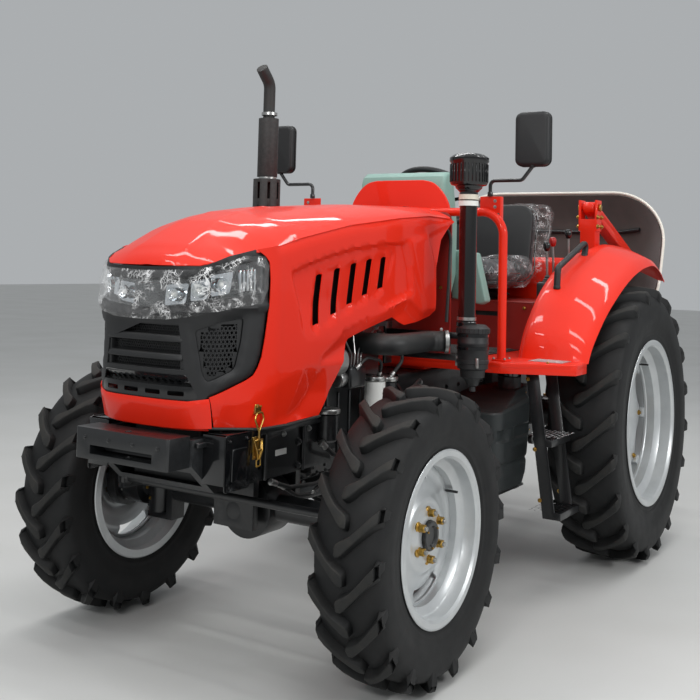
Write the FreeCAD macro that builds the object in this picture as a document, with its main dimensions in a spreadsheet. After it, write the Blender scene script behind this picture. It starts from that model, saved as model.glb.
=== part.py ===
"""Compact four-wheel-drive farm tractor with an open operator's platform.

Millimetres. X runs forward, Y to the tractor's left, Z up; the ground is Z = 0 and the origin lies
under the middle of the whole machine. Lengths that carry a fore-and-aft place are measured from the
front axle, whose own place is front_axle_x."""
import FreeCAD, Part
import math
import os
import re
from types import SimpleNamespace

import Sketcher
from FreeCAD import Placement, Rotation, Vector

# columns: name, value
SIZES = (
    ("front_axle_x", 1147.25),
    ("wheelbase", 1917),
    # the engine's rear and the driver's end are measured back from a datum this far ahead of the rear axle
    ("body_datum", 1917),
    ("front_track", 1266),
    ("rear_track", 1420),
    # tyres and rims
    ("front_tyre_radius", 472.5),
    ("front_tyre_width", 241),
    ("front_lug_height", 27),
    ("front_lugs", 18),
    ("front_bead_radius", 254),
    ("front_flange_radius", 279),
    ("front_rim_width", 203),
    ("front_disc_offset", 27),
    ("rear_tyre_radius", 630),
    ("rear_tyre_width", 315),
    ("rear_lug_height", 32),
    ("rear_lugs", 20),
    ("rear_bead_radius", 355.6),
    ("rear_flange_radius", 381),
    ("rear_rim_width", 279),
    ("rear_disc_offset", -70),
    ("lug_thickness", 32),
    ("lug_sweep", 118),
    ("rim_thickness", 7),
    ("disc_thickness", 9),
    ("front_disc_hole", 49),
    ("front_disc_dish", 118),
    ("front_disc_rise", -34),
    ("front_disc_flange", 96),
    ("rear_disc_hole", 62),
    ("rear_disc_dish", 165),
    ("rear_disc_rise", 42),
    ("rear_disc_flange", 118),
    ("rim_well_drop", 30),
    ("disc_slots", 8),
    ("crescent_span", 104),
    ("crescent_width", 32),
    ("running_gap", 0.3),
    # front axle and steering
    ("kingpin_y", 455),
    ("axle_tube_radius", 45),
    ("axle_bulge_radius", 108),
    ("yoke_width", 70),
    ("yoke_inner_y", 370),
    ("yoke_wall", 30),
    ("yoke_half_height", 112),
    ("yoke_arm", 20),
    ("swivel_radius", 46),
    ("kingpin_radius", 15),
    ("front_hub_radius", 76),
    ("front_hub_start", 512),
    ("hub_flange_thickness", 20),
    ("steer_arm_length", 205),
    ("steer_arm_width", 30),
    ("steer_arm_top", 47),
    ("steer_arm_thickness", 20),
    ("tie_rod_radius", 14),
    ("tie_eye_radius", 23),
    ("tie_eye_height", 30),
    ("tie_pin_radius", 9),
    ("trunnion_radius", 30),
    ("hanger_inner", 112),
    ("hanger_thickness", 30),
    ("hanger_width", 170),
    ("propshaft_radius", 38),
    ("propshaft_rear", 1060),
    # front frame
    ("frame_half_width", 200),
    ("frame_wall", 30),
    ("frame_rear", 160),
    ("frame_front", 610),
    ("frame_floor", 620),
    ("frame_floor_thickness", 20),
    ("frame_top", 795),
    ("side_bolt_x", 330),
    ("side_bolt_z", 700),
    ("side_bolt_pitch_x", 120),
    ("side_bolt_pitch_z", 70),
    ("side_bolt_hole", 17),
    ("bracket_front", 710),
    ("bracket_half_width", 190),
    ("bracket_low", 713),
    ("bracket_high", 808),
    ("bracket_slot_half", 128),
    ("bracket_slot_low", 730),
    ("bracket_slot_high", 757),
    ("bracket_slot_depth", 70),
    ("tow_pin_hole", 22),
    ("tow_pin_inset", 34),
    # power train
    ("engine_front", 40),
    ("clutch_length", 180),
    ("engine_half_width", 140),
    ("engine_low", 640),
    ("engine_high", 995),
    ("head_half_width", 95),
    ("head_high", 1130),
    ("sump_half_width", 110),
    ("sump_low", 560),
    ("sump_front", 170),
    ("mount_boss", 60),
    ("clutch_rear", 780),
    ("clutch_radius", 185),
    ("drive_line_z", 700),
    ("gearbox_half_width", 130),
    ("gearbox_low", 520),
    ("gearbox_high", 880),
    ("gearbox_rear", 1640),
    ("gearbox_flange", 192),
    ("gearbox_flange_thickness", 18),
    ("drop_box_low", 425),
    ("drop_box_length", 150),
    ("drop_box_half_width", 75),
    ("axle_case_half_width", 170),
    ("axle_case_low", 430),
    ("axle_case_high", 880),
    ("axle_case_behind", 183),
    ("trumpet_radius", 72),
    ("trumpet_flange", 115),
    ("trumpet_end", 575),
    ("brake_radius", 126),
    ("brake_end", 250),
    ("lift_cover_ahead", 177),
    ("lift_cover_half_width", 130),
    ("lift_cover_high", 1010),
    ("radiator_front", 235),
    ("radiator_thickness", 60),
    ("radiator_half_width", 165),
    ("radiator_high", 1270),
    ("shroud_depth", 70),
    ("fan_radius", 150),
    ("fan_tip_gap", 8),
    ("fan_back_gap", 15),
    ("fan_hub_radius", 30),
    ("fan_blades", 7),
    ("fan_blade_depth", 60),
    ("fan_z", 960),
    ("battery_front", 500),
    ("battery_length", 180),
    ("battery_half_width", 140),
    ("battery_height", 190),
    # platform, fenders and their fittings
    ("platform_top", 950),
    ("platform_thickness", 22),
    ("platform_front", 890),
    ("platform_rear", 1735),
    ("platform_half_width", 535),
    ("platform_wing_x", 1165),
    ("fender_inner", 535),
    ("fender_outer", 800),
    ("fender_sheet", 6),
    ("fender_lip", 40),
    ("handle_radius", 15),
    ("handle_y", 565),
    ("arch_x", 965),
    ("arch_radius", 18),
    ("arch_half_width", 508),
    ("arch_top", 1562),
    ("arch_bend", 95),
    ("arch_plate_inner", 400),
    ("arch_plate_outer", 495),
    ("arch_plate_high", 1627),
    ("arch_plate_thickness", 8),
    ("mirror_rod_radius", 8),
    ("mirror_foot_y", 447),
    ("mirror_elbow_y", 588),
    ("mirror_elbow_z", 1693),
    ("mirror_y", 634),
    ("mirror_half_width", 76),
    ("mirror_low", 1747),
    ("mirror_high", 1974),
    ("mirror_depth", 45),
    ("bulkhead_x", 935),
    ("bulkhead_thickness", 10),
    ("bulkhead_half_width", 285),
    ("bulkhead_high", 1560),
    ("cowl_x", 985),
    ("cowl_thickness", 18),
    ("cowl_half_width", 250),
    ("cowl_shoulder", 1590),
    ("cowl_high", 1705),
    ("dash_rear", 1150),
    ("dash_half_width", 215),
    ("dash_low", 1180),
    ("dash_high", 1745),
    ("dash_column_half_width", 130),
    ("steering_wheel_x", 1345),
    ("steering_wheel_z", 1655),
    ("steering_wheel_radius", 190),
    ("steering_rim_radius", 14),
    ("steering_tilt", 38),
    ("seat_front", 1490),
    ("seat_rear", 1950),
    ("seat_half_width", 235),
    ("seat_top", 1365),
    ("seat_thickness", 110),
    ("seat_base_half_width", 150),
    ("backrest_top", 1665),
    ("backrest_thickness", 95),
    ("backrest_lean", 12),
    ("tank_front", 880),
    ("tank_rear", 1250),
    ("tank_inner", 215),
    ("tank_outer", 540),
    ("tank_low", 410),
    ("tank_high", 800),
    ("tank_shoulder", 690),
    ("filler_radius", 48),
    ("filler_x", 1185),
    ("filler_y", 480),
    ("filler_high", 868),
    ("toolbox_rear", 1190),
    ("step_front", 1020),
    ("step_length", 215),
    ("step_rail", 9),
    ("tread_thickness", 28),
    # intake and exhaust
    ("intake_x", 700),
    ("intake_y", 474),
    ("canister_radius", 75),
    ("canister_low", 860),
    ("canister_high", 1107),
    ("stack_radius", 47),
    ("stack_high", 1636),
    ("precleaner_radius", 79),
    ("precleaner_high", 1783),
    ("duct_radius", 40),
    ("duct_y", 352),
    ("duct_z", 1038),
    ("duct_behind_middle", 10),
    ("duct_turn", 80),
    ("exhaust_x", 520),
    ("exhaust_y", 385),
    ("exhaust_radius", 25),
    ("muffler_radius", 43),
    ("muffler_low", 1690),
    ("muffler_high", 1940),
    ("guard_half_width", 58),
    ("guard_low", 1180),
    ("guard_high", 1680),
    ("exhaust_high", 2090),
    ("exhaust_tip", 60),
    # roll frame and canopy
    ("rops_behind", 173),
    ("rops_y", 490),
    ("rops_tube", 75),
    ("rops_foot", 735),
    ("rops_low_top", 1582),
    ("rops_hinge_z", 1640),
    ("rops_ear", 9),
    ("rops_length", 800),
    ("rops_bar", 60),
    ("rops_fold", 111),
    ("rops_pin_radius", 11),
    ("cross_low", 1120),
    ("cross_high", 1360),
    ("canopy_front", 410),
    ("canopy_back", 450),
    ("canopy_half_width", 680),
    ("canopy_below", 116),
    ("canopy_above", 104),
    ("canopy_corner", 330),
    ("canopy_wall", 14),
    # rear linkage
    ("link_pivot_behind", 93),
    ("turnbuckle_length", 230),
    ("link_pivot_z", 470),
    ("link_y", 225),
    ("link_length", 740),
    ("link_rod_point", 290),
    ("link_slope", 12),
    ("link_height", 60),
    ("link_thickness", 20),
    ("link_eye_radius", 27),
    ("link_eye_hole", 22.4),
    ("rockshaft_z", 945),
    ("rockshaft_radius", 24),
    ("rod_radius", 13),
    ("top_link_length", 480),
    ("top_link_z", 800),
    ("top_link_radius", 18),
    ("top_link_hole", 19.3),
    ("drawbar_length", 420),
    ("drawbar_half_width", 32),
    ("drawbar_thickness", 28),
    ("drawbar_z", 385),
    ("drawbar_hole", 27),
    ("drawbar_hole_inset", 38),
    ("pto_z", 560),
    ("pto_radius", 17.5),
    ("pto_length", 85),
    # hood
    ("hood_sheet", 5),
    ("hood_half_width", 310),
    ("hood_rear", 905),
    ("band_low", 820),
    ("band_high", 925),
    ("grille_wall", 14),
    ("lamp_low", 1165),
    ("lamp_high", 1305),
    ("hood_hinge_x", 925),
    ("hood_hinge_z", 1572),
    ("platform_slant", 145),
    ("beam_front", 1010),
    ("beam_rear", 1480),
    ("beam_length", 70),
    ("handle_bend", 32),
    ("arch_foot", 64),
    ("mirror_rod_bend", 20),
    ("mirror_corner", 28),
    ("hinge_ear", 13),
    ("hinge_half_width", 60),
    ("hinge_pin_radius", 5),
    ("hinge_barrel_radius", 9),
    ("cowl_low", 1500),
    ("dash_brow", 80),
    ("steering_hub_radius", 40),
    ("steering_column_length", 345),
    ("pedal_y", 190),
    ("pedal_width", 62),
    ("pedal_z", 1040),
    ("pedal_reach", 90),
    ("seat_base_inset", 70),
    ("cushion_corner", 45),
    ("console_inner", 425),
    ("console_front", 1530),
    ("console_rear", 1960),
    ("console_top", 1270),
    ("knob_radius", 18),
    ("rail_width", 52),
    ("step_top_y", 590),
    ("step_low_y", 672),
    ("step_mid_y", 632),
    ("step_low_z", 330),
    ("step_mid_z", 615),
    ("tread_depth", 75),
    ("bracket_thickness", 12),
    ("cradle_width", 50),
    ("cradle_front", 940),
    ("cradle_rear", 1150),
    ("cradle_plate", 10),
    ("duct_bend", 60),
    ("exhaust_port_z", 1060),
    ("exhaust_bend", 55),
    ("tail_lamp_z", 1290),
    ("rops_bend", 120),
    ("link_pin_radius", 11),
    ("grille_slot_low", 960),
    ("grille_slot_high", 1145),
    ("grille_slot_half", 112),
    ("grille_columns", 9),
    ("grille_rows", 6),
    ("side_columns", 4),
    # corners of castings, mouldings and sheets
    ("casting_corner", 26),
    ("moulded_corner", 20),
    ("box_corner", 9),
    ("sheet_corner", 40),
    ("cowl_corner", 60),
    ("precleaner_grooves", 20),
    ("groove_width", 6),
    ("groove_depth", 5),
    ("grille_bar", 7),
    ("side_slot_x", 395),
    ("side_slot_length", 95),
    ("vent_width", 26),
    ("lamp_back", 440),
    ("lamp_gap", 60),
    ("seat_dish", 18),
    ("seat_bolster", 62),
    ("lever_radius", 6),
    ("guard_wall", 5),
    ("guard_slot_width", 12),
    ("guard_slot_height", 70),
    ("guard_slots", 4),
    ("guard_rows", 5),
    ("tank_recess", 6),
    ("tank_recess_low", 505),
    ("tank_recess_high", 620),
    ("tank_groove_z", 466),
    ("tank_groove_height", 14),
    ("tank_recess_inset", 70),
    ("tread_slots", 5),
    ("tread_slot_width", 18),
)

doc = FreeCAD.newDocument("FarmTractor")
sheet = doc.addObject("Spreadsheet::Sheet", "Sizes")
for row, (name, value) in enumerate(SIZES, 1):
    sheet.set(f"A{row}", name)
    sheet.set(f"B{row}", str(value))
    sheet.setAlias(f"B{row}", name)
doc.recompute()
size = SimpleNamespace(**{name: float(sheet.get(name)) for name, value in SIZES})

# places that several pieces share, as expressions over the sheet
PLACES = {
    "FX": "front_axle_x",
    "BX": "(front_axle_x - wheelbase + body_datum)",
    "RX": "(front_axle_x - wheelbase)",
    "FZ": "(front_tyre_radius * cos(90 deg / front_lugs - asin(lug_thickness / 2 / front_tyre_radius)))",
    "RZ": "(rear_tyre_radius * cos(90 deg / rear_lugs - asin(lug_thickness / 2 / rear_tyre_radius)))",
}
ALIASES = {name for name, value in SIZES}
NODES = {}


def stand_height(radius, lugs):
    """Axle height of a tyre that stands on two lug tips, one each side of its lowest point."""
    return radius * math.cos(math.radians(90 / lugs) - math.asin(size.lug_thickness / 2 / radius))


front_x, rear_x = size.front_axle_x, size.front_axle_x - size.wheelbase
body_x = rear_x + size.body_datum
front_z = stand_height(size.front_tyre_radius, size.front_lugs)
rear_z = stand_height(size.rear_tyre_radius, size.rear_lugs)


def hood_x(x):
    """Place of a hood station: the hood stretches between the front axle and its rear edge."""
    return front_x + x + (body_x - front_x) * min(max(-x / size.hood_rear, 0), 1)


def linked(text):
    """The expression with its short places written out and every size pointing at the sheet."""
    text = re.sub(r"\b[FRB][XZ]\b", lambda found: PLACES[found.group()], str(text))
    return re.sub(r"[a-z]\w*", lambda found: "Sizes." + found.group() if found.group() in ALIASES
                  else found.group(), text)


def bind(thing, **expressions):
    for path, text in expressions.items():
        thing.setExpression(path.replace("_", "."), linked(text))
    return thing


def place(thing, x, y, z, axis=None, angle=90):
    """Put a primitive at x, y, z (expressions), turned about a fixed axis if one is given."""
    if axis:
        thing.Placement = Placement(Vector(), Rotation(Vector(*axis), angle))
    for letter, text in zip("xyz", (x, y, z)):
        thing.setExpression(f"Placement.Base.{letter}", linked(text))
    return thing


def box(x0, x1, y0, y1, z0, z1):
    """Block between two corners; every bound is an expression and the first of each pair is lower."""
    thing = doc.addObject("Part::Box", "Block")
    bind(thing, Length=f"({x1}) - ({x0})", Width=f"({y1}) - ({y0})", Height=f"({z1}) - ({z0})")
    return place(thing, x0, y0, z0)


TURNS = {"x": ((0, 1, 0), 90), "y": ((1, 0, 0), -90), "z": (None, 0)}


def rod(radius, length, x, y, z, along="z"):
    """Cylinder that starts at x, y, z and runs along the named axis."""
    thing = doc.addObject("Part::Cylinder", "Rod")
    bind(thing, Radius=radius, Height=length)
    return place(thing, x, y, z, *TURNS[along])


def cone(radius, end_radius, length, x, y, z, along="z"):
    thing = doc.addObject("Part::Cone", "Taper")
    bind(thing, Radius1=radius, Radius2=end_radius, Height=length)
    return place(thing, x, y, z, *TURNS[along])


def fuse(*things):
    if len(things) == 1:
        return things[0]
    joined = doc.addObject("Part::MultiFuse", "Joined")
    joined.Shapes = list(things)
    joined.Refine = True
    return joined


def cut(base, *tools):
    tool = fuse(*tools)
    result = doc.addObject("Part::Cut", "Trimmed")
    result.Base = base
    result.Tool = tool
    result.Refine = True
    return result


def rounded(thing, radius, pick):
    """Fillet the edges whose box passes the test pick; radius names a size of the sheet."""
    doc.recompute()
    value = getattr(size, radius)
    result = doc.addObject("Part::Fillet", "Rounded")
    result.Base = thing
    result.Edges = [(i, value, value) for i, edge in enumerate(thing.Shape.Edges, 1) if pick(edge.BoundBox)]
    return result


def runs(axis, low=None):
    """Test for edges that run only along the named axis, above a level if one is given."""
    others = [letter for letter in "XYZ" if letter not in axis]
    return lambda b: all(getattr(b, f"{o}Length") < 1e-6 for o in others) and (low is None or b.ZMax > low)


def mirror(thing):
    """The same piece on the tractor's other side."""
    result = doc.addObject("Part::Mirroring", "Mirrored")
    result.Source = thing
    result.Normal = Vector(0, 1, 0)
    return result


def compound(*things):
    """Pieces of one node that stand apart."""
    result = doc.addObject("Part::Compound", "Group")
    result.Links = list(things)
    return result


def node(label, thing):
    thing.Label = label
    NODES[label] = thing
    return thing


def formed(shape, name="Formed"):
    """A shape made by Part's own functions from the sheet's values."""
    thing = doc.addObject("Part::Feature", name)
    thing.Shape = shape
    return thing


def origin_plane(body, role):
    return next(feature for feature in body.Origin.OriginFeatures if feature.Role == role)


def outline(body, role, corners):
    """Closed sketch on one of the body's own planes; each corner is held by two bound distances."""
    sketch = body.newObject("Sketcher::SketchObject", "Outline")
    sketch.AttachmentSupport = [(origin_plane(body, role), "")]
    sketch.MapMode = "FlatFace"
    count = len(corners)
    start = [Vector(math.cos(2 * math.pi * i / count), math.sin(2 * math.pi * i / count), 0) for i in range(count)]
    for i in range(count):
        sketch.addGeometry(Part.LineSegment(start[i], start[(i + 1) % count]), False)
    for i in range(count):
        sketch.addConstraint(Sketcher.Constraint("Coincident", i, 2, (i + 1) % count, 1))
    for i, corner in enumerate(corners):
        for kind, text in zip(("DistanceX", "DistanceY"), corner):
            held = sketch.addConstraint(Sketcher.Constraint(kind, -1, 1, i, 1, 1.0))
            sketch.setExpression(f"Constraints[{held}]", linked(text))
    return sketch


def padded(role, corners, length, start=None):
    """Body with one pad of an outline; start moves it along the plane's normal."""
    body = doc.addObject("PartDesign::Body", "Body")
    sketch = outline(body, role, corners)
    if start is not None:
        sketch.setExpression("AttachmentOffset.Base.z", linked(start))
    pad = body.newObject("PartDesign::Pad", "Pad")
    pad.Profile = sketch
    pad.setExpression("Length", linked(length))
    sketch.Visibility = False
    return body


def side_profile(corners, y0, y1):
    """Plate with an outline in side view (x, z), between two distances from the centre plane."""
    return padded("XZ_Plane", corners, f"({y1}) - ({y0})", f"-({y1})")


def arc_through(a, b, c):
    return Part.Arc(a, b, c).toShape()


def wire(points):
    return Part.makePolygon(points + points[:1])


def swept_tube(points, radius, bend):
    """Round bar along straight runs that are joined by arcs of the radius bend."""
    edges = []
    start = points[0]
    for before, corner, after in zip(points, points[1:], points[2:]):
        back = (before - corner).normalize()
        onward = (after - corner).normalize()
        half = back.getAngle(onward) / 2
        reach = bend / math.tan(half)
        arc_start, arc_end = corner + back * reach, corner + onward * reach
        middle = corner + (back + onward).normalize() * (bend / math.sin(half) - bend)
        edges.append(Part.LineSegment(start, arc_start).toShape())
        edges.append(arc_through(arc_start, middle, arc_end))
        start = arc_end
    edges.append(Part.LineSegment(start, points[-1]).toShape())
    path = Part.Wire(edges)
    ring = Part.Wire(Part.Circle(points[0], points[1] - points[0], radius).toShape())
    return path.makePipeShell([ring], True, False)


# Wheels: tyre with chevron lugs, rim with dished disc and hub
def lug_shape(radius, width, height, side):
    """One lug of the tread at angle 0 (forward), running from the middle to one shoulder.

    Its middle end leads at the top of the wheel, so going forward it meets the ground first."""
    sections = []
    sink = 6
    # columns: share of the half width, share of the sweep, drop of the top, share of the thickness
    for across, sweep, drop, thick in ((-0.06, 0.0, 0.0, 1.0), (0.48, 0.42, 3.0, 0.95), (1.0, 1.0, 12.0, 1.05)):
        y = side * across * width / 2 * 0.985
        lead = sweep * size.lug_sweep / radius
        ring = []
        for turn, level in ((1, 0), (-1, 0), (-1, 1), (1, 1)):
            flare = 1.0 if level == 0 else 1.3
            reach = radius - drop if level == 0 else radius - height - drop * 1.3 - sink
            angle = lead + turn * math.asin(size.lug_thickness / 2 * thick * flare / radius)
            ring.append(Vector(reach * math.cos(angle), y, reach * math.sin(angle)))
        sections.append(wire(ring))
    return Part.makeLoft(sections, True, True)


def tyre_shape(radius, width, height, lugs, bead, rim_width):
    """Tyre about the Y axis; two lug tips stand the same way each side of its lowest point."""
    base = radius - height
    half = width / 2
    seat = rim_width / 2 - size.running_gap
    inner = bead + size.running_gap
    # columns: distance from the middle, radius
    profile = [(0, base), (0.55 * half, base - 3), (0.93 * half, base - 16), (half, base - 52),
               (half, inner + 0.45 * (base - inner)), (0.97 * seat, inner + 24), (seat, inner + 22), (seat, inner)]
    corners = [Vector(r, y, 0) for y, r in profile] + [Vector(r, -y, 0) for y, r in reversed(profile[1:])]
    ring = Part.Face(wire(corners)).revolve(Vector(), Vector(0, 1, 0), 360)
    pitch = 360 / lugs
    bars = []
    for side, shift in ((1, -0.25), (-1, 0.25)):
        bar = lug_shape(radius, width, height, side)
        for count in range(int(lugs)):
            copy = bar.copy()
            # a turn about +Y carries +X towards -Z, so the wheel's own angle counts the other way
            copy.rotate(Vector(), Vector(0, 1, 0), -(270 + (count + shift) * pitch))
            bars.append(copy)
    return ring.multiFuse(bars)


def wheel(end, side, axle_x, axle_z, track):
    """Tyre and rim of one wheel as two nodes."""
    radius, width = getattr(size, f"{end}_tyre_radius"), getattr(size, f"{end}_tyre_width")
    bead, rim_width = getattr(size, f"{end}_bead_radius"), getattr(size, f"{end}_rim_width")
    centre = Vector(axle_x, track / 2, axle_z)
    if side == "left":
        tyre = formed(tyre_shape(radius, width, getattr(size, f"{end}_lug_height"),
                                 getattr(size, f"{end}_lugs"), bead, rim_width), "Tyre")
        tyre.Placement = Placement(centre, Rotation())
        rim = formed(rim_shape(end), "Rim")
        rim.Placement = Placement(centre, Rotation())
    else:
        tyre = mirror(NODES[f"tyre_{end}_left"])
        rim = mirror(NODES[f"rim_{end}_left"])
    node(f"tyre_{end}_{side}", tyre)
    node(f"rim_{end}_{side}", rim)


def lathed(corners, angle=360):
    """Ring about the Y axis through corners of (y, radius)."""
    return Part.Face(wire([Vector(r, y, 0) for y, r in corners])).revolve(Vector(), Vector(0, 1, 0), angle)


def rim_shape(end):
    """Rim with flanges, bead seats and a well, a dished disc with openings round its edge, and the hub."""
    bead, flange = getattr(size, f"{end}_bead_radius"), getattr(size, f"{end}_flange_radius")
    half = getattr(size, f"{end}_rim_width") / 2
    wall = size.rim_thickness
    offset = getattr(size, f"{end}_disc_offset")
    well = bead - size.rim_well_drop
    outer = [(-half - wall, flange), (-half, flange), (-half, bead), (-half + 35, bead), (-half + 55, well),
             (half - 75, well), (half - 50, bead), (half, bead), (half, flange), (half + wall, flange),
             (half + wall, bead - wall), (half - 48, bead - wall), (half - 73, well - wall),
             (-half + 53, well - wall), (-half + 33, bead - wall), (-half - wall, bead - wall)]
    barrel = lathed(outer)
    plate = size.disc_thickness
    hole, dish, rise = (getattr(size, f"{end}_disc_{what}") for what in ("hole", "dish", "rise"))
    edge = well - wall + 1
    disc = lathed([(offset, hole), (offset, dish), (offset + rise, edge - 26), (offset + rise, edge),
                   (offset + rise + plate, edge), (offset + rise + plate, edge - 24), (offset + plate, dish + 2),
                   (offset + plate, hole)])
    openings = []
    if end == "front":  # a crescent above and one below the hub
        outside = edge - 4
        for middle in (90, 270):
            gap = lathed([(offset + rise - 30, outside - size.crescent_width), (offset + rise - 30, outside),
                          (offset + 30, outside), (offset + 30, outside - size.crescent_width)], size.crescent_span)
            gap.rotate(Vector(), Vector(0, 1, 0), middle - size.crescent_span / 2)
            openings.append(gap)
    else:
        for count in range(int(size.disc_slots)):
            slot = Part.makeBox(34, 80, edge * 0.42, Vector(edge - 38, offset + rise - 30, -edge * 0.21))
            slot.rotate(Vector(), Vector(0, 1, 0), (count + 0.5) * 360 / size.disc_slots)
            openings.append(slot)
    disc = disc.cut(Part.makeCompound(openings))
    reach = size.hub_flange_thickness
    if end == "rear":
        reach = size.rear_track / 2 + offset - size.trumpet_end - size.running_gap
    hub = Part.makeCylinder(getattr(size, f"{end}_disc_flange"), reach, Vector(0, offset - reach, 0), Vector(0, 1, 0))
    cap = Part.makeCylinder(hole, plate + 34, Vector(0, offset, 0), Vector(0, 1, 0))
    return barrel.multiFuse([disc, hub, cap])


# Front axle with its forked ends, swivel housings and tie rod
def front_axle():
    inner = "yoke_inner_y"
    tube = rod("axle_tube_radius", f"{inner} * 2", "FX", f"-{inner}", "FZ", "y")
    bulge = rod("axle_bulge_radius", "hanger_inner * 1.3", "FX - hanger_inner * 0.65", "0", "FZ", "x")
    trunnion = rod("trunnion_radius - running_gap", "hanger_inner * 2 + hanger_thickness * 2",
                   "FX - hanger_inner - hanger_thickness", "0", "FZ", "x")
    forks = []
    for sign in (1, -1):
        y0, y1 = (inner, f"{inner} + yoke_wall") if sign > 0 else (f"-{inner} - yoke_wall", f"-{inner}")
        arm0, arm1 = (inner, "kingpin_y + yoke_width / 2") if sign > 0 else ("-kingpin_y - yoke_width / 2", f"-{inner}")
        half = "yoke_width / 2"
        forks.append(box(f"FX - {half}", f"FX + {half}", y0, y1, "FZ - yoke_half_height", "FZ + yoke_half_height"))
        for low, high in (("FZ - yoke_half_height", "FZ - yoke_half_height + yoke_arm"),
                          ("FZ + yoke_half_height - yoke_arm", "FZ + yoke_half_height")):
            forks.append(box(f"FX - {half}", f"FX + {half}", arm0, arm1, low, high))
    body = fuse(tube, bulge, trunnion, *forks)
    holes = [rod("kingpin_radius", "yoke_half_height * 2 + 10", "FX", f"{sign}kingpin_y", "FZ - yoke_half_height - 5")
             for sign in ("", "-")]
    node("front_axle", cut(body, *holes))


def knuckle():
    half = "(yoke_half_height - yoke_arm - running_gap)"
    housing = rod("swivel_radius", f"{half} * 2", "FX", "kingpin_y", f"FZ - {half}")
    pin = rod("kingpin_radius - running_gap", "yoke_half_height * 2 + 12", "FX", "kingpin_y",
              "FZ - yoke_half_height - 6")
    neck = rod("swivel_radius - 2", "front_hub_start - kingpin_y + 2", "FX", "kingpin_y", "FZ", "y")
    hub_end = "front_track / 2 + front_disc_offset - hub_flange_thickness - running_gap"
    hub = rod("front_hub_radius", f"{hub_end} - front_hub_start", "FX", "front_hub_start", "FZ", "y")
    arm_top = "FZ + steer_arm_top"
    arm = box("FX", "FX + steer_arm_length + steer_arm_width / 2", "kingpin_y - steer_arm_width / 2",
              "kingpin_y + steer_arm_width / 2", f"{arm_top} - steer_arm_thickness", arm_top)
    ball = rod("tie_pin_radius", "tie_eye_height + 8", "FX + steer_arm_length", "kingpin_y", arm_top)
    left = node("knuckle_left", fuse(housing, pin, neck, hub, arm, ball))
    node("knuckle_right", mirror(left))


def tie_rod():
    low = "FZ + steer_arm_top + running_gap"
    x = "FX + steer_arm_length"
    bar = rod("tie_rod_radius", "kingpin_y * 2", x, "-kingpin_y", f"{low} + tie_eye_height / 2", "y")
    eyes = [rod("tie_eye_radius", "tie_eye_height", x, f"{sign}kingpin_y", low) for sign in ("", "-")]
    holes = [rod("tie_pin_radius + running_gap", "tie_eye_height + 2", x, f"{sign}kingpin_y", f"{low} - 1")
             for sign in ("", "-")]
    node("tie_rod", cut(fuse(bar, *eyes), *holes))


# Front frame and weight bracket
def front_frame():
    half, wall = "frame_half_width", "frame_wall"
    rails = [box("FX - frame_rear", "FX + frame_front - frame_wall", *span, "frame_floor", "frame_top")
             for span in ((f"{half} - {wall}", half), (f"-{half}", f"{wall} - {half}"))]
    floor = box("FX - frame_rear", "FX + frame_front - frame_wall", f"{wall} - {half}", f"{half} - {wall}",
                "frame_floor", "frame_floor + frame_floor_thickness")
    front = box("FX + frame_front - frame_wall", "FX + frame_front", f"-{half}", half, "frame_floor", "frame_top")
    hangers = []
    for x0, x1 in (("FX + hanger_inner", "FX + hanger_inner + hanger_thickness"),
                   ("FX - hanger_inner - hanger_thickness", "FX - hanger_inner")):
        hangers.append(box(x0, x1, "-hanger_width / 2", "hanger_width / 2", "FZ - hanger_width / 3", "frame_floor"))
    bore = rod("trunnion_radius", "hanger_inner * 2 + hanger_thickness * 2 + 2",
               "FX - hanger_inner - hanger_thickness - 1", "0", "FZ", "x")
    bolts = [rod("side_bolt_hole / 2", "frame_half_width * 2 + 2",
                 f"FX + side_bolt_x {dx} side_bolt_pitch_x / 2", "-frame_half_width - 1",
                 f"side_bolt_z {dz} side_bolt_pitch_z / 2", "y") for dx in "+-" for dz in "+-"]
    node("front_frame", cut(fuse(*rails, floor, front, *hangers), bore, *bolts))


def weight_bracket():
    block = box("FX + frame_front", "FX + bracket_front", "-bracket_half_width", "bracket_half_width",
                "bracket_low", "bracket_high")
    slot = box("FX + bracket_front - bracket_slot_depth", "FX + bracket_front + 1", "-bracket_slot_half",
               "bracket_slot_half", "bracket_slot_low", "bracket_slot_high")
    hole = rod("tow_pin_hole / 2", "bracket_high - bracket_low + 2", "FX + bracket_front - tow_pin_inset", "0",
               "bracket_low - 1")
    block = rounded(block, "box_corner", lambda b: b.XMin > front_x + size.bracket_front - 1 and b.ZLength > 1)
    node("weight_bracket", cut(block, slot, hole))


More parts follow.
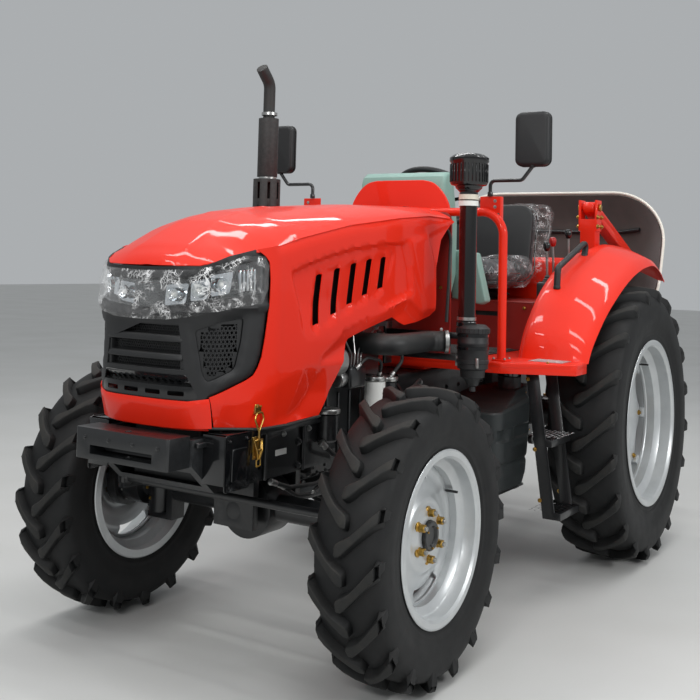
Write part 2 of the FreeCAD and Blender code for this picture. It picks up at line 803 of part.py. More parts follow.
# Engine, gearbox and rear axle
def power_train():
    half = "engine_half_width"
    inner = "(frame_half_width - frame_wall)"
    rear = "BX - clutch_rear + clutch_length"
    block = box(rear, "FX - engine_front", f"-{half}", half, "engine_low", "engine_high")
    head = box(f"{rear} + 40", "FX - engine_front - 30", "-head_half_width", "head_half_width", "engine_high",
               "head_high")
    sump = box(f"{rear} + 20", "FX - sump_front", "-sump_half_width", "sump_half_width", "sump_low", "engine_low")
    boss = box("FX - frame_rear", "FX - frame_rear + mount_boss", f"-{inner}", inner, "side_bolt_z - 30",
               "side_bolt_z + 30")
    node("engine", fuse(block, head, sump, boss))

    bell = rod("clutch_radius", "clutch_length", "BX - clutch_rear", "0", "drive_line_z", "x")
    flange = rod("gearbox_flange", "gearbox_flange_thickness", "BX - clutch_rear", "0", "drive_line_z", "x")
    box_part = rounded(box("BX - gearbox_rear", "BX - clutch_rear", "-gearbox_half_width", "gearbox_half_width",
                           "gearbox_low", "gearbox_high"), "box_corner", runs("X"))
    drop = box("BX - propshaft_rear - drop_box_length", "BX - propshaft_rear", "-drop_box_half_width",
               "drop_box_half_width", "drop_box_low", "gearbox_low")
    guard = rod("propshaft_radius", "(FX - hanger_inner - hanger_thickness) - (BX - propshaft_rear)",
                "BX - propshaft_rear", "0", "FZ", "x")
    cradles = []
    low, inner, plate = "tank_low - cradle_plate", "gearbox_half_width", "gearbox_half_width + cradle_plate"
    for x in ("cradle_front", "cradle_rear"):
        for y, z in (("tank_outer - 45", "tank_low"), (plate, "gearbox_low + cradle_width")):
            for y0, y1 in ((inner, y), (f"-({y})", f"-{inner}")):
                cradles.append(box(f"BX - {x} - cradle_width", f"BX - {x}", y0, y1, low, z))
    node("gearbox", fuse(bell, flange, box_part, drop, guard, *cradles))

    case = rounded(box("RX - axle_case_behind", "BX - gearbox_rear", "-axle_case_half_width",
                       "axle_case_half_width", "axle_case_low", "axle_case_high"), "casting_corner", runs("X"))
    cover = rounded(box("RX - axle_case_behind", "RX + lift_cover_ahead", "-lift_cover_half_width",
                        "lift_cover_half_width", "axle_case_high", "lift_cover_high"),
                    "casting_corner", runs("XY", size.axle_case_high + 1))
    brakes = rod("brake_radius", "brake_end * 2", "RX", "-brake_end", "RZ", "y")
    trumpets = rod("trumpet_radius", "trumpet_end * 2", "RX", "-trumpet_end", "RZ", "y")
    flanges = [rod("trumpet_flange", "15", "RX", text, "RZ", "y") for text in ("trumpet_end - 15", "-trumpet_end")]
    shaft_hole = rod("rockshaft_radius + running_gap", "lift_cover_half_width * 2 + 2", "RX - link_pivot_behind",
                     "-lift_cover_half_width - 1", "rockshaft_z", "y")
    node("rear_axle", cut(fuse(case, cover, brakes, trumpets, *flanges), shaft_hole))


def cooling():
    x1 = "FX + radiator_front"
    floor = "frame_floor + frame_floor_thickness"
    core = box(f"{x1} - radiator_thickness", x1, "-radiator_half_width", "radiator_half_width", floor,
               "radiator_high")
    shroud = box(f"{x1} - radiator_thickness - shroud_depth", f"{x1} - radiator_thickness",
                 "-radiator_half_width", "radiator_half_width", "fan_z - radiator_half_width",
                 "fan_z + radiator_half_width")
    bore = rod("fan_radius + fan_tip_gap", "shroud_depth + 1", f"{x1} - radiator_thickness - shroud_depth - 1", "0",
               "fan_z", "x")
    radiator = fuse(core, cut(shroud, bore))
    battery = box("FX + battery_front - battery_length", "FX + battery_front", "-battery_half_width",
                  "battery_half_width", floor, f"{floor} + battery_height")
    node("battery", rounded(battery, "box_corner", runs("Z")))
    start = front_x - size.engine_front
    reach = size.radiator_front - size.radiator_thickness - size.fan_back_gap + size.engine_front
    hub = Part.makeCylinder(size.fan_hub_radius, reach, Vector(start, 0, size.fan_z), Vector(1, 0, 0))
    blades = []
    for count in range(int(size.fan_blades)):
        blade = Part.makeBox(size.fan_blade_depth, 6, size.fan_radius, Vector(-size.fan_blade_depth / 2, -3, 0))
        blade.rotate(Vector(), Vector(0, 0, 1), 35)
        blade.rotate(Vector(), Vector(1, 0, 0), 360 * count / size.fan_blades)
        blade.translate(Vector(start + reach - size.fan_blade_depth / 2, 0, size.fan_z))
        blades.append(blade)
    node("radiator", compound(radiator, formed(hub.multiFuse(blades), "Fan")))


# Operator's platform, fenders and handles
def platform():
    half, wing = "platform_half_width", "fender_outer"
    front, step = "BX - platform_front", "BX - platform_front - platform_slant"
    back, rear = "BX - platform_wing_x", "BX - platform_rear"
    left = [(front, half), (step, wing), (back, wing), (back, half), (rear, half)]
    corners = left + [(x, f"-{y}") for x, y in reversed(left)]
    plate = rounded(padded("XY_Plane", corners, "platform_thickness", "platform_top - platform_thickness"),
                    "sheet_corner", lambda b: b.ZLength > 1 and b.XMin > body_x - size.platform_wing_x + 1)
    beams = [box(f"BX - {x} - beam_length", f"BX - {x}", "-gearbox_half_width", "gearbox_half_width",
                 "gearbox_high", "platform_top - platform_thickness") for x in ("beam_front", "beam_rear")]
    node("platform", fuse(plate, *beams))


# columns: x behind the front axle, height of the outer edge, height of the inner edge
FENDER_LINE = (
    ("fender_knee", 1165, 928, 928),
    ("fender_knee", 1250, 1030, 1085),
    ("slope", 1560, 1222, 1315),
    ("crown", 1895, 1345, 1425),
    ("crown", 2160, 1374, 1450),
    ("tail", 2382, 1262, 1345),
)


def fender_path(level, y, drop=0.0):
    """Edges of the fender's line in side view at one distance from the middle."""
    spots = [Vector(body_x - row[1], y, row[level] - drop) for row in FENDER_LINE]
    return [Part.LineSegment(spots[0], spots[1]).toShape(), arc_through(spots[1], spots[2], spots[3]),
            arc_through(spots[3], spots[4], spots[5])], spots


def fender_band(level, y, top, low):
    """Closed strip between two drops below the fender's line."""
    upper, high = fender_path(level, y, top)
    lower, deep = fender_path(level, y, low)
    ends = [Part.LineSegment(high[-1], deep[-1]).toShape(), Part.LineSegment(deep[0], high[0]).toShape()]
    return Part.Wire(upper + [ends[0]] + lower[::-1] + [ends[1]])


def fender():
    inner, outer, sheet_metal = size.fender_inner, size.fender_outer, size.fender_sheet
    skin = Part.makeLoft([fender_band(3, inner, 0, sheet_metal), fender_band(2, outer, 0, sheet_metal)], True, True)
    lip = Part.Face(fender_band(2, outer, sheet_metal / 2, size.fender_lip)).extrude(Vector(0, -sheet_metal, 0))
    path, spots = fender_path(3, inner, sheet_metal / 2)
    low = size.platform_top - size.platform_thickness
    base = [spots[-1], Vector(spots[-1].x + 60, inner, 1100), Vector(body_x - size.platform_rear, inner, low - 3),
            spots[0]]
    edges = path + [Part.LineSegment(a, b).toShape() for a, b in zip(base, base[1:])]
    wall = Part.Face(Part.Wire(edges)).extrude(Vector(0, sheet_metal, 0))
    left = node("fender_left", formed(skin.multiFuse([lip, wall]), "Fender"))
    node("fender_right", mirror(left))


def seated(shape, *carriers):
    """The largest solid that is left where a shape's ends meet what carries it."""
    for carrier in carriers:
        shape = shape.cut(carrier.Shape)
    return max(shape.Solids, key=lambda solid: solid.Volume)


# columns: distance behind the datum, height
HANDLE_LINE = ((1436, 1238), (1445, 1335), (1822, 1466), (1786, 1380))


def grab_handles():
    points = [Vector(body_x - x, size.handle_y, z) for x, z in HANDLE_LINE]
    bar = swept_tube(points, size.handle_radius, size.handle_bend)
    left = formed(seated(bar, NODES["fender_left"]), "Handle")
    node("grab_handles", compound(left, mirror(left)))


# Front arch with its mirrors
def front_arch():
    x, half, top = body_x - size.arch_x, size.arch_half_width, size.arch_top
    foot = size.platform_top
    points = [Vector(x, -half, foot), Vector(x, -half, top), Vector(x, half, top), Vector(x, half, foot)]
    tube = formed(swept_tube(points, size.arch_radius, size.arch_bend), "Arch")
    plates = []
    for y0, y1 in (("arch_plate_inner", "arch_plate_outer"), ("-arch_plate_outer", "-arch_plate_inner")):
        plates.append(box("BX - arch_x - arch_plate_thickness / 2", "BX - arch_x + arch_plate_thickness / 2", y0, y1,
                          "arch_top", "arch_plate_high"))
    feet = [box("BX - arch_x - arch_foot / 2", "BX - arch_x + arch_foot / 2", f"{s}arch_half_width - arch_foot / 2",
                f"{s}arch_half_width + arch_foot / 2", "platform_top", "platform_top + arch_plate_thickness")
            for s in ("", "-")]
    node("front_arch", fuse(tube, *plates, *feet))


def mirrors():
    x = body_x - size.arch_x
    line = ((size.mirror_foot_y, size.arch_plate_high + size.running_gap), (size.mirror_foot_y, size.mirror_elbow_z),
            (size.mirror_elbow_y, size.mirror_elbow_z), (size.mirror_y, size.mirror_low))
    arm = formed(swept_tube([Vector(x, y, z) for y, z in line], size.mirror_rod_radius, size.mirror_rod_bend), "Arm")
    node("mirror_arms", compound(arm, mirror(arm)))
    shell = Part.makeBox(size.mirror_depth, size.mirror_half_width * 2, size.mirror_high - size.mirror_low,
                         Vector(x - size.mirror_depth / 2, size.mirror_y - size.mirror_half_width, size.mirror_low))
    shell = shell.makeFillet(size.mirror_corner, [edge for edge in shell.Edges if edge.BoundBox.XLength > 1])
    doc.recompute()
    shell = formed(shell.cut(NODES["mirror_arms"].Shape), "Head")
    node("mirror_heads", compound(shell, mirror(shell)))


# Bulkhead, dashboard and steering wheel
def bulkhead():
    x0, x1 = "BX - bulkhead_x - bulkhead_thickness", "BX - bulkhead_x"
    plate = box(x0, x1, "-bulkhead_half_width", "bulkhead_half_width", "platform_top", "bulkhead_high")
    ears = [box(x0, "BX - hood_hinge_x + hinge_ear", y0, y1, "bulkhead_high - hinge_ear", "hood_hinge_z + hinge_ear")
            for y0, y1 in (("hinge_half_width + running_gap", "hinge_half_width + hinge_ear"),
                           ("-hinge_half_width - hinge_ear", "-hinge_half_width - running_gap"))]
    pin = rod("hinge_pin_radius", "hinge_half_width * 2 + hinge_ear * 2", "BX - hood_hinge_x",
              "-hinge_half_width - hinge_ear", "hood_hinge_z", "y")
    plate = rounded(plate, "sheet_corner", runs("X", size.bulkhead_high - 1))
    node("bulkhead", fuse(plate, *ears, pin))


def dashboard():
    x1, x0 = "BX - cowl_x", "BX - cowl_x - cowl_thickness"
    half, shoulder = "cowl_half_width", "cowl_shoulder"
    cowl = padded("YZ_Plane", [(f"-{half}", "cowl_low"), (half, "cowl_low"), (half, shoulder),
                               ("cowl_half_width * 0.42", "cowl_high"), ("-cowl_half_width * 0.42", "cowl_high"),
                               (f"-{half}", shoulder)], "cowl_thickness", x0)
    node("dash_cowl", rounded(cowl, "cowl_corner", runs("X", size.cowl_low + 1)))
    rear = "BX - dash_rear"
    body = side_profile([(x0, "dash_low"), (x0, "cowl_high - 15"), (f"{x0} - dash_brow", "dash_high"),
                         (rear, "dash_high - 45"), (rear, "dash_low + 100"), (f"{rear} + 60", "dash_low")],
                        "-dash_half_width", "dash_half_width")
    body = rounded(body, "moulded_corner", lambda b: b.YLength > 1 and b.XMax < body_x - size.cowl_x
                   - size.cowl_thickness - 1)
    leg = box(f"{rear} + 60", "BX - bulkhead_x - bulkhead_thickness", "-dash_column_half_width",
              "dash_column_half_width", "platform_top", "dash_low")
    node("dashboard", fuse(body, leg))


def steering_wheel():
    centre = Vector(body_x - size.steering_wheel_x, 0, size.steering_wheel_z)
    tilt = math.radians(size.steering_tilt)
    axis = Vector(-math.sin(tilt), 0, math.cos(tilt))
    ring = Part.makeTorus(size.steering_wheel_radius, size.steering_rim_radius, centre, axis)
    hub = Part.makeCylinder(size.steering_hub_radius, 34, centre - axis * 34, axis)
    column = Part.makeCylinder(size.steering_hub_radius * 0.55, size.steering_column_length,
                               centre - axis * size.steering_column_length, axis)
    spokes = []
    for angle in (90, 210, 330):
        spoke = Part.makeBox(size.steering_wheel_radius, 26, 10, Vector(0, -13, -20))
        spoke.rotate(Vector(), Vector(0, 0, 1), angle + 90)
        spoke.rotate(Vector(), Vector(0, 1, 0), -size.steering_tilt)
        spoke.translate(centre)
        spokes.append(spoke)
    node("steering_wheel", formed(seated(ring.multiFuse([hub, column] + spokes), NODES["dashboard"]), "Steering"))


def pedals():
    x = "BX - bulkhead_x - bulkhead_thickness"
    parts = []
    for y in ("pedal_y", "-pedal_y", "-pedal_y - pedal_width - 6"):
        arm = box(f"{x} - pedal_reach", x, f"{y} - 7", f"{y} + 7", "pedal_z", "pedal_z + 14")
        pad = box(f"{x} - pedal_reach - 12", f"{x} - pedal_reach", f"{y} - pedal_width / 2", f"{y} + pedal_width / 2",
                  "pedal_z - 30", "pedal_z + 40")
        parts.append(fuse(arm, pad))
    return parts


# Seat and side controls
def seat():
    low = "seat_top - seat_thickness"
    front = "BX - seat_front - seat_base_inset"
    base = [(front, "platform_top"), ("BX - platform_rear", "platform_top"), ("BX - platform_rear", "lift_cover_high"),
            ("BX - seat_rear", "lift_cover_high"), ("BX - seat_rear - 30", low), (front, low)]
    node("seat_base", side_profile(base, "-seat_base_half_width", "seat_base_half_width"))
    cushion = Part.makeBox(size.seat_rear - size.seat_front - size.backrest_thickness - 2, size.seat_half_width * 2,
                           size.seat_thickness,
                           Vector(body_x - size.seat_rear + size.backrest_thickness + 2, -size.seat_half_width,
                                  size.seat_top - size.seat_thickness))
    cushion = cushion.makeFillet(size.cushion_corner, [e for e in cushion.Edges if e.BoundBox.ZLength > 1])
    hollow = (size.seat_half_width - size.seat_bolster) * 2
    dish = Part.makeBox(size.seat_rear, hollow, size.seat_dish + 1,
                        Vector(body_x - size.seat_front - size.seat_bolster - size.seat_rear, -hollow / 2,
                               size.seat_top - size.seat_dish))
    cushion = cushion.cut(dish)
    node("seat_cushion", formed(cushion, "Cushion"))
    lean = math.tan(math.radians(size.backrest_lean)) * (size.backrest_top - size.seat_top + size.seat_thickness)
    start, foot = body_x - size.seat_rear, size.seat_top - size.seat_thickness
    line = [(start, foot), (start + size.backrest_thickness, foot),
            (start + size.backrest_thickness - lean, size.backrest_top), (start - lean, size.backrest_top)]
    back = Part.Face(wire([Vector(x, -size.seat_half_width, z) for x, z in line]))
    back = back.extrude(Vector(0, size.seat_half_width * 2, 0))
    tall = [e for e in back.Edges if e.BoundBox.ZLength < 1 and e.BoundBox.YLength < 1 and e.BoundBox.ZMin > foot + 1]
    dish = Part.Face(wire([Vector(x + size.backrest_thickness - size.seat_dish, -hollow / 2, z) for x, z in line]))
    dish = dish.extrude(Vector(0, hollow, 0))
    dish = dish.cut(Part.makeBox(size.seat_rear, hollow, size.seat_bolster,
                                 Vector(start - lean, -hollow / 2, size.backrest_top - size.seat_bolster)))
    node("seat_back", formed(back.makeFillet(size.cushion_corner, tall).cut(dish), "Backrest"))


# columns: distance behind the datum, height of the knob above its console
LEVERS = ((1600, 175), (1680, 200), (1890, 245))


def side_controls():
    inner, outer = "console_inner", "fender_inner"
    blocks, levers = [], []
    block = box("BX - console_rear", "BX - console_front", inner, outer, "platform_top", "console_top")
    block = rounded(block, "moulded_corner", lambda b: b.ZMax > size.platform_top + 1 and b.YMax < size.fender_inner - 1)
    node("side_consoles", compound(block, mirror(block)))
    y = (size.console_inner + size.fender_inner) / 2
    lean = 0.1
    for x, high in LEVERS:
        stem = Part.makeCylinder(size.lever_radius, high, Vector(body_x - x, y, size.console_top + 1),
                                 Vector(lean, 0, 1))
        knob = Part.makeSphere(size.knob_radius, Vector(body_x - x + high * lean, y, size.console_top + high))
        levers.append(stem.fuse(knob))
    group = formed(Part.makeCompound(levers), "Levers")
    node("controls", compound(group, mirror(group), *pedals()))


# Fuel tank, tool box and steps
def side_boxes():
    x0, x1 = "BX - tank_rear", "BX - tank_front"
    corners = [("tank_inner", "tank_low"), ("tank_outer", "tank_low"), ("tank_outer", "tank_shoulder"),
               ("tank_outer - 45", "tank_shoulder + 50"), ("tank_inner", "tank_high")]
    tank = padded("YZ_Plane", corners, f"({x1}) - ({x0})", x0)
    tank = rounded(tank, "moulded_corner", lambda b: True)
    recess = [box(f"{x0} + {inset}", f"{x1} - {inset}", "tank_outer - tank_recess", "tank_outer + 1", low, high)
              for inset, low, high in (("tank_recess_inset", "tank_recess_low", "tank_recess_high"),
                                       ("-1", "tank_groove_z", "tank_groove_z + tank_groove_height"))]
    neck = rod("filler_radius - 8", "filler_high - tank_shoulder", "BX - filler_x", "filler_y", "tank_shoulder")
    cap = rod("filler_radius", "24", "BX - filler_x", "filler_y", "filler_high")
    node("fuel_tank", cut(fuse(tank, neck, cap), *recess))
    tools = box("BX - toolbox_rear", x1, "-tank_outer + 40", "-tank_inner", "tank_low", "tank_high")
    node("tool_box", rounded(tools, "box_corner", lambda b: True))


def steps():
    rail = []
    line = [("step_top_y", "platform_top - platform_thickness"),
            ("step_top_y + rail_width", "platform_top - platform_thickness"),
            ("step_low_y + rail_width", "step_low_z"), ("step_low_y", "step_low_z")]
    for x in ("BX - step_front", "BX - step_front - step_length + step_rail"):
        rail.append(padded("YZ_Plane", line, "step_rail", f"{x} - step_rail"))
    treads = []
    for z, y in (("step_low_z", "step_low_y"), ("step_mid_z", "step_mid_y")):
        tread = box("BX - step_front - step_length", "BX - step_front", y, f"{y} + tread_depth", z,
                    f"{z} + tread_thickness")
        slots = [box(f"BX - step_front - step_length * {place} - tread_slot_width / 2",
                     f"BX - step_front - step_length * {place} + tread_slot_width / 2", f"{y} + 14",
                     f"{y} + tread_depth - 14", f"{z} - 1", f"{z} + tread_thickness + 1")
                 for place in ((count + 1) / (size.tread_slots + 1) for count in range(int(size.tread_slots)))]
        treads.append(cut(tread, *slots))
    left = fuse(*rail, *treads)
    node("steps", compound(left, mirror(left)))


# Air intake and exhaust
def air_intake():
    x, y = "BX - intake_x", "intake_y"
    can = rod("canister_radius", "canister_high - canister_low", x, y, "canister_low")
    low = "canister_low - bracket_thickness"
    on_bell = f"sqrt(clutch_radius ^ 2 - ({low} - drive_line_z) ^ 2) + running_gap"
    bracket = box(f"{x} - 25", f"{x} + 25", on_bell, "intake_y - canister_radius / 2", low, "canister_low")
    stack = rod("stack_radius", "stack_high - canister_high", x, y, "canister_high")
    node("air_cleaner", fuse(can, bracket, stack))
    bowl = rod("precleaner_radius", "precleaner_high - stack_high - 45", x, y, "stack_high + 12")
    collar = rod("stack_radius + 8", "12", x, y, "stack_high")
    dome = cone("precleaner_radius", "precleaner_radius * 0.62", "33", x, y, "precleaner_high - 33")
    grooves = []
    for count in range(int(size.precleaner_grooves)):
        groove = Part.makeBox(size.groove_depth * 2, size.groove_width, size.precleaner_high - size.stack_high - 60,
                              Vector(size.precleaner_radius - size.groove_depth, -size.groove_width / 2,
                                     size.stack_high + 20))
        groove.rotate(Vector(), Vector(0, 0, 1), count * 360 / size.precleaner_grooves)
        groove.translate(Vector(body_x - size.intake_x, size.intake_y, 0))
        grooves.append(groove)
    node("precleaner", cut(fuse(collar, bowl, dome), formed(Part.makeCompound(grooves), "Grooves")))
    engine_middle = (front_x - size.engine_front + body_x - size.clutch_rear + size.clutch_length) / 2
    port = engine_middle - size.duct_behind_middle
    can_x = body_x - size.intake_x
    points = [Vector(a, b, size.duct_z) for a, b in
              ((port, size.head_half_width + size.running_gap), (port, size.duct_y),
               (can_x + size.duct_turn, size.duct_y), (can_x + 8, size.intake_y - 20))]
    duct = swept_tube(points, size.duct_radius, size.duct_bend)
    grown = Part.makeCylinder(size.canister_radius + size.running_gap, 400,
                              Vector(body_x - size.intake_x, size.intake_y, size.canister_low))
    duct = max(duct.cut(grown).Solids, key=lambda solid: solid.Volume)
    node("intake_duct", formed(duct, "Duct"))


def exhaust():
    x, y = body_x - size.exhaust_x, -size.exhaust_y
    line = [Vector(x, -size.head_half_width - size.running_gap, size.exhaust_port_z),
            Vector(x, y, size.exhaust_port_z), Vector(x, y, size.exhaust_high),
            Vector(x + size.exhaust_tip, y, size.exhaust_high + size.exhaust_tip)]
    pipe = swept_tube(line, size.exhaust_radius, size.exhaust_bend)
    can = Part.makeCylinder(size.muffler_radius, size.muffler_high - size.muffler_low, Vector(x, y, size.muffler_low))
    guard = Part.makeCylinder(size.guard_half_width, size.guard_high - size.guard_low, Vector(x, y, size.guard_low))
    wall, high = size.guard_wall, size.guard_high - size.guard_low
    cuts = [Part.makeCylinder(size.guard_half_width - wall, high - wall * 2, Vector(x, y, size.guard_low + wall))]
    for row in range(int(size.guard_rows)):
        for count in range(int(size.guard_slots)):
            slot = Part.makeBox(size.guard_half_width * 2 + 2, size.guard_slot_width, size.guard_slot_height,
                                Vector(-size.guard_half_width - 1, -size.guard_slot_width / 2,
                                       size.guard_low + (row + 0.5) * high / size.guard_rows
                                       - size.guard_slot_height / 2))
            slot.rotate(Vector(), Vector(0, 0, 1), count * 180 / size.guard_slots)
            slot.translate(Vector(x, y, 0))
            cuts.append(slot)
    guard = guard.cut(Part.makeCompound(cuts))
    node("exhaust", formed(pipe.multiFuse([can, guard]), "Exhaust"))


# Roll frame with its folding hoop and canopy
def rops_frame():
    half = "rops_tube / 2"
    x0, x1 = f"RX - rops_behind - {half}", f"RX - rops_behind + {half}"
    parts = []
    for s in (1, -1):
        def span(a, b):
            return (a, b) if s > 0 else (f"-({b})", f"-({a})")
        y = span(f"rops_y - {half}", f"rops_y + {half}")
        parts.append(box(x0, x1, *y, "rops_foot", "rops_low_top"))
        parts.append(box(x0, "RX + rops_tube", *y, "RZ + trumpet_radius", "rops_foot"))
        for a, b in ((f"rops_y - {half} - rops_ear", f"rops_y - {half}"),
                     (f"rops_y + {half}", f"rops_y + {half} + rops_ear")):
            parts.append(box(x0, x1, *span(a, b), "rops_low_top - 60", f"rops_hinge_z + {half}"))
    panel = box("RX - rops_behind - 6", "RX - rops_behind + 6", f"-rops_y + {half}", f"rops_y - {half}", "cross_low",
                "cross_high")
    holes = [rod("rops_pin_radius + running_gap", "rops_tube * 2", "RX - rops_behind", y, "rops_hinge_z", "y")
             for y in ("rops_y - rops_tube", "-rops_y - rops_tube")]
    node("rops_frame", cut(fuse(*parts, panel), *holes))
    lamp = box(f"{x0} - 14", x0, f"rops_y - {half} + 5", f"rops_y + {half} - 5", "tail_lamp_z", "tail_lamp_z + 110")
    node("tail_lamps", compound(lamp, mirror(lamp)))


def fold_back(shape):
    """Turn a shape modelled with the hoop upright to the hoop's parked place."""
    shape.rotate(Vector(rear_x - size.rops_behind, 0, size.rops_hinge_z), Vector(0, 1, 0), -size.rops_fold)
    return shape


def upper_edges(block, level):
    """Fore-and-aft edges of a block above a level."""
    return [edge for edge in block.Edges if edge.BoundBox.XLength > 1 and edge.BoundBox.ZMin > level + 1]


def rops_hoop():
    bar, half = size.rops_bar, size.rops_y + size.rops_bar / 2
    x, foot = rear_x - size.rops_behind - bar / 2, size.rops_hinge_z
    high = size.rops_length + bar / 2
    outer = Part.makeBox(bar, half * 2, high, Vector(x, -half, foot))
    outer = outer.makeFillet(size.rops_bend, upper_edges(outer, foot))
    inner = Part.makeBox(bar + 2, half * 2 - bar * 2, high - bar + 50, Vector(x - 1, bar - half, foot - 50))
    inner = inner.makeFillet(size.rops_bend - bar * 0.7, upper_edges(inner, foot))
    ends = []
    for s in (1, -1):
        y = s * size.rops_y
        ends.append(Part.makeCylinder(bar / 2, bar, Vector(x + bar / 2, y - bar / 2, foot), Vector(0, 1, 0)))
        reach = size.rops_tube / 2 + size.rops_ear + 8
        ends.append(Part.makeCylinder(size.rops_pin_radius, reach * 2, Vector(x + bar / 2, y - reach, foot),
                                      Vector(0, 1, 0)))
    node("rops_hoop", formed(fold_back(outer.cut(inner).multiFuse(ends)), "Hoop"))


def rounded_ring(x0, x1, half, z, corner):
    """Rounded rectangle at one height, from straight edges and arcs."""
    box_face = Part.makeBox(x1 - x0, half * 2, 1, Vector(x0, -half, z))
    box_face = box_face.makeFillet(corner, [e for e in box_face.Edges if e.BoundBox.ZLength > 0.5])
    return min((f for f in box_face.Faces if f.BoundBox.ZLength < 0.5), key=lambda f: f.BoundBox.ZMin).OuterWire


def canopy_dome(wall):
    """Closed dome; wall is how far it lies inside the outer surface."""
    x, level = rear_x - size.rops_behind, size.rops_hinge_z + size.rops_length
    low, high = level - size.canopy_below - (30 if wall else 0), level + size.canopy_above - wall
    rings = []
    # columns: share of the height, inset of the outline
    for share, inset in ((0.0, 0.0), (0.5, 35.0), (0.82, 110.0), (1.0, 235.0)):
        edge = inset + wall
        rings.append(rounded_ring(x - size.canopy_back + edge, x + size.canopy_front - edge,
                                  size.canopy_half_width - edge, low + share * (high - low),
                                  size.canopy_corner - edge * 0.6))
    return Part.makeLoft(rings, True, True)


def canopy():
    shell = canopy_dome(0).cut(canopy_dome(size.canopy_wall))
    x, level = rear_x - size.rops_behind, size.rops_hinge_z + size.rops_length
    low = level + size.rops_bar / 2
    posts = [Part.makeBox(size.rops_bar, size.rops_bar, size.canopy_above - size.canopy_wall / 2 - size.rops_bar / 2,
                          Vector(x - size.rops_bar / 2, y, low)) for y in (-280 - size.rops_bar, 280)]
    node("canopy", formed(fold_back(shell.multiFuse(posts)), "Canopy"))


# Rear linkage
def linkage():
    x, hole = rear_x - size.link_pivot_behind, size.link_eye_hole / 2
    slope = size.link_slope
    bar_y = size.link_y - size.link_thickness / 2

    def bar(length, height, y, depth, z, eyes):
        """Flat bar from its pivot, sloping down to the rear; eyes are (distance, radius, bore)."""
        body = Part.makeBox(length, depth, height, Vector(-length, y, -height / 2))
        rings = [Part.makeCylinder(radius, depth, Vector(-reach, y, 0), Vector(0, 1, 0)) for reach, radius, _ in eyes]
        body = body.multiFuse(rings)
        bores = [Part.makeCylinder(bore, depth + 2, Vector(-reach, y - 1, 0), Vector(0, 1, 0))
                 for reach, _, bore in eyes if bore]
        body = body.cut(Part.makeCompound(bores))
        body.rotate(Vector(), Vector(0, 1, 0), -slope)
        body.translate(Vector(x, 0, z))
        return body

    rod_point = Vector(-size.link_rod_point * math.cos(math.radians(slope)), 0,
                       -size.link_rod_point * math.sin(math.radians(slope)))
    pin = size.link_pin_radius
    link = bar(size.link_length, size.link_height * 0.75, bar_y, size.link_thickness, size.link_pivot_z,
               [(0, size.link_eye_radius, pin + size.running_gap), (size.link_length, size.link_eye_radius, hole)])
    stub = Part.makeCylinder(pin, size.link_thickness + 22, Vector(x, bar_y - 22, size.link_pivot_z) + rod_point,
                             Vector(0, 1, 0))
    left = formed(link.fuse(stub), "Link")
    node("lower_links", compound(left, mirror(left)))

    arm_y = bar_y - 22 - size.link_thickness
    arm = bar(size.link_rod_point, size.link_height * 0.7, arm_y, size.link_thickness, size.rockshaft_z,
              [(0, size.rockshaft_radius * 1.5, 0), (size.link_rod_point, size.link_eye_radius, 0)])
    stub = Part.makeCylinder(pin, size.link_thickness + 21, Vector(x, arm_y, size.rockshaft_z) + rod_point,
                             Vector(0, 1, 0))
    other = arm.fuse(stub).mirror(Vector(), Vector(0, 1, 0))
    shaft = Part.makeCylinder(size.rockshaft_radius, arm_y * 2, Vector(x, -arm_y, size.rockshaft_z), Vector(0, 1, 0))
    node("lift_arms", formed(shaft.multiFuse([arm.fuse(stub), other]), "Arms"))

    y = bar_y - 21
    depth = 20
    low = Vector(x, y, size.link_pivot_z) + rod_point
    high = Vector(x, y, size.rockshaft_z) + rod_point
    parts = [Part.makeCylinder(size.link_eye_radius * 0.85, depth, spot, Vector(0, 1, 0)) for spot in (low, high)]
    rise = high.z - low.z
    stem = Part.makeBox(size.rod_radius * 2, depth - 2, rise, low + Vector(-size.rod_radius, 1, 0))
    lift_rod = stem.multiFuse(parts)
    for spot in (low, high):
        bore = Part.makeCylinder(pin + size.running_gap, depth + 2, spot - Vector(0, 1, 0), Vector(0, 1, 0))
        lift_rod = lift_rod.cut(bore)
    left = formed(lift_rod, "Rod")
    node("lift_rods", compound(left, mirror(left)))


def rear_fittings():
    x = "RX - axle_case_behind"
    bar = box(f"{x} - drawbar_length + 60", f"{x} + 60", "-drawbar_half_width", "drawbar_half_width", "drawbar_z",
              "drawbar_z + drawbar_thickness")
    hanger = box(x, f"{x} + 60", "-drawbar_half_width * 2", "drawbar_half_width * 2", "drawbar_z", "axle_case_low")
    hole = rod("drawbar_hole / 2", "drawbar_thickness + 2", f"{x} - drawbar_length + 60 + drawbar_hole_inset", "0",
               "drawbar_z - 1")
    drawbar = cut(fuse(bar, hanger), hole)
    node("pto_shaft", rod("pto_radius", "pto_length", f"{x} - pto_length", "0", "pto_z", "x"))
    stem = rod("top_link_radius", "top_link_length", f"{x} - top_link_length", "0", "top_link_z", "x")
    tube = rod("top_link_radius * 1.35", "turnbuckle_length", f"{x} - top_link_length * 0.8", "0", "top_link_z", "x")
    eye = rod("top_link_radius * 1.6", "44", f"{x} - top_link_length", "-22", "top_link_z", "y")
    hole = rod("top_link_hole / 2", "46", f"{x} - top_link_length", "-23", "top_link_z", "y")
    node("rear_couplings", compound(drawbar, cut(fuse(stem, tube, eye), hole)))


# Hood: a lid of pressed panels, nose band, grille and headlamps
# columns: x from the front axle, half width, height of the seam, height of the middle
HOOD_SECTIONS = (
    (632, 120, 1312, 1382),
    (607, 180, 1320, 1398),
    (560, 235, 1333, 1424),
    (430, 290, 1364, 1470),
    (350, 308, 1386, 1489),
    (-94, 308, 1475, 1545),
    (-458, 308, 1517, 1568),
    (-905, 308, 1536, 1583),
)


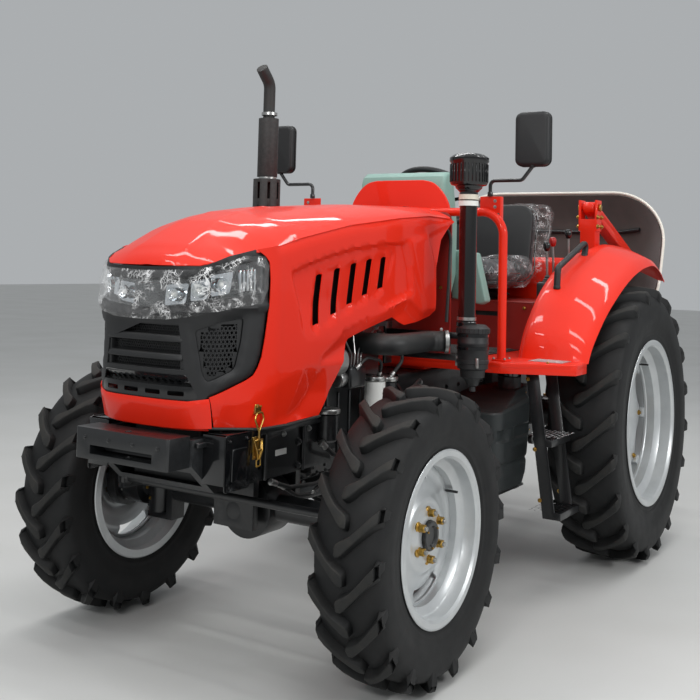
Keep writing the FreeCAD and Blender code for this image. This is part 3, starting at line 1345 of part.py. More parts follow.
def hood_section(row, low=None, inset=0.0, drop=0.0):
    """Section of the hood at one place: a crowned strip, or with low a closed shape down to that height."""
    x, half, seam, crown = row
    half -= inset
    seam, crown = seam - drop, crown - drop
    x = hood_x(x)
    a, b, c = Vector(x, -half, seam), Vector(x, 0, crown), Vector(x, half, seam)
    edges = [arc_through(a, b, c)]
    if low is None:
        step = Vector(0, 0, -size.hood_sheet)
        edges += [Part.LineSegment(c, c + step).toShape(), arc_through(c + step, b + step, a + step),
                  Part.LineSegment(a + step, a).toShape()]
    else:
        d, e = Vector(x, half, low), Vector(x, -half, low)
        edges += [Part.LineSegment(p, q).toShape() for p, q in ((c, d), (d, e), (e, a))]
    return Part.Wire(edges)


def hood_top():
    skin = Part.makeLoft([hood_section(row) for row in HOOD_SECTIONS], True, True)
    pivot = Vector(body_x - size.hood_hinge_x, -size.hinge_half_width, size.hood_hinge_z)
    barrel = Part.makeCylinder(size.hinge_barrel_radius, size.hinge_half_width * 2, pivot, Vector(0, 1, 0))
    tab = Part.makeBox(size.hood_hinge_x - size.hood_rear + 20, size.hinge_half_width * 2, 6, pivot + Vector(0, 0, 1))
    hole = Part.makeCylinder(size.hinge_pin_radius + size.running_gap, size.hinge_half_width * 2 + 2,
                             pivot - Vector(0, 1, 0), Vector(0, 1, 0))
    node("hood_top", formed(skin.multiFuse([barrel, tab]).cut(hole), "Top"))


# columns: x from the front axle, height; from the seam's rear end down, under the arch and on to the nose
HOOD_EDGE = (
    (-885, 1529),
    (-808, 1439),
    (-768, 1316),
    (-743, 1142),
    (-531, 1106),
    (-432, 1134),
    (-186, 1088),
    (-75, 1012),
    (72, 822),
    (350, 822),
)
# columns: x and height of a vent's upper end, x and height of its lower end
HOOD_VENTS = (
    (76, 1295, 105, 1126),
    (-39, 1316, -12, 1158),
    (-149, 1335, -121, 1190),
    (-258, 1351, -227, 1220),
    (-361, 1360, -339, 1243),
)


def hood_sides():
    drop = size.hood_sheet + size.running_gap
    top = [(row[0], row[2] - drop) for row in HOOD_SECTIONS[4:-1]]
    y = size.hood_half_width - 2

    def sheet_piece(places, start, depth):
        face = Part.Face(wire([Vector(hood_x(x), start, z) for x, z in places]))
        return face.extrude(Vector(0, -depth, 0))

    panel = sheet_piece(top + list(HOOD_EDGE), y, size.hood_sheet)
    half = size.vent_width / 2
    vents = [sheet_piece([(x0 - half, z0), (x0 + half, z0), (x1 + half, z1), (x1 - half, z1)], y + 1,
                         size.hood_sheet + 2) for x0, z0, x1, z1 in HOOD_VENTS]
    left = formed(panel.cut(Part.makeCompound(vents)), "Side")
    node("hood_sides", compound(left, mirror(left)))


def cells(start, end, count):
    """Ends of the openings of one row, with a bar between neighbours."""
    pitch = (end - start + size.grille_bar) / count
    return [(start + i * pitch, start + (i + 1) * pitch - size.grille_bar) for i in range(int(count))]


def nose():
    drop = size.hood_sheet + size.running_gap
    rows = HOOD_SECTIONS[:5]
    outer = Part.makeLoft([hood_section(row, size.band_low, 0, drop) for row in rows], True, True)
    wall = size.grille_wall
    inner_rows = [(row[0] - wall * (1 if row[0] > 600 else 0.6 if row[0] > 500 else 0.2), *row[1:]) for row in rows]
    inner_rows[-1] = (rows[-1][0] - 1, *rows[-1][1:])
    inner = Part.makeLoft([hood_section(row, size.band_low - 60, wall, -60) for row in inner_rows], True, True)
    shell = outer.cut(inner)

    def slab(low, high, x0=0.0, x1=900.0, half=400.0):
        """Block across the nose between two heights and two stations."""
        return Part.makeBox(x1 - x0, half * 2, high - low, Vector(front_x + x0, -half, low))

    gap = size.running_gap
    node("nose_band", formed(shell.common(slab(size.band_low - 1, size.band_high)), "Band"))
    frame = shell.common(slab(size.band_high + gap, 1600)).cut(slab(size.lamp_low, size.lamp_high, size.lamp_back))
    slots = []
    side_end = size.side_slot_x + size.side_slot_length
    for low, high in cells(size.grille_slot_low, size.grille_slot_high, size.grille_rows):
        for left, right in cells(-size.grille_slot_half, size.grille_slot_half, size.grille_columns):
            slots.append(Part.makeBox(200, right - left, high - low, Vector(front_x + 560, left, low)))
        for rear, front in cells(size.side_slot_x, side_end, size.side_columns):
            slots.append(slab(low, high, rear, front))
    node("grille", formed(frame.cut(Part.makeCompound(slots)), "Grille"))
    lamps = shell.common(slab(size.lamp_low + gap, size.lamp_high - gap, size.lamp_back + gap))
    middle = slab(size.lamp_low - 1, size.lamp_high + 1, 500, 800, size.lamp_gap / 2)
    node("headlamps", formed(lamps.cut(middle), "Lamps"))


for build in (front_frame, weight_bracket, power_train, cooling, front_axle, knuckle, tie_rod, platform, fender,
              grab_handles, front_arch, mirrors, bulkhead, dashboard, steering_wheel, seat, side_controls,
              side_boxes, steps, air_intake, exhaust, rops_frame, rops_hoop, canopy, linkage, rear_fittings,
              hood_top, hood_sides, nose):
    build()
    doc.recompute()
for end, x, z, track in (("front", front_x, front_z, size.front_track), ("rear", rear_x, rear_z, size.rear_track)):
    for side in ("left", "right"):
        wheel(end, side, x, z, track)
doc.recompute()

for thing in doc.Objects:
    if "Invalid" in thing.State or "Error" in thing.State:
        raise RuntimeError(f"{thing.Label} did not build: {thing.State}")
for label, thing in NODES.items():
    if thing.Shape.isNull() or not thing.Shape.isValid() or not thing.Shape.Solids:
        raise RuntimeError(f"{label} has no sound solid")
os.makedirs("parts", exist_ok=True)
for label, thing in NODES.items():
    thing.Shape.exportStep(f"parts/{label}.step")
print(len(NODES), "nodes")
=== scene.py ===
import math

import bmesh
import bpy
import numpy as np
from mathutils import Matrix, Vector, noise
from mathutils.geometry import delaunay_2d_cdt
from mathutils.kdtree import KDTree


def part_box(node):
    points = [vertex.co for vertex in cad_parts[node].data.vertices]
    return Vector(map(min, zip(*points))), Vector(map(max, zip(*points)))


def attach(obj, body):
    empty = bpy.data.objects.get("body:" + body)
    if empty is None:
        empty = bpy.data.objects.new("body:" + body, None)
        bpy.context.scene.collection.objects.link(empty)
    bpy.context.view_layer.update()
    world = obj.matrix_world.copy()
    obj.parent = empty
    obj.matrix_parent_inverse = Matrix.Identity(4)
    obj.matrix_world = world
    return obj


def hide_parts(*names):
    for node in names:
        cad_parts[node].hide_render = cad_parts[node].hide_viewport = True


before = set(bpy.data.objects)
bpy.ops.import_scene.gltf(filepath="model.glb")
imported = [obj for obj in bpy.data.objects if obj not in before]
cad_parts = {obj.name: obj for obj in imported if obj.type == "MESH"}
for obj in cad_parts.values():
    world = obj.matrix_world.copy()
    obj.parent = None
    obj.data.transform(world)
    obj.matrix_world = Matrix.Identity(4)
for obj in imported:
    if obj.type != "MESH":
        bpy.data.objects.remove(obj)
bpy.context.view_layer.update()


# places taken from the frame
def middle(node):
    low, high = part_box(node)
    return (low + high) / 2


frontAxle, rearAxle = middle("rim_front_left"), middle("rim_rear_left")
frontX, rearX = frontAxle.x, rearAxle.x
print("frame: front axle at", round(frontX, 4), "rear axle at", round(rearX, 4))


def ahead(x, y, z):  # a spot measured from the ground under the front axle
    return Vector((frontX + x, y, z))


# small steps that many builders share
def outward(shape):  # normals
    bmesh.ops.recalc_face_normals(shape, faces=shape.faces)


def vertsOf(geometry):
    return [g for g in geometry if isinstance(g, bmesh.types.BMVert)]


def edgesOf(geometry):
    return [g for g in geometry if isinstance(g, bmesh.types.BMEdge)]


def flip(shape):  # to the tractor's other side
    bmesh.ops.scale(shape, vec=(1, -1, 1), verts=shape.verts)
    bmesh.ops.reverse_faces(shape, faces=shape.faces)


def asMesh(shape, name):
    mesh = bpy.data.meshes.new(name)
    shape.to_mesh(mesh)
    shape.free()
    return mesh


def addObject(name, data):
    thing = bpy.data.objects.new(name, data)
    bpy.context.scene.collection.objects.link(thing)
    return thing


def span(way, near, far):  # two places on one side of the tractor, the lower first
    return sorted((way * near, way * far))


def circle(radius, count, shift=0.0):  # places evenly round a circle
    angles = [math.tau * (i + shift) / count for i in range(count)]
    return [(radius * math.cos(a), radius * math.sin(a)) for a in angles]


# small shapes, each joined to a piece's own bmesh
def join(piece, shape, finish=0, turns=(None,)):  # at several turns about Y where they are given, in radians
    for face in shape.faces:
        face.material_index = face.material_index if finish is None else finish
    mesh = asMesh(shape, "shape")
    for turn in turns:
        before = len(piece.verts)
        piece.from_mesh(mesh)
        if turn is not None:
            piece.verts.ensure_lookup_table()
            bmesh.ops.rotate(piece, cent=(0, 0, 0), matrix=Matrix.Rotation(turn, 3, "Y"),
                             verts=piece.verts[before:])
    bpy.data.meshes.remove(mesh)


def soften(shape, edge, angle=30, segments=2):
    sharp = [e for e in shape.edges if e.is_manifold and e.calc_face_angle() > math.radians(angle)]
    if edge and sharp:
        bmesh.ops.bevel(shape, geom=sharp, offset=edge, segments=segments, profile=0.5, affect="EDGES",
                        material=-1, clamp_overlap=True)


def put(shape, turn, spot):
    bmesh.ops.transform(shape, matrix=Matrix.Translation(spot) @ turn.to_4x4(), verts=shape.verts)


def aim(direction):  # turn that carries Z to a direction
    return Vector(direction).to_track_quat("Z", "Y").to_matrix()


def block(piece, low, high, edge=0.003, finish=0, turn=None, segments=2):
    low, high = Vector(low), Vector(high)
    shape = bmesh.new()
    bmesh.ops.create_cube(shape, size=1)
    bmesh.ops.scale(shape, vec=high - low, verts=shape.verts)
    soften(shape, edge, segments=segments)
    put(shape, turn or Matrix.Identity(3), (low + high) / 2)
    join(piece, shape, finish)


def rod(piece, start, end, radius, finish=0, sides=20, edge=0.0015, endRadius=None):
    start, end = Vector(start), Vector(end)
    shape = bmesh.new()
    bmesh.ops.create_cone(shape, cap_ends=True, segments=sides, radius1=radius,
                          radius2=radius if endRadius is None else endRadius, depth=(end - start).length)
    soften(shape, edge, angle=50)
    put(shape, aim(end - start), (start + end) / 2)
    join(piece, shape, finish)


# (along, radius)
def turned(piece, profile, centre=(0, 0, 0), axis=(0, 0, 1), finish=0, steps=32, closed=False):
    shape = bmesh.new()
    spots = [shape.verts.new((radius, 0, along)) for along, radius in profile]
    edges = [shape.edges.new(pair) for pair in zip(spots, spots[1:] + (spots[:1] if closed else []))]
    bmesh.ops.spin(shape, geom=spots + edges, cent=(0, 0, 0), axis=(0, 0, 1), angle=math.tau, steps=steps,
                   use_merge=True)
    bmesh.ops.remove_doubles(shape, verts=shape.verts, dist=1e-6)
    outward(shape)
    put(shape, aim(axis), Vector(centre))
    join(piece, shape, finish)


# clamp or band round a pipe
def collar(piece, spot, low, high, radius, thick, finish, steps=36, axis=(0, 0, 1)):
    turned(piece, [(low, radius), (low, radius + thick), (high, radius + thick), (high, radius)], spot, axis,
           finish,
           steps, True)


def rounded(points, bend, steps=6):  # a route with its corners rounded
    points = [Vector(p) for p in points]
    route = [points[0]]
    for before, corner, after in zip(points, points[1:], points[2:]):
        back, onward = (before - corner).normalized(), (after - corner).normalized()
        half = back.angle(onward) / 2
        if half > math.radians(89) or not bend:
            route.append(corner)
            continue
        reach = min(bend / math.tan(half), (before - corner).length * 0.48, (after - corner).length * 0.48)
        centre = corner + (back + onward).normalized() * (reach / math.cos(half))
        start = corner + back * reach - centre
        for step in range(steps + 1):
            swing = Matrix.Rotation((math.pi - half * 2) * step / steps, 3, onward.cross(back))
            route.append(centre + swing @ start)
    return route + [points[-1]]


def sweep(piece, points, radius, bend=0.03, finish=0, sides=14, steps=6, squash=1.0):  # round bar or hose
    route = rounded(points, bend, steps)
    shape = bmesh.new()
    ring = bmesh.ops.create_circle(shape, segments=sides, radius=radius)["verts"]
    bmesh.ops.scale(shape, vec=(1, squash, 1), verts=ring)
    heading = (route[1] - route[0]).normalized()
    put(shape, aim(heading), route[0])
    edges = list(shape.edges)
    for i, spot in enumerate(route[1:], 1):
        grown = bmesh.ops.extrude_edge_only(shape, edges=edges)["geom"]
        fresh = vertsOf(grown)
        edges = edgesOf(grown)
        onward = (route[i + 1] - route[i
                                       - 1]).normalized() if i + 1 < len(route) else (spot
                                                                                      - route[i - 1]).normalized()
        turn = heading.rotation_difference(onward).to_matrix()
        bmesh.ops.rotate(shape, cent=route[i - 1], matrix=turn, verts=fresh)
        bmesh.ops.translate(shape, vec=spot - route[i - 1], verts=fresh)
        heading = onward
    bmesh.ops.holes_fill(shape, edges=shape.edges)
    outward(shape)
    join(piece, shape, finish)


planes = {"xz": lambda u, v, w: (u, w, v), "yz": lambda u, v, w: (w, u, v), "xy": lambda u, v, w: (u, v, w)}


# flat outline made thick
def plate(piece, outline, low, high, plane="xz", edge=0.002, finish=0, segments=2, angle=30):
    shape = bmesh.new()
    spot = planes[plane]
    face = shape.faces.new([shape.verts.new(spot(u, v, low)) for u, v in outline])
    grown = bmesh.ops.extrude_face_region(shape, geom=[face])["geom"]
    bmesh.ops.translate(shape, vec=Vector(spot(0, 0, high - low)),
                        verts=vertsOf(grown))
    outward(shape)
    soften(shape, edge, segments=segments, angle=angle)
    join(piece, shape, finish)


def arcOutline(centre, radius, start, end, steps):  # points along an arc in a plate's plane, in degrees
    turns = [math.radians(start + (end - start) * i / steps) for i in range(steps + 1)]
    return [(centre[0] + radius * math.cos(a), centre[1] + radius * math.sin(a)) for a in turns]


def bolt(piece, spot, axis, size=0.012, finish=0, washer=True):
    spot, axis = Vector(spot), Vector(axis).normalized()
    if washer:
        rod(piece, spot, spot + axis * size * 0.2, size * 1.25, finish, 16, 0)
    rod(piece, spot, spot + axis * size * 0.85, size, finish, 6, size * 0.08)
    rod(piece, spot, spot + axis * size * 1.25, size * 0.55, finish, 10, size * 0.08)


def fromNode(node, edge=0.003, angle=30):  # a node's solid with its hard edges softened
    shape = bmesh.new()
    shape.from_mesh(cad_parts[node].data)
    bmesh.ops.remove_doubles(shape, verts=shape.verts, dist=1e-5)
    bmesh.ops.dissolve_limit(shape, angle_limit=math.radians(1), verts=shape.verts, edges=shape.edges)
    soften(shape, edge, angle)
    return shape


def mirrored(shape):  # adds the same shape on the tractor's other side
    copy = bmesh.ops.duplicate(shape, geom=shape.verts[:] + shape.edges[:] + shape.faces[:])["geom"]
    bmesh.ops.scale(shape, vec=(1, -1, 1), verts=vertsOf(copy))
    bmesh.ops.reverse_faces(shape, faces=[g for g in copy if isinstance(g, bmesh.types.BMFace)])


def make(name, shape, body, finishes, replaces=(), smooth=35):
    mesh = asMesh(shape, name)
    for material in finishes:
        mesh.materials.append(material)
    mesh.polygons.foreach_set("use_smooth", [True] * len(mesh.polygons))
    mesh.set_sharp_from_angle(angle=math.radians(smooth))
    thing = addObject(name, mesh)
    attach(thing, body)
    if replaces:
        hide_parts(*replaces)
    return thing


def modified(thing, kind, **settings):
    modifier = thing.modifiers.new(kind.title(), kind)
    for key, value in settings.items():
        setattr(modifier, key, value)
    return modifier


def chamfer(thing, width, segments, angle):
    modified(thing, "BEVEL", width=width, segments=segments, limit_method="ANGLE",
             angle_limit=math.radians(angle))


def applied(thing):  # modifiers made part of the mesh
    bpy.context.view_layer.update()
    ready = bpy.data.meshes.new_from_object(thing.evaluated_get(bpy.context.evaluated_depsgraph_get()))
    thing.modifiers.clear()
    thing.data = ready
    return thing


# finishes: effects that several materials share are node groups, the shaders stay in the materials
def linear(code):  # a web colour as linear light
    parts = [int(code[i:i + 2], 16) / 255 for i in (0, 2, 4)]
    return tuple(c / 12.92 if c <= 0.04045 else ((c + 0.055) / 1.055) ** 2.4 for c in parts) + (1.0,)


def add(tree, kind, links=None, **values):  # a node with its values and what feeds it
    made = tree.nodes.new("ShaderNode" + kind)
    for key, value in values.items():
        setattr(made, key, value)
    for socket, source in (links or {}).items():
        socket = made.inputs[socket]
        if isinstance(source, bpy.types.NodeSocket):
            tree.links.new(source, socket)
        else:
            socket.default_value = source
    return made


def effect(name, inputs, outputs):  # an empty group with named sockets
    tree = bpy.data.node_groups.new(name, "ShaderNodeTree")
    for socket, (kind, value) in inputs.items():
        tree.interface.new_socket(socket, in_out="INPUT",
                                  socket_type="NodeSocket" + kind).default_value = value
    for socket, kind in outputs.items():
        tree.interface.new_socket(socket, in_out="OUTPUT", socket_type="NodeSocket" + kind)
    return tree, tree.nodes.new("NodeGroupInput").outputs, tree.nodes.new("NodeGroupOutput").inputs


def maths(tree, operation, *sources):
    return add(tree, "Math", dict(enumerate(sources)), operation=operation).outputs[0]


def times(tree, *sources):
    return maths(tree, "MULTIPLY", *sources)


# cloud noise with features of a size in metres
def noiseAt(tree, coordinates, size, detail=3.0, roughness=0.5):
    scale = maths(tree, "DIVIDE", 1.0, size)
    return add(tree, "TexNoise", {"Vector": coordinates, "Scale": scale, "Detail": detail,
                                  "Roughness": roughness}).outputs[0]


def ramp(tree, value, low, high, start=0.0, end=1.0):
    return add(tree, "MapRange", {0: value, 1: low, 2: high, 3: start, 4: end}).outputs[0]


def blendColours(tree, factor, first, second):
    mix = add(tree, "Mix", {"Factor": factor, 6: first, 7: second}, data_type="RGBA")
    return mix.outputs[2]


def objectSpace(tree):
    return tree.nodes.new("ShaderNodeTexCoord").outputs["Object"]


def newMaterial(name):
    material = bpy.data.materials.new(name)
    material.use_nodes = True
    return material, material.node_tree, material.node_tree.nodes["Principled BSDF"].inputs


def patinaEffect():  # patchy colour, dust that settles on top and wear along edges
    tree, given, wanted = effect("patina", {
        "Colour": ("Color", (0.5, 0.5, 0.5, 1)), "Patch colour": ("Color", (0.4, 0.4, 0.4, 1)),
        "Patch size": ("Float", 0.2), "Patch amount": ("Float", 0.5),
        "Dust colour": ("Color", (0.4, 0.38, 0.35, 1)),
        "Dust amount": ("Float", 0.1), "Wear colour": ("Color", (0.5, 0.5, 0.5, 1)),
        "Wear amount": ("Float", 0.0),
        "Roughness": ("Float", 0.5), "Roughness spread": ("Float", 0.1)},
        {"Colour": "Color", "Roughness": "Float", "Dust": "Float"})
    where = objectSpace(tree)
    surface = tree.nodes.new("ShaderNodeNewGeometry").outputs
    patches = ramp(tree, noiseAt(tree, where, given["Patch size"], 4.0), 0.35, 0.68)
    colour = blendColours(tree, times(tree, patches, given["Patch amount"]), given["Colour"],
                          given["Patch colour"])
    upward = add(tree, "SeparateXYZ", {0: surface["Normal"]}).outputs["Z"]
    settled = times(tree, ramp(tree, upward, -0.1, 0.95), ramp(tree, noiseAt(tree, where, 0.12, 5.0, 0.6),
                                                               0.25, 0.75))
    dust = times(tree, settled, given["Dust amount"])
    colour = blendColours(tree, dust, colour, given["Dust colour"])
    rubbed = times(tree, ramp(tree, surface["Pointiness"], 0.53, 0.62),
                   ramp(tree, noiseAt(tree, where, 0.012, 3.0), 0.42, 0.6))
    colour = blendColours(tree, times(tree, rubbed, given["Wear amount"]), colour, given["Wear colour"])
    cloudy = maths(tree, "SUBTRACT", noiseAt(tree, where, 0.06, 4.0), 0.5)
    rough = maths(tree, "MULTIPLY_ADD", cloudy, given["Roughness spread"], given["Roughness"])
    tree.links.new(colour, wanted["Colour"])
    tree.links.new(maths(tree, "ADD", rough, times(tree, dust, 0.3)), wanted["Roughness"])
    tree.links.new(dust, wanted["Dust"])
    return tree


def mouldGrainEffect():  # pebbled skin of moulded plastic, vinyl and rubber
    tree, given, wanted = effect("mould grain", {"Size": ("Float", 0.002), "Softness": ("Float", 0.5)},
                                 {"Height": "Float"})
    where = objectSpace(tree)
    scale = maths(tree, "DIVIDE", 1.0, given["Size"])
    cells = add(tree, "TexVoronoi", {"Vector": where, "Scale": scale, "Smoothness": given["Softness"]},
                feature="SMOOTH_F1").outputs["Distance"]
    fine = noiseAt(tree, where, times(tree, given["Size"], 0.6), 2.0)
    tree.links.new(maths(tree, "MULTIPLY_ADD", fine, 0.4, cells), wanted["Height"])
    return tree


def paintSkinEffect():  # orange peel of sprayed paint with a slow waviness of the panel below
    tree, given, wanted = effect("paint skin", {"Peel size": ("Float", 0.004), "Waviness": ("Float", 0.6)},
                                 {"Height": "Float"})
    where = objectSpace(tree)
    peel = noiseAt(tree, where, given["Peel size"], 1.0)
    wave = times(tree, noiseAt(tree, where, 0.16, 1.0), given["Waviness"])
    tree.links.new(maths(tree, "ADD", peel, times(tree, wave, 10.0)), wanted["Height"])
    return tree


def castSkinEffect():  # sand-cast iron under thick paint
    tree, given, wanted = effect("cast skin", {"Size": ("Float", 0.006)}, {"Height": "Float"})
    where = objectSpace(tree)
    lumps = noiseAt(tree, where, given["Size"], 5.0, 0.65)
    swell = noiseAt(tree, where, times(tree, given["Size"], 9.0), 2.0)
    tree.links.new(maths(tree, "MULTIPLY_ADD", swell, 1.5, lumps), wanted["Height"])
    return tree


def crumpleEffect():  # creases of clear film, with a mask of painted highlights along the folds
    tree, given, wanted = effect("crumple", {"Fold size": ("Float", 0.05)},
                                 {"Height": "Float", "Painted crease highlight": "Float"})
    where = objectSpace(tree)
    bent = add(tree, "Mix", {"Factor": 0.12, 4: where, 5: add(tree, "TexNoise", {
        "Vector": where, "Scale": 9.0}).outputs["Color"]}, data_type="VECTOR").outputs[1]
    folds = add(tree, "TexVoronoi", {"Vector": bent, "Scale": maths(tree, "DIVIDE", 1.0, given["Fold size"])},
                feature="DISTANCE_TO_EDGE").outputs["Distance"]
    small = add(tree, "TexVoronoi", {"Vector": bent, "Scale": maths(tree, "DIVIDE", 2.7, given["Fold size"])},
                feature="DISTANCE_TO_EDGE").outputs["Distance"]
    patch = ramp(tree, noiseAt(tree, where, times(tree, given["Fold size"], 1.6), 2.0), 0.46, 0.60)
    thin = maths(tree, "MAXIMUM", ramp(tree, folds, 0.0, 0.035, 1.0, 0.0),
                 ramp(tree, small, 0.0, 0.05, 0.8, 0.0))
    pulled = add(tree, "Mapping", {"Vector": bent, "Rotation": (0.5, 0.9, 0.4),
                                   "Scale": (1.0, 5.5, 1.0)}).outputs[0]
    streak = ramp(tree, noiseAt(tree, pulled, given["Fold size"], 4.0, 0.65), 0.60, 0.67)
    # white lines along the folds and pulled streaks are painted highlights
    paintedHighlight = times(tree, maths(tree, "MAXIMUM", thin, streak), patch)
    tree.links.new(maths(tree, "MULTIPLY_ADD", small, 0.5, folds), wanted["Height"])
    tree.links.new(paintedHighlight, wanted["Painted crease highlight"])
    return tree


def mould(size, softness):  # settings of the mould grain
    return {"skin": "mould", "skinValues": {"Size": size, "Softness": softness}}


effects = {"patina": patinaEffect(), "mould": mouldGrainEffect(), "peel": paintSkinEffect(),
           "cast": castSkinEffect(), "crumple": crumpleEffect()}


def use(tree, name, values):
    made = tree.nodes.new("ShaderNodeGroup")
    made.node_tree = effects[name]
    for socket, value in values.items():
        made.inputs[socket].default_value = value
    return made.outputs


def finish(name, colour, patch=None, patchSize=0.2, patchAmount=0.4, dust=0.05, dustColour="8d877c", wear=0.0,
           wearColour="8a8a88", rough=0.4, spread=0.12, skin="peel", skinValues=None, bump=0.1, depth=0.0005,
           **sockets):
    material, tree, surface = newMaterial(name)
    looks = use(tree, "patina", {
        "Colour": linear(colour), "Patch colour": linear(patch or colour), "Patch size": patchSize,
        "Patch amount": patchAmount, "Dust colour": linear(dustColour), "Dust amount": dust,
        "Wear colour": linear(wearColour), "Wear amount": wear, "Roughness": rough,
        "Roughness spread": spread})
    height = use(tree, skin, skinValues or {})["Height"]
    bumped = add(tree, "Bump", {"Strength": bump, "Distance": depth, "Height": height})
    tree.links.new(looks["Colour"], surface["Base Color"])
    tree.links.new(looks["Roughness"], surface["Roughness"])
    tree.links.new(bumped.outputs["Normal"], surface["Normal"])
    for socket, value in sockets.items():
        surface[socket.replace("_", " ")].default_value = value
    return material


gloss = {"Coat_Weight": 0.38, "Coat_Roughness": 0.04}
hoodPaint = finish("hood paint", "e62606", "da1e03", 0.5, 0.5, 0.01, rough=0.5, spread=0.06, bump=0.08,
                   depth=0.0005, Specular_IOR_Level=0.22, **gloss)
# a darker copy of the hood's red: painted shade for the sheets under the dash and the seat
shadedRed = finish("red paint in painted shade", "8f1a12", "7a150f", dust=0.03, rough=0.4, bump=0.12, Coat_Weight=0.3)
satinBlack = finish("satin black paint", "0d0e10", "121315", 0.3, 0.5, 0.025, "4b4945", wear=0.15,
                    wearColour="55585b",
                    rough=0.34, spread=0.10, bump=0.12, depth=0.0006,
                    skinValues={"Peel size": 0.004, "Waviness": 0.1},
                    Coat_Weight=0.4, Coat_Roughness=0.15)
castDark = finish("dark casting", "0e1012", "141618", 0.25, 0.6, 0.03, "504d48", wear=0.15,
                  wearColour="55585b",
                  rough=0.42, spread=0.15, skin="cast", bump=0.3, depth=0.0011, Coat_Weight=0.35,
                  Coat_Roughness=0.2)
wheelSilver = finish("silver wheel paint", "c9cccd", "b6babc", 0.07, 0.5, 0.12, "a39c90", wear=0.1,
                     wearColour="8c8c8a", rough=0.36, spread=0.14, bump=0.18, depth=0.0006, Metallic=0.55,
                     Coat_Weight=0.3)
tyreRubber = finish("tyre rubber", "161718", "1e1e1e", 0.05, 0.7, 0.06, "5c574f", rough=0.62, spread=0.2,
                    bump=0.2, depth=0.0006, Specular_IOR_Level=0.3, **mould(0.0025, 0.6))
# lighter lug-land rubber: partly scuffs and dust, partly a painted sheen
lugRubber = finish("lug rubber", "212222", "2c2b29", 0.03, 0.8, 0.14, "6b655b", rough=0.7, spread=0.25,
                   skin="cast", skinValues={"Size": 0.004}, bump=0.4, depth=0.001, Specular_IOR_Level=0.3)
blackPlastic = finish("grained black plastic", "131416", "191a1b", 0.1, 0.5, 0.03, rough=0.5, spread=0.12,
                      bump=0.35, depth=0.0005, **mould(0.0016, 0.4))
glossBlack = finish("gloss black plastic", "0b0c0e", "101113", dust=0.03, rough=0.16, spread=0.08, bump=0.04,
                    **gloss)
tankPlastic = finish("blow-moulded plastic", "1f2425", "262b2c", 0.12, 0.7, 0.05, rough=0.46, spread=0.14,
                     bump=0.3, depth=0.0007, **mould(0.0022, 0.6))
sagePlastic = finish("sage plastic", "82a59b", "7a9c92", 0.08, 0.5, 0.05, rough=0.5, bump=0.3, depth=0.0004,
                     **mould(0.0014, 0.4))
seatVinyl = finish("seat vinyl", "3a3b3e", "333437", 0.05, 0.5, 0.06, rough=0.48, bump=0.4, depth=0.0006,
                   Sheen_Weight=0.1, **mould(0.0018, 0.5))
canopyCream = finish("moulded shell", "e6e2d8", "d9d4c8", 0.2, 0.5, 0.1, "b0a894", rough=0.38, bump=0.12,
                     Coat_Weight=0.2)
canopyLining = finish("canopy lining", "463c39", "3a322f", 0.09, 0.7, 0.05, rough=0.85, bump=0.5,
                      depth=0.001, Sheen_Weight=0.3, **mould(0.003, 0.8))
chrome = finish("lamp reflector", "dfe3e6", "c6ccd1", 0.03, 0.4, 0.0, rough=0.1, spread=0.08, bump=0.04,
                Metallic=1.0)
zincGold = finish("yellow zinc plate", "c39a45", "9a7a3c", 0.008, 0.7, 0.05, wear=0.3, rough=0.3, spread=0.2,
                  bump=0.15, Metallic=0.95)
brightSteel = finish("machined steel", "b3b3b1", "8f8f8d", 0.02, 0.6, 0.05, wear=0.2, wearColour="d8d8d6",
                     rough=0.3, spread=0.18, bump=0.15, Metallic=0.95)
mirrorGlass = finish("mirror glass", "e8ecee", "e2e6e8", dust=0.02, rough=0.04, spread=0.03, bump=0.01,
                     Metallic=1.0)
heatBlack = finish("heat-proof black", "1d1d1d", "262423", 0.06, 0.7, 0.1, wear=0.2, rough=0.6, spread=0.2,
                   skin="cast", skinValues={"Size": 0.002}, bump=0.25, depth=0.0005)
hoseRubber = finish("hose rubber", "18191a", "202122", 0.04, 0.6, 0.1, rough=0.5, bump=0.25, depth=0.0004,
                    **mould(0.0015, 0.7))
redLens = finish("red lamp lens", "b81410", "9c0f0c", 0.02, 0.4, 0.02, rough=0.12, spread=0.04, bump=0.05,
                 Coat_Weight=0.6, Transmission_Weight=0.2)
amberLens = finish("amber lamp lens", "e07a10", "cf6c0c", 0.02, 0.4, 0.02, rough=0.12, spread=0.04, bump=0.05,
                   Coat_Weight=0.6, Transmission_Weight=0.2)
bandCream = finish("painted band", "e2dccb", "d2cab6", 0.01, 0.6, 0.05, rough=0.4, bump=0.1)
coreFins = finish("cooler fins", "3c3d40", "2c2d2f", 0.03, 0.6, 0.1, rough=0.5, bump=0.3, Metallic=0.6)
dialFace = finish("dial face", "101214", "16181a", dust=0.0, rough=0.3, bump=0.02, Coat_Weight=0.5)
signalWhite = finish("pale marking", "e8e8e4", "dcdcd6", 0.02, 0.3, 0.02, rough=0.4, bump=0.05)


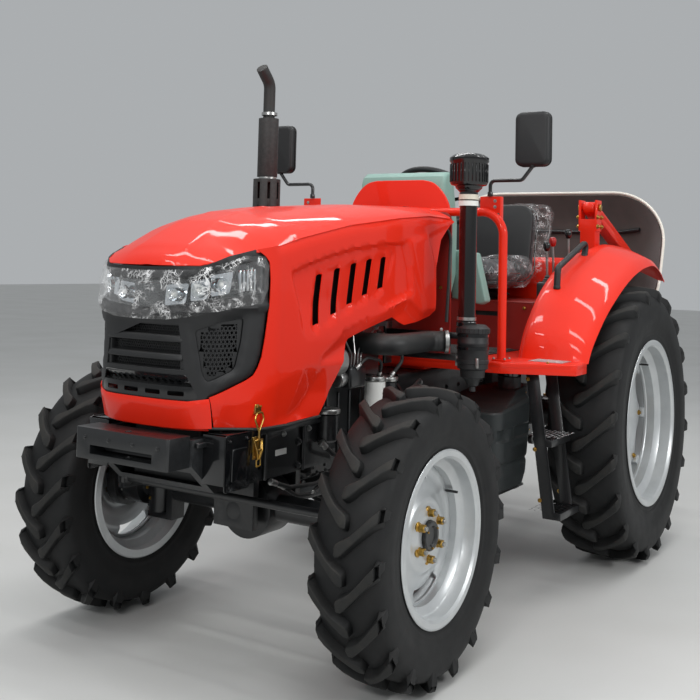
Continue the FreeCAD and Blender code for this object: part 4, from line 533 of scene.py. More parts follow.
# glass or film that shows what is behind; its white opacity rises at glancing angles as a painted reflection
def clearFinish(name, tint, alpha, rough, foldSize, bump, depth, creaseHighlight, rimReflection):
    material, tree, surface = newMaterial(name)
    creases = use(tree, "crumple", {"Fold size": foldSize})
    # facing weight: more opaque white towards the rim, a painted reflection
    rim = add(tree, "LayerWeight", {"Blend": 0.35}).outputs["Facing"]
    # white along the film's folds adds opacity as painted highlights
    cover = maths(tree, "ADD", ramp(tree, rim, 0.0, 1.0, alpha, alpha + rimReflection),
                  times(tree, creases["Painted crease highlight"], creaseHighlight))
    bumped = add(tree, "Bump", {"Strength": bump, "Distance": depth, "Height": creases["Height"]})
    tree.links.new(cover, surface["Alpha"])
    tree.links.new(bumped.outputs["Normal"], surface["Normal"])
    tree.links.new(use(tree, "patina", {"Colour": linear(tint), "Patch colour": linear(tint),
                                        "Roughness": rough,
                                        "Roughness spread": 0.03, "Dust amount": 0.02})["Colour"],
                   surface["Base Color"])
    surface["Roughness"].default_value = rough
    surface["Coat Weight"].default_value = 1.0
    surface["Coat Roughness"].default_value = rough / 2
    return material


lampLens = clearFinish("clear lamp lens", "eef2f4", 0.02, 0.05, 0.3, 0.02, 0.001, 0.0, 0.18)
clearFilm = clearFinish("clear film", "ffffff", 0.0, 0.08, 0.030, 0.6, 0.004, 0.75, 0.14)


def chequerFinish(name, colour, metallic, rough, wear, size=0.026):  # raised lozenges in two directions
    material = finish(name, colour, dust=0.12, rough=rough, wear=wear, Metallic=metallic)
    tree = material.node_tree
    where = objectSpace(tree)
    heights = []
    for turn, shift in ((math.pi / 4, 0.0), (-math.pi / 4, 0.5)):
        placed = add(tree, "Mapping", {"Vector": where, "Rotation": (0, 0, turn), "Scale": (1 / size,) * 3,
                                       "Location": (shift, shift, 0)}).outputs[0]
        axes = add(tree, "SeparateXYZ",
                   {0: add(tree, "VectorMath", {0: placed}, operation="FRACTION").outputs[0]})
        along = maths(tree, "ABSOLUTE", maths(tree, "SUBTRACT", axes.outputs["X"], 0.5))
        across = maths(tree, "ABSOLUTE", maths(tree, "SUBTRACT", axes.outputs["Y"], 0.5))
        heights.append(ramp(tree, maths(tree, "ADD", along, times(tree, across, 3.2)), 0.30, 0.40, 1.0, 0.0))
    raised = maths(tree, "MAXIMUM", *heights)
    bumped = next(n for n in tree.nodes if n.type == "BUMP")
    bumped.inputs["Strength"].default_value = 0.8
    bumped.inputs["Distance"].default_value = 0.002
    tree.links.new(raised, bumped.inputs["Height"])
    return material


chequerSilver = chequerFinish("bright chequer plate", "b9babb", 0.8, 0.35, 0.1)
print("finishes:", len(bpy.data.materials))


# wheels: a turned carcass, lugs set round it by half pitches, a turned rim with its disc, nuts and valve
tyre = {
    "front": {"radius": 0.4725, "width": 0.241, "lugs": 18, "lugHeight": 0.030, "sweep": 0.118,
              "thick": 0.034,
              "bead": 0.2545, "rimWidth": 0.203},
    "rear": {"radius": 0.630, "width": 0.315, "lugs": 20, "lugHeight": 0.035, "sweep": 0.135, "thick": 0.038,
             "bead": 0.356, "rimWidth": 0.279},
}


def lugBar(size, side):  # one bar from the rounded nose near the middle to the shoulder, then down the side
    radius, half = size["radius"], size["width"] / 2
    base = radius - size["lugHeight"]
    # share of the half width, share of the sweep, drop of the top, share of the thickness
    stations = ((-0.13, -0.02, 0.004, 0.72), (-0.09, 0.0, 0.0015, 1.12), (0.02, 0.05, 0.0, 1.30),
                (0.14, 0.13, 0.0, 1.16),
                (0.30, 0.27, 0.001, 0.96), (0.55, 0.52, 0.003, 0.98), (0.80, 0.80, 0.008, 1.10),
                (0.965, 0.98, 0.015, 1.22), (1.035, 1.05, 0.034, 1.12), (1.03, 1.10, 0.060, 0.86),
                (1.0, 1.13, 0.085, 0.5))
    shape = bmesh.new()
    rings = []
    for across, sweep, drop, thick in stations:
        y = side * across * half * 0.968
        lead = sweep * size["sweep"] / radius
        wide = size["thick"] * thick / 2
        top = radius - drop
        foot = max(base - 0.012 - drop * 1.15, size["bead"] + 0.03) if across < 1 else top - 0.018
        foot = min(foot, top - 0.012)
        ring = []
        for turn, reach in ((1.5, foot), (1.0, top - 0.003), (0.8, top), (-0.8, top), (-1.0, top - 0.003),
                            (-1.5, foot)):
            inward = 0.0 if reach > foot + 0.001 else -side * (0.016 if across > 0.99 else 0.0)
            angle = lead + turn * wide / radius
            ring.append(shape.verts.new((reach * math.cos(angle), y + inward, reach * math.sin(angle))))
        rings.append(ring)
    for near, far in zip(rings, rings[1:]):
        loops = [[shape.edges.get((a, b)) or shape.edges.new((a, b))
                  for a, b in zip(ring, ring[1:] + ring[:1])]
                 for ring in (near, far)]
        bmesh.ops.bridge_loops(shape, edges=loops[0] + loops[1])
    for ring in (rings[0], rings[-1]):
        bmesh.ops.contextual_create(shape, geom=ring)
    outward(shape)
    return shape


def buildTyre(name, end, side, node, body):
    size = tyre[end]
    radius, half = size["radius"], size["width"] / 2
    base, inner, seat = radius - size["lugHeight"], size["bead"], size["rimWidth"] / 2 - 0.0008
    crown = base - inner
    piece = bmesh.new()
    # half profile: distance from the middle, radius
    profile = [(0, base), (0.35 * half, base - 0.001), (0.62 * half, base - 0.005),
               (0.82 * half, base - 0.013),
               (0.93 * half, base - 0.024), (0.975 * half, base - 0.040),
               (0.985 * half, inner + 0.70 * crown),
               (0.985 * half, inner + 0.58 * crown), (0.965 * half, inner + 0.44 * crown),
               (0.945 * half, inner + 0.42 * crown), (0.94 * half, inner + 0.34 * crown),
               (0.925 * half, inner + 0.325 * crown), (0.90 * half, inner + 0.24 * crown),
               (0.90 * half, inner + 0.215 * crown), (0.88 * half, inner + 0.20 * crown),
               (max(0.84 * half, seat * 1.005), inner + 0.030), (seat, inner + 0.026), (seat, inner + 0.006),
               (seat - 0.006, inner)]
    whole = [(y, r) for y, r in profile] + [(0, inner)] + [(-y, r) for y, r in reversed(profile[1:])]
    turned(piece, whole, axis=(0, 1, 0), steps=96, closed=True)
    pitch = math.tau / size["lugs"]
    for way, shift in ((1, -0.25), (-1, 0.25)):  # halves staggered by half a pitch, as the solids are
        bar = lugBar(size, way)
        soften(bar, 0.003, 40, 2)
        join(piece, bar, 1, [-(1.5 * math.pi + (count + shift) * pitch) for count in range(size["lugs"])])
    # only the outer lands of the lugs carry the lighter rubber, partly scuffs and dust, partly a painted sheen
    for face in [f for f in piece.faces if f.material_index == 1]:
        spot = face.calc_center_median()
        reach = math.hypot(spot.x, spot.z)
        outward = Vector((spot.x, 0, spot.z)).normalized().dot(face.normal)
        if outward < 0.45 or reach < radius - 0.04:
            face.material_index = 0
    placeWheel(piece, node, side)
    return make(name, piece, body, [tyreRubber, lugRubber], [node], 42)


def rings(shape, radii, steps=96):  # flat rings grown outwards from a circle
    bmesh.ops.create_circle(shape, segments=steps, radius=radii[0])
    edges = list(shape.edges)
    for near, far in zip(radii, radii[1:]):
        grown = bmesh.ops.extrude_edge_only(shape, edges=edges)["geom"]
        edges = edgesOf(grown)
        bmesh.ops.scale(shape, vec=(far / near, far / near, 1),
                        verts=vertsOf(grown))


def dishLevel(dish, reach):  # smooth steps between (radius, height) spots
    for (r0, z0), (r1, z1) in zip(dish, dish[1:]):
        if reach <= r1:
            share = max(0.0, (reach - r0) / (r1 - r0))
            return z0 + (z1 - z0) * share * share * (3 - 2 * share)
    return dish[-1][1]


frontDisc = {"radii": (0.049, 0.060, 0.072, 0.080, 0.092, 0.104, 0.112, 0.120, 0.130, 0.145, 0.160, 0.176,
                       0.190,
                       0.200, 0.212, 0.222),
             "dish": ((0.0, 0.014), (0.084, 0.014), (0.094, 0.005), (0.112, 0.005), (0.136, -0.012),
                      (0.192, -0.026),
                      (0.205, -0.020), (0.225, -0.020)),
             "windows": (278, 104), "windowSpan": 46, "windowIn": 0.176, "windowOut": 0.212, "plate": 0.007,
             "offset": 0.032, "nuts": 6, "nutCircle": 0.0735}
rearDisc = {"radii": (0.060, 0.090, 0.120, 0.150, 0.165, 0.180, 0.195, 0.210, 0.225, 0.240, 0.255, 0.270),
            "dish": ((0.0, 0.012), (0.150, 0.012), (0.240, 0.056), (0.270, 0.058)), "plate": 0.010,
            "offset": -0.070,
            "nuts": 8, "nutCircle": 0.102, "clamps": 8}


def buildDisc(piece, disc):
    shape = bmesh.new()
    rings(shape, disc["radii"])
    gaps = []
    for face in shape.faces:
        spot = face.calc_center_median()
        turn = math.degrees(math.atan2(spot.y, spot.x))
        for window in disc.get("windows", ()):
            away = abs((turn - window + 180) % 360 - 180)
            if disc["windowIn"] < spot.to_2d().length < disc["windowOut"] and away < disc["windowSpan"] / 2:
                gaps.append(face)
    bmesh.ops.delete(shape, geom=gaps, context="FACES")
    for vert in shape.verts:
        reach = vert.co.to_2d().length
        vert.co.z = dishLevel(disc["dish"], reach)
        if disc.get("clamps") and reach > 0.262:  # ears where the clamps are bolted
            wave = 0.5 + 0.5 * math.cos(disc["clamps"] * math.atan2(vert.co.y, vert.co.x))
            vert.co.xy = vert.co.xy.normalized() * (0.262 + 0.034 * wave)
    bmesh.ops.solidify(shape, geom=shape.faces[:], thickness=disc["plate"])
    outward(shape)
    soften(shape, 0.0018, 50, 2)
    put(shape, Matrix.Rotation(math.radians(-90), 3, "X"), Vector((0, disc["offset"], 0)))
    join(piece, shape, 0)


def placeWheel(piece, node, side):
    if side < 0:
        flip(piece)
    bmesh.ops.translate(piece, vec=middle(node), verts=piece.verts)


def buildFrontRim(name, side, node, body):
    piece = bmesh.new()
    half, wall, bead, well, flange = 0.1015, 0.006, 0.254, 0.226, 0.279
    outline = [(-half - wall, flange - 0.004), (-half - wall / 2, flange), (-half, flange - 0.004),
               (-half, bead + 0.004),
               (-half + 0.004, bead), (-half + 0.035, bead), (-half + 0.050, well), (half - 0.062, well),
               (half - 0.045, bead), (half - 0.004, bead), (half, bead + 0.004), (half, flange - 0.004),
               (half + 0.003, flange), (half + 0.005, flange - 0.001), (half + 0.007, flange - 0.006),
               (half + 0.006, flange - 0.010), (half + wall, bead + 0.002), (half - 0.002, bead - wall),
               (half - 0.040, bead - wall), (half - 0.046, bead - 0.010), (half - 0.058, well - wall),
               (-half + 0.048, well - wall), (-half + 0.033, bead - wall), (-half - wall, bead - wall)]
    turned(piece, outline, axis=(0, 1, 0), steps=96, closed=True)
    buildDisc(piece, frontDisc)
    turned(piece, [(-0.016, 0.206), (-0.004, 0.2195), (0.010, 0.2205), (0.002, 0.210), (-0.010, 0.204)],
           axis=(0, 1, 0), steps=96, closed=True)  # weld between disc and rim
    turned(piece, [(-0.023, 0.0), (-0.023, 0.094), (0.018, 0.096), (0.018, 0.0)], axis=(0, 1, 0), finish=1,
           steps=48)  # hub flange behind the disc
    turned(piece, [(0.0, 0.0485), (0.062, 0.0475), (0.066, 0.044), (0.066, 0.033), (0.060, 0.029),
                   (0.060, 0.0)],
           axis=(0, 1, 0), finish=2, steps=48)  # hub cap in the middle hole
    for turn in (0.5, 2.6, 4.7):
        bolt(piece, (0.038 * math.cos(turn), 0.066, 0.038 * math.sin(turn)), (0, 1, 0), 0.004, 3,
             washer=False)
    nut = bmesh.new()
    seat = Vector((frontDisc["nutCircle"], frontDisc["offset"] + 0.014, 0))
    turned(nut, [(0.0, 0.019), (0.004, 0.019), (0.008, 0.013), (0.008, 0.0)], seat, (0, 1, 0), 3, 20)
    rod(nut, seat, seat + Vector((0, 0.026, 0)), 0.0135, 3, 6, 0.0015)
    rod(nut, seat, seat + Vector((0, 0.034, 0)), 0.0075, 4, 14, 0.0012)
    join(piece, nut, None, [math.tau * (count + 0.5) / frontDisc["nuts"]
                            for count in range(frontDisc["nuts"])])
    valve = Vector((0.210 * math.cos(2.6), 0.020, 0.210 * math.sin(2.6)))
    rod(piece, valve, valve + Vector((0, 0.045, 0)), 0.0045, 2, 12)
    placeWheel(piece, node, side)
    return make(name, piece, body, [wheelSilver, satinBlack, castDark, zincGold,
                                                    brightSteel], [node], 35)


def buildRearRim(name, side, node, body):
    piece = bmesh.new()
    half, wall, bead, well, flange = 0.1395, 0.007, 0.3556, 0.326, 0.381
    outline = [(-half - wall, flange - 0.005), (-half - wall / 2, flange), (-half, flange - 0.005),
               (-half, bead + 0.004),
               (-half + 0.004, bead), (-half + 0.040, bead), (-half + 0.058, well), (half - 0.080, well),
               (half - 0.060, bead), (half - 0.004, bead), (half, bead + 0.004), (half, flange - 0.005),
               (half + 0.003, flange), (half + 0.006, flange - 0.001), (half + 0.008, flange - 0.007),
               (half + 0.007, flange - 0.012), (half + wall, bead + 0.002), (half - 0.003, bead - wall),
               (half - 0.052, bead - wall), (half - 0.058, bead - 0.012), (half - 0.074, well - wall),
               (half - 0.110, well - wall), (half - 0.114, well - wall - 0.004),
               (half - 0.124, well - wall - 0.004),
               (half - 0.128, well - wall), (-half + 0.056, well - wall), (-half + 0.038, bead - wall),
               (-half - wall, bead - wall)]
    turned(piece, outline, axis=(0, 1, 0), steps=112, closed=True)
    buildDisc(piece, rearDisc)
    hubEnd = 0.5755 - rearAxle.y  # where the axle housing stops
    turned(piece, [(hubEnd, 0.0), (hubEnd, 0.118), (-0.060, 0.118), (-0.060, 0.0)], axis=(0, 1, 0), finish=1,
           steps=48)
    turned(piece, [(-0.058, 0.090), (-0.030, 0.082), (-0.012, 0.064), (-0.008, 0.0)], axis=(0, 1, 0),
           finish=2, steps=48)
    nut = bmesh.new()
    seat = Vector((rearDisc["nutCircle"], rearDisc["offset"] + 0.012, 0))
    rod(nut, seat, seat + Vector((0, 0.004, 0)), 0.021, 3, 20)
    rod(nut, seat, seat + Vector((0, 0.026, 0)), 0.0155, 3, 6, 0.0018)
    rod(nut, seat, seat + Vector((0, 0.038, 0)), 0.009, 3, 14, 0.0012)
    join(piece, nut, None, [math.tau * (count + 0.5) / rearDisc["nuts"] for count in range(rearDisc["nuts"])])
    clamp = bmesh.new()
    out = rearDisc["offset"] + 0.058
    block(clamp, (0.266, out - 0.014, -0.030), (0.3205, out - 0.002, 0.030), 0.003, 0)
    block(clamp, (0.298, out - 0.050, -0.024), (0.3205, out + 0.028, 0.024), 0.005, 0)
    bolt(clamp, (0.280, out + 0.006, 0), (0, 1, 0), 0.013, 3)
    join(piece, clamp, None, [math.tau * count / rearDisc["clamps"] for count in range(rearDisc["clamps"])])
    valve = Vector((0.305 * math.cos(2.2), 0.030, 0.305 * math.sin(2.2)))
    rod(piece, valve, valve + Vector((0, 0.045, 0)), 0.0045, 2, 12)
    placeWheel(piece, node, side)
    return make(name, piece, body, [wheelSilver, satinBlack, castDark, zincGold], [node], 35)


for side, label in ((1, "left"), (-1, "right")):
    buildTyre(f"tyreFront_{label}", "front", side, f"tyre_front_{label}", f"wheel_front_{label}")
    buildTyre(f"tyreRear_{label}", "rear", side, f"tyre_rear_{label}", f"wheel_rear_{label}")
    buildFrontRim(f"rimFront_{label}", side, f"rim_front_{label}", f"wheel_front_{label}")
    buildRearRim(f"rimRear_{label}", side, f"rim_rear_{label}", f"wheel_rear_{label}")
print("wheels done")


# sheet panels: a flat outline filled with small cells, pressed in and out by its features, then wrapped
# round the nose
hood = {
    # half plan of hood and nose seen from above: distance from the front axle, half width
    "plan": ((0.640, 0.0), (0.639, 0.06), (0.634, 0.12), (0.614, 0.185), (0.570, 0.243), (0.50, 0.270),
             (0.43, 0.292),
             (0.35, 0.308)),
    # how far the nose stands back at each height, in its middle
    "lean": ((0.80, -0.040), (0.826, -0.034), (0.90, -0.012), (0.93, -0.010), (1.00, -0.004), (1.15, 0.0),
             (1.25, -0.003), (1.32, -0.012), (1.38, -0.022), (1.50, -0.03)),
    "cell": 0.012, "skin": 0.003,
}


def curveThrough(points, steps=12):  # smooth line through points
    route = []
    padded = [points[0] * 2 - points[1]] + list(points) + [points[-1] * 2 - points[-2]]
    for before, start, end, after in zip(padded, padded[1:], padded[2:], padded[3:]):
        for step in range(steps):
            t = step / steps
            route.append(0.5 * (2 * start + (end - before) * t + (2 * before - 5 * start + 4 * end - after)
                                * t * t
                                + (3 * start - before - 3 * end + after) * t ** 3))
    return route + [points[-1]]


def between(table, value):  # straight interpolation in a table of pairs
    for (a, low), (b, high) in zip(table, table[1:]):
        if value <= b:
            return low + (high - low) * max(0.0, (value - a) / (b - a))
    return table[-1][1]


planPoints = [Vector((x, -y)) for x, y in hood["plan"][:0:-1]] + [Vector(p) for p in hood["plan"]]
planPoints[0:0] = [Vector((0.30, -0.308))]
planPoints.append(Vector((0.30, 0.308)))
planRoute = curveThrough(planPoints)
planRoute = [Vector((-1.2, -0.308))] + planRoute + [Vector((-1.2, 0.308))]
planReach = [0.0]
for near, far in zip(planRoute, planRoute[1:]):
    planReach.append(planReach[-1] + (far - near).length)
planMiddle = planReach[-1] / 2
planTable = [(reach - planMiddle, spot) for reach, spot in zip(planReach, planRoute)]
turnTable = [(abs(reach), spot.x) for reach, spot in planTable if reach >= 0]


def around(x):  # distance along the plan curve from the nose's middle to a place beside the hood
    for (near, a), (far, b) in zip(turnTable, turnTable[1:]):
        if x >= b:
            return near + (far - near) * (a - x) / (a - b) if a > b else near
    return turnTable[-1][0]


def wrap(along, z, out=0.0):  # flat place (along the plan curve, height, outwards) to its spot on the hood
    low, high = 0, len(planTable) - 1
    while high - low > 1:
        index = (low + high) // 2
        low, high = (index, high) if planTable[index][0] <= along else (low, index)
    (near, start), (far, end) = planTable[low], planTable[high]
    share = (along - near) / (far - near)
    spot = start.lerp(end, share)
    before = planTable[max(low - 1, 0)][1]
    after = planTable[min(high + 1, len(planTable) - 1)][1]
    heading = ((end - before).normalized().lerp((after - start).normalized(), share)).normalized()
    normal = Vector((heading.y, -heading.x))
    front = 1 - min(1.0, max(0.0, (abs(along) - 0.20) / 0.26))
    spot = spot + normal * (out + between(hood["lean"], z) * front * front * (3 - 2 * front))
    return ahead(spot.x, spot.y, z)


def evenly(points, step, closed):  # the same line with points no further apart than a step
    route = []
    for near, far in zip(points, list(points[1:]) + ([points[0]] if closed else [])):
        near, far = Vector(near), Vector(far)
        count = max(1, math.ceil((far - near).length / step - 0.01))
        route += [near.lerp(far, i / count) for i in range(count)]
    return route if closed else route + [Vector(points[-1])]


def nearestEdge(points, loop, closed=True):  # distance of each point to a line, positive inside a closed one
    points = np.asarray(points)
    inside = np.zeros(len(points), bool)
    best = np.full(len(points), 9.0)
    loop = [tuple(p) for p in loop]
    for (ax, ay), (bx, by) in zip(loop, loop[1:] + (loop[:1] if closed else [])):
        span = max((bx - ax) ** 2 + (by - ay) ** 2, 1e-12)
        share = np.clip(((points[:, 0] - ax) * (bx - ax) + (points[:, 1] - ay) * (by - ay)) / span, 0, 1)
        best = np.minimum(best, np.hypot(points[:, 0] - ax - share * (bx - ax),
                                         points[:, 1] - ay - share * (by - ay)))
        if ay != by:
            cross = (ay > points[:, 1]) != (by > points[:, 1])
            inside ^= cross & (points[:, 0] < (bx - ax) * (points[:, 1] - ay) / (by - ay) + ax)
    return np.where(inside, best, -best) if closed else best


def smoothStep(value):
    value = np.clip(value, 0, 1)
    return value * value * (3 - 2 * value)


# a flat sheet of small cells with exact edges and creases
def fillOutline(outline, holes=(), creases=(), cell=0.012):
    spots, edges = [], []
    for line, closed in [(outline, True)] + [(h, True) for h in holes] + [(c, False) for c in creases]:
        route = evenly(line, cell, closed)
        first = len(spots)
        spots += route
        edges += [(first + i, first + i + 1) for i in range(len(route) - 1)]
        if closed:
            edges.append((first + len(route) - 1, first))
    tree = KDTree(len(spots))
    for i, spot in enumerate(spots):
        tree.insert((spot.x, spot.y, 0), i)
    tree.balance()
    us, vs = zip(*outline)
    grid = [(u, v) for u in np.arange(min(us) + cell / 2, max(us), cell)
            for v in np.arange(min(vs) + cell / 2, max(vs), cell)]
    clear = nearestEdge(grid, outline) > 0
    spots += [Vector(p) for p, fits in zip(grid, clear)
              if fits and tree.find((p[0], p[1], 0))[2] > cell * 0.6]
    corners, _, faces, *_ = delaunay_2d_cdt(spots, edges, [], 0, 1e-6)
    centres = [sum((corners[i] for i in face), Vector((0, 0))) / len(face) for face in faces]
    wanted = nearestEdge(centres, outline) > 0
    for hole in holes:
        wanted &= nearestEdge(centres, hole) < 0
    shape = bmesh.new()
    verts = [shape.verts.new((p.x, p.y, 0)) for p in corners]
    for face, fits in zip(faces, wanted):
        if fits:
            shape.faces.new([verts[i] for i in face])
    bmesh.ops.delete(shape, geom=[v for v in shape.verts if not v.link_faces], context="VERTS")
    bmesh.ops.join_triangles(shape, faces=shape.faces, angle_face_threshold=3.2, angle_shape_threshold=1.2)
    return shape


def thicken(shape, skin):  # the sheet stays outside, a copy of it goes in by the skin
    shape.normal_update()
    inward = [(vert, vert.co - vert.normal * skin) for vert in shape.verts]
    bmesh.ops.extrude_face_region(shape, geom=shape.faces[:])
    for vert, spot in inward:
        vert.co = spot
    outward(shape)


def pressed(outline, relief=None, holes=(), creases=(), cell=0.012, skin=0.003, mapped=wrap, bothSides=False):
    shape = fillOutline(outline, holes, creases, cell)
    places = np.array([(v.co.x, v.co.y) for v in shape.verts])
    outs = relief(places) if relief else np.zeros(len(places))
    for vert, out in zip(shape.verts, outs):
        vert.co = mapped(vert.co.x, vert.co.y, float(out))
    if bothSides:
        mirrored(shape)
    thicken(shape, skin)
    return shape


def roundedLoop(points, radius, steps=4):  # closed flat outline with rounded corners
    loop = []
    count = len(points)
    for i in range(count):
        before, corner, after = Vector(points[i - 1]), Vector(points[i]), Vector(points[(i + 1) % count])
        back, onward = (before - corner), (after - corner)
        reach = min(radius, back.length * 0.45, onward.length * 0.45)
        start, end = corner + back.normalized() * reach, corner + onward.normalized() * reach
        loop += [tuple(start.lerp(corner, t).lerp(corner.lerp(end, t), t))
                 for t in (s / steps for s in range(steps + 1))]
    return loop


# hood: sides, top, nose band, black nose frame with grilles, lamps
side = {
    "seam": ((0.330, 1.391), (0.217, 1.419), (-0.094, 1.475), (-0.458, 1.517), (-0.707, 1.537),
             (-0.889, 1.534)),
    "rear": ((-0.917, 1.518), (-0.860, 1.480), (-0.808, 1.439), (-0.768, 1.316), (-0.753, 1.247),
             (-0.743, 1.142)),
    "lower": ((-0.723, 1.130), (-0.620, 1.108), (-0.531, 1.101), (-0.490, 1.112), (-0.432, 1.134),
              (-0.328, 1.115),
              (-0.186, 1.087), (-0.113, 1.069), (-0.075, 1.012), (-0.010, 0.922), (0.072, 0.822),
              (0.259, 0.814),
              (0.400, 0.816), (0.553, 0.826)),
    # along the plan curve and height, where the black nose frame meets the side
    "frame": ((0.249, 0.921), (0.302, 0.939), (0.379, 0.969), (0.405, 0.983), (0.421, 1.005), (0.436, 1.039),
              (0.448, 1.100), (0.455, 1.149), (0.463, 1.210), (0.465, 1.279), (0.458, 1.335), (0.440, 1.353),
              (0.405, 1.373)),
    "vents": (((0.076, 1.295), (0.105, 1.126)), ((-0.039, 1.316), (-0.012, 1.158)),
              ((-0.149, 1.335), (-0.121, 1.190)),
              ((-0.258, 1.351), (-0.227, 1.220)), ((-0.361, 1.360), (-0.339, 1.243))),
    "ventWidth": 0.026,
    "recess": ((0.098, 1.303), (0.060, 1.314), (-0.436, 1.378), (-0.400, 1.300), (-0.345, 1.228),
               (0.120, 1.100),
               (0.135, 1.115)),
    "brow": ((0.262, 1.300), (0.191, 1.322), (0.046, 1.356), (-0.121, 1.386), (-0.372, 1.411),
             (-0.500, 1.416),
             (-0.545, 1.330), (-0.560, 1.230), (-0.250, 1.130), (0.120, 1.040), (0.190, 1.100),
             (0.215, 1.200)),
    "arch": ((-0.060, 1.100), (-0.284, 1.150), (-0.529, 1.204), (-0.654, 1.148), (-0.760, 1.150)),
    "facet": ((0.575, 0.930), (0.546, 0.893), (0.447, 0.899), (0.375, 0.940), (0.266, 0.970), (0.174, 0.988),
              (0.050, 0.985)),
    "kink": ((0.174, 0.988), (0.215, 0.900), (0.262, 0.814)),
    "column": ((-0.519, 1.425), (-0.567, 1.334), (-0.640, 1.208), (-0.665, 1.150), (-0.753, 1.150),
               (-0.753, 1.265),
               (-0.745, 1.336), (-0.675, 1.455)),
    "rearPanel": ((-0.690, 1.450), (-0.762, 1.330), (-0.765, 1.240), (-0.86, 1.24), (-0.95, 1.50),
                  (-0.90, 1.51)),
}


def unrolled(points):
    return [(around(x), z) for x, z in points]


def ventSlots():
    slots = []
    for (topX, topZ), (lowX, lowZ) in side["vents"]:
        wide = side["ventWidth"] / 2
        corners = [(topX - wide, topZ + 0.004), (topX + wide, topZ - 0.004), (lowX + wide, lowZ - 0.004),
                   (lowX - wide, lowZ + 0.004)]
        slots.append(roundedLoop(unrolled(corners), 0.007, 2))
    return slots


def sideRelief(places):
    out = np.zeros(len(places))
    heights = places[:, 1]
    brow = nearestEdge(places, unrolled(side["brow"]))
    out -= 0.016 * smoothStep(brow / 0.014 + 0.5) * smoothStep((heights - 1.06) / 0.16)
    recess = nearestEdge(places, unrolled(side["recess"]))
    sunk = smoothStep(recess / 0.008 + 0.3)
    out -= 0.010 * sunk
    for (topX, topZ), (lowX, lowZ) in side["vents"]:  # each louvre leans out towards its slot
        slotX = topX + (lowX - topX) * (topZ - heights) / (topZ - lowZ)
        behind = places[:, 0] - (around(0) - slotX) - side["ventWidth"] / 2
        out += sunk * 0.010 * np.where((behind > -0.005) & (behind < 0.080), 1 - behind / 0.084, 0)
    below = nearestEdge(places, unrolled(side["arch"]) + [(around(-0.9), 1.0), (around(0.1), 1.0),
                                                          (around(-0.06), 1.09)])
    out -= 0.30 * np.clip(below, 0, 0.05) + 0.004 * smoothStep(below / 0.006)
    facet = unrolled(side["facet"]) + [(around(0.0), 0.70), (around(0.60), 0.70)]
    out -= 0.17 * np.clip(nearestEdge(places, facet), 0, 0.2)
    kink = unrolled(side["kink"]) + [(around(-0.2), 0.8), (around(-0.2), 0.988)]
    out -= 0.13 * np.clip(nearestEdge(places, kink), 0, 0.2)
    column = nearestEdge(places, unrolled(side["column"]))
    out += 0.007 * smoothStep(column / 0.014 + 0.5)
    out -= 0.007 * smoothStep(nearestEdge(places, unrolled(side["rearPanel"])) / 0.010 + 0.5)
    seam = nearestEdge(places, unrolled(side["seam"]), False)
    out -= 0.010 * (1 - smoothStep(seam / 0.05)) ** 2 + 0.004 * (1 - smoothStep(seam / 0.010))
    return out


def buildHoodSides():
    outline = (side["frame"] + tuple(unrolled(side["seam"])) + tuple(unrolled(side["rear"]))
               + tuple(unrolled(side["lower"])))
    creases = [unrolled(side["facet"])[1:], unrolled(side["kink"]), unrolled(side["arch"])[:-1]]
    shape = pressed(outline, sideRelief, ventSlots(), creases, 0.0115, hood["skin"], bothSides=True)
    thing = make("hoodSides", shape, "hood", [hoodPaint], ["hood_sides"], 40)
    chamfer(thing, 0.0009, 1, 60)
    # black plates behind the vent slots: painted shade for the dark inside of the hood
    ventShadeSheet = bmesh.new()
    for way in (1, -1):
        block(ventShadeSheet, ahead(-0.42, way * 0.266 - 0.002, 1.10), ahead(0.15, way * 0.266 + 0.002, 1.37), 0, 0)
    make("ventShadeBacking", ventShadeSheet, "hood", [blackPlastic])


top = {
    "edge": ((0.622, 0.0), (0.621, 0.06), (0.616, 0.12), (0.592, 0.190), (0.560, 0.226), (0.513, 0.250),
             (0.425, 0.287), (0.35, 0.299), (0.217, 0.302), (-0.094, 0.302), (-0.458, 0.302), (-0.707, 0.302),
             (-0.889, 0.302)),
    "edgeHeight": ((-0.93, 1.528), (-0.889, 1.534), (-0.707, 1.537), (-0.458, 1.517), (-0.094, 1.475),
                   (0.217, 1.419), (0.410, 1.371), (0.513, 1.350), (0.593, 1.318), (0.640, 1.314)),
    "crown": ((-0.93, 1.583), (-0.424, 1.565), (-0.07, 1.537), (0.10, 1.514), (0.25, 1.493), (0.38, 1.457),
              (0.45, 1.424), (0.54, 1.379), (0.590, 1.352), (0.608, 1.340), (0.623, 1.316)),
    "plateau": ((0.552, 0.0), (0.550, 0.105), (0.45, 0.095), (0.30, 0.068), (0.10, 0.035), (0.02, 0.0)),
    "plateauRise": 0.010,
}


def topSurface(x, y, out=0.0):
    outer = np.interp(x, *zip(*sorted(top["edge"])))
    share = min(1.0, abs(y) / max(outer, 0.02))
    low, high = between(top["edgeHeight"], x), between(top["crown"], x)
    power = 2.0 + 1.3 * min(1.0, max(0.0, (0.62 - x) / 0.3))
    fall = 1 - share ** power
    return ahead(x, y, low + (high - low) * fall + out)


def topRelief(places):
    folded = np.column_stack([places[:, 0], np.abs(places[:, 1])])
    plateau = nearestEdge(folded, list(top["plateau"]) + [(0.0, -0.2), (0.552, -0.2)])
    out = top["plateauRise"] * np.exp(-np.clip(-plateau, 0, 1) / 0.035)
    rim = nearestEdge(folded, [(x, y) for x, y in top["edge"] if x < 0.45], False)
    return out - 0.004 * (1 - smoothStep(rim / 0.008))


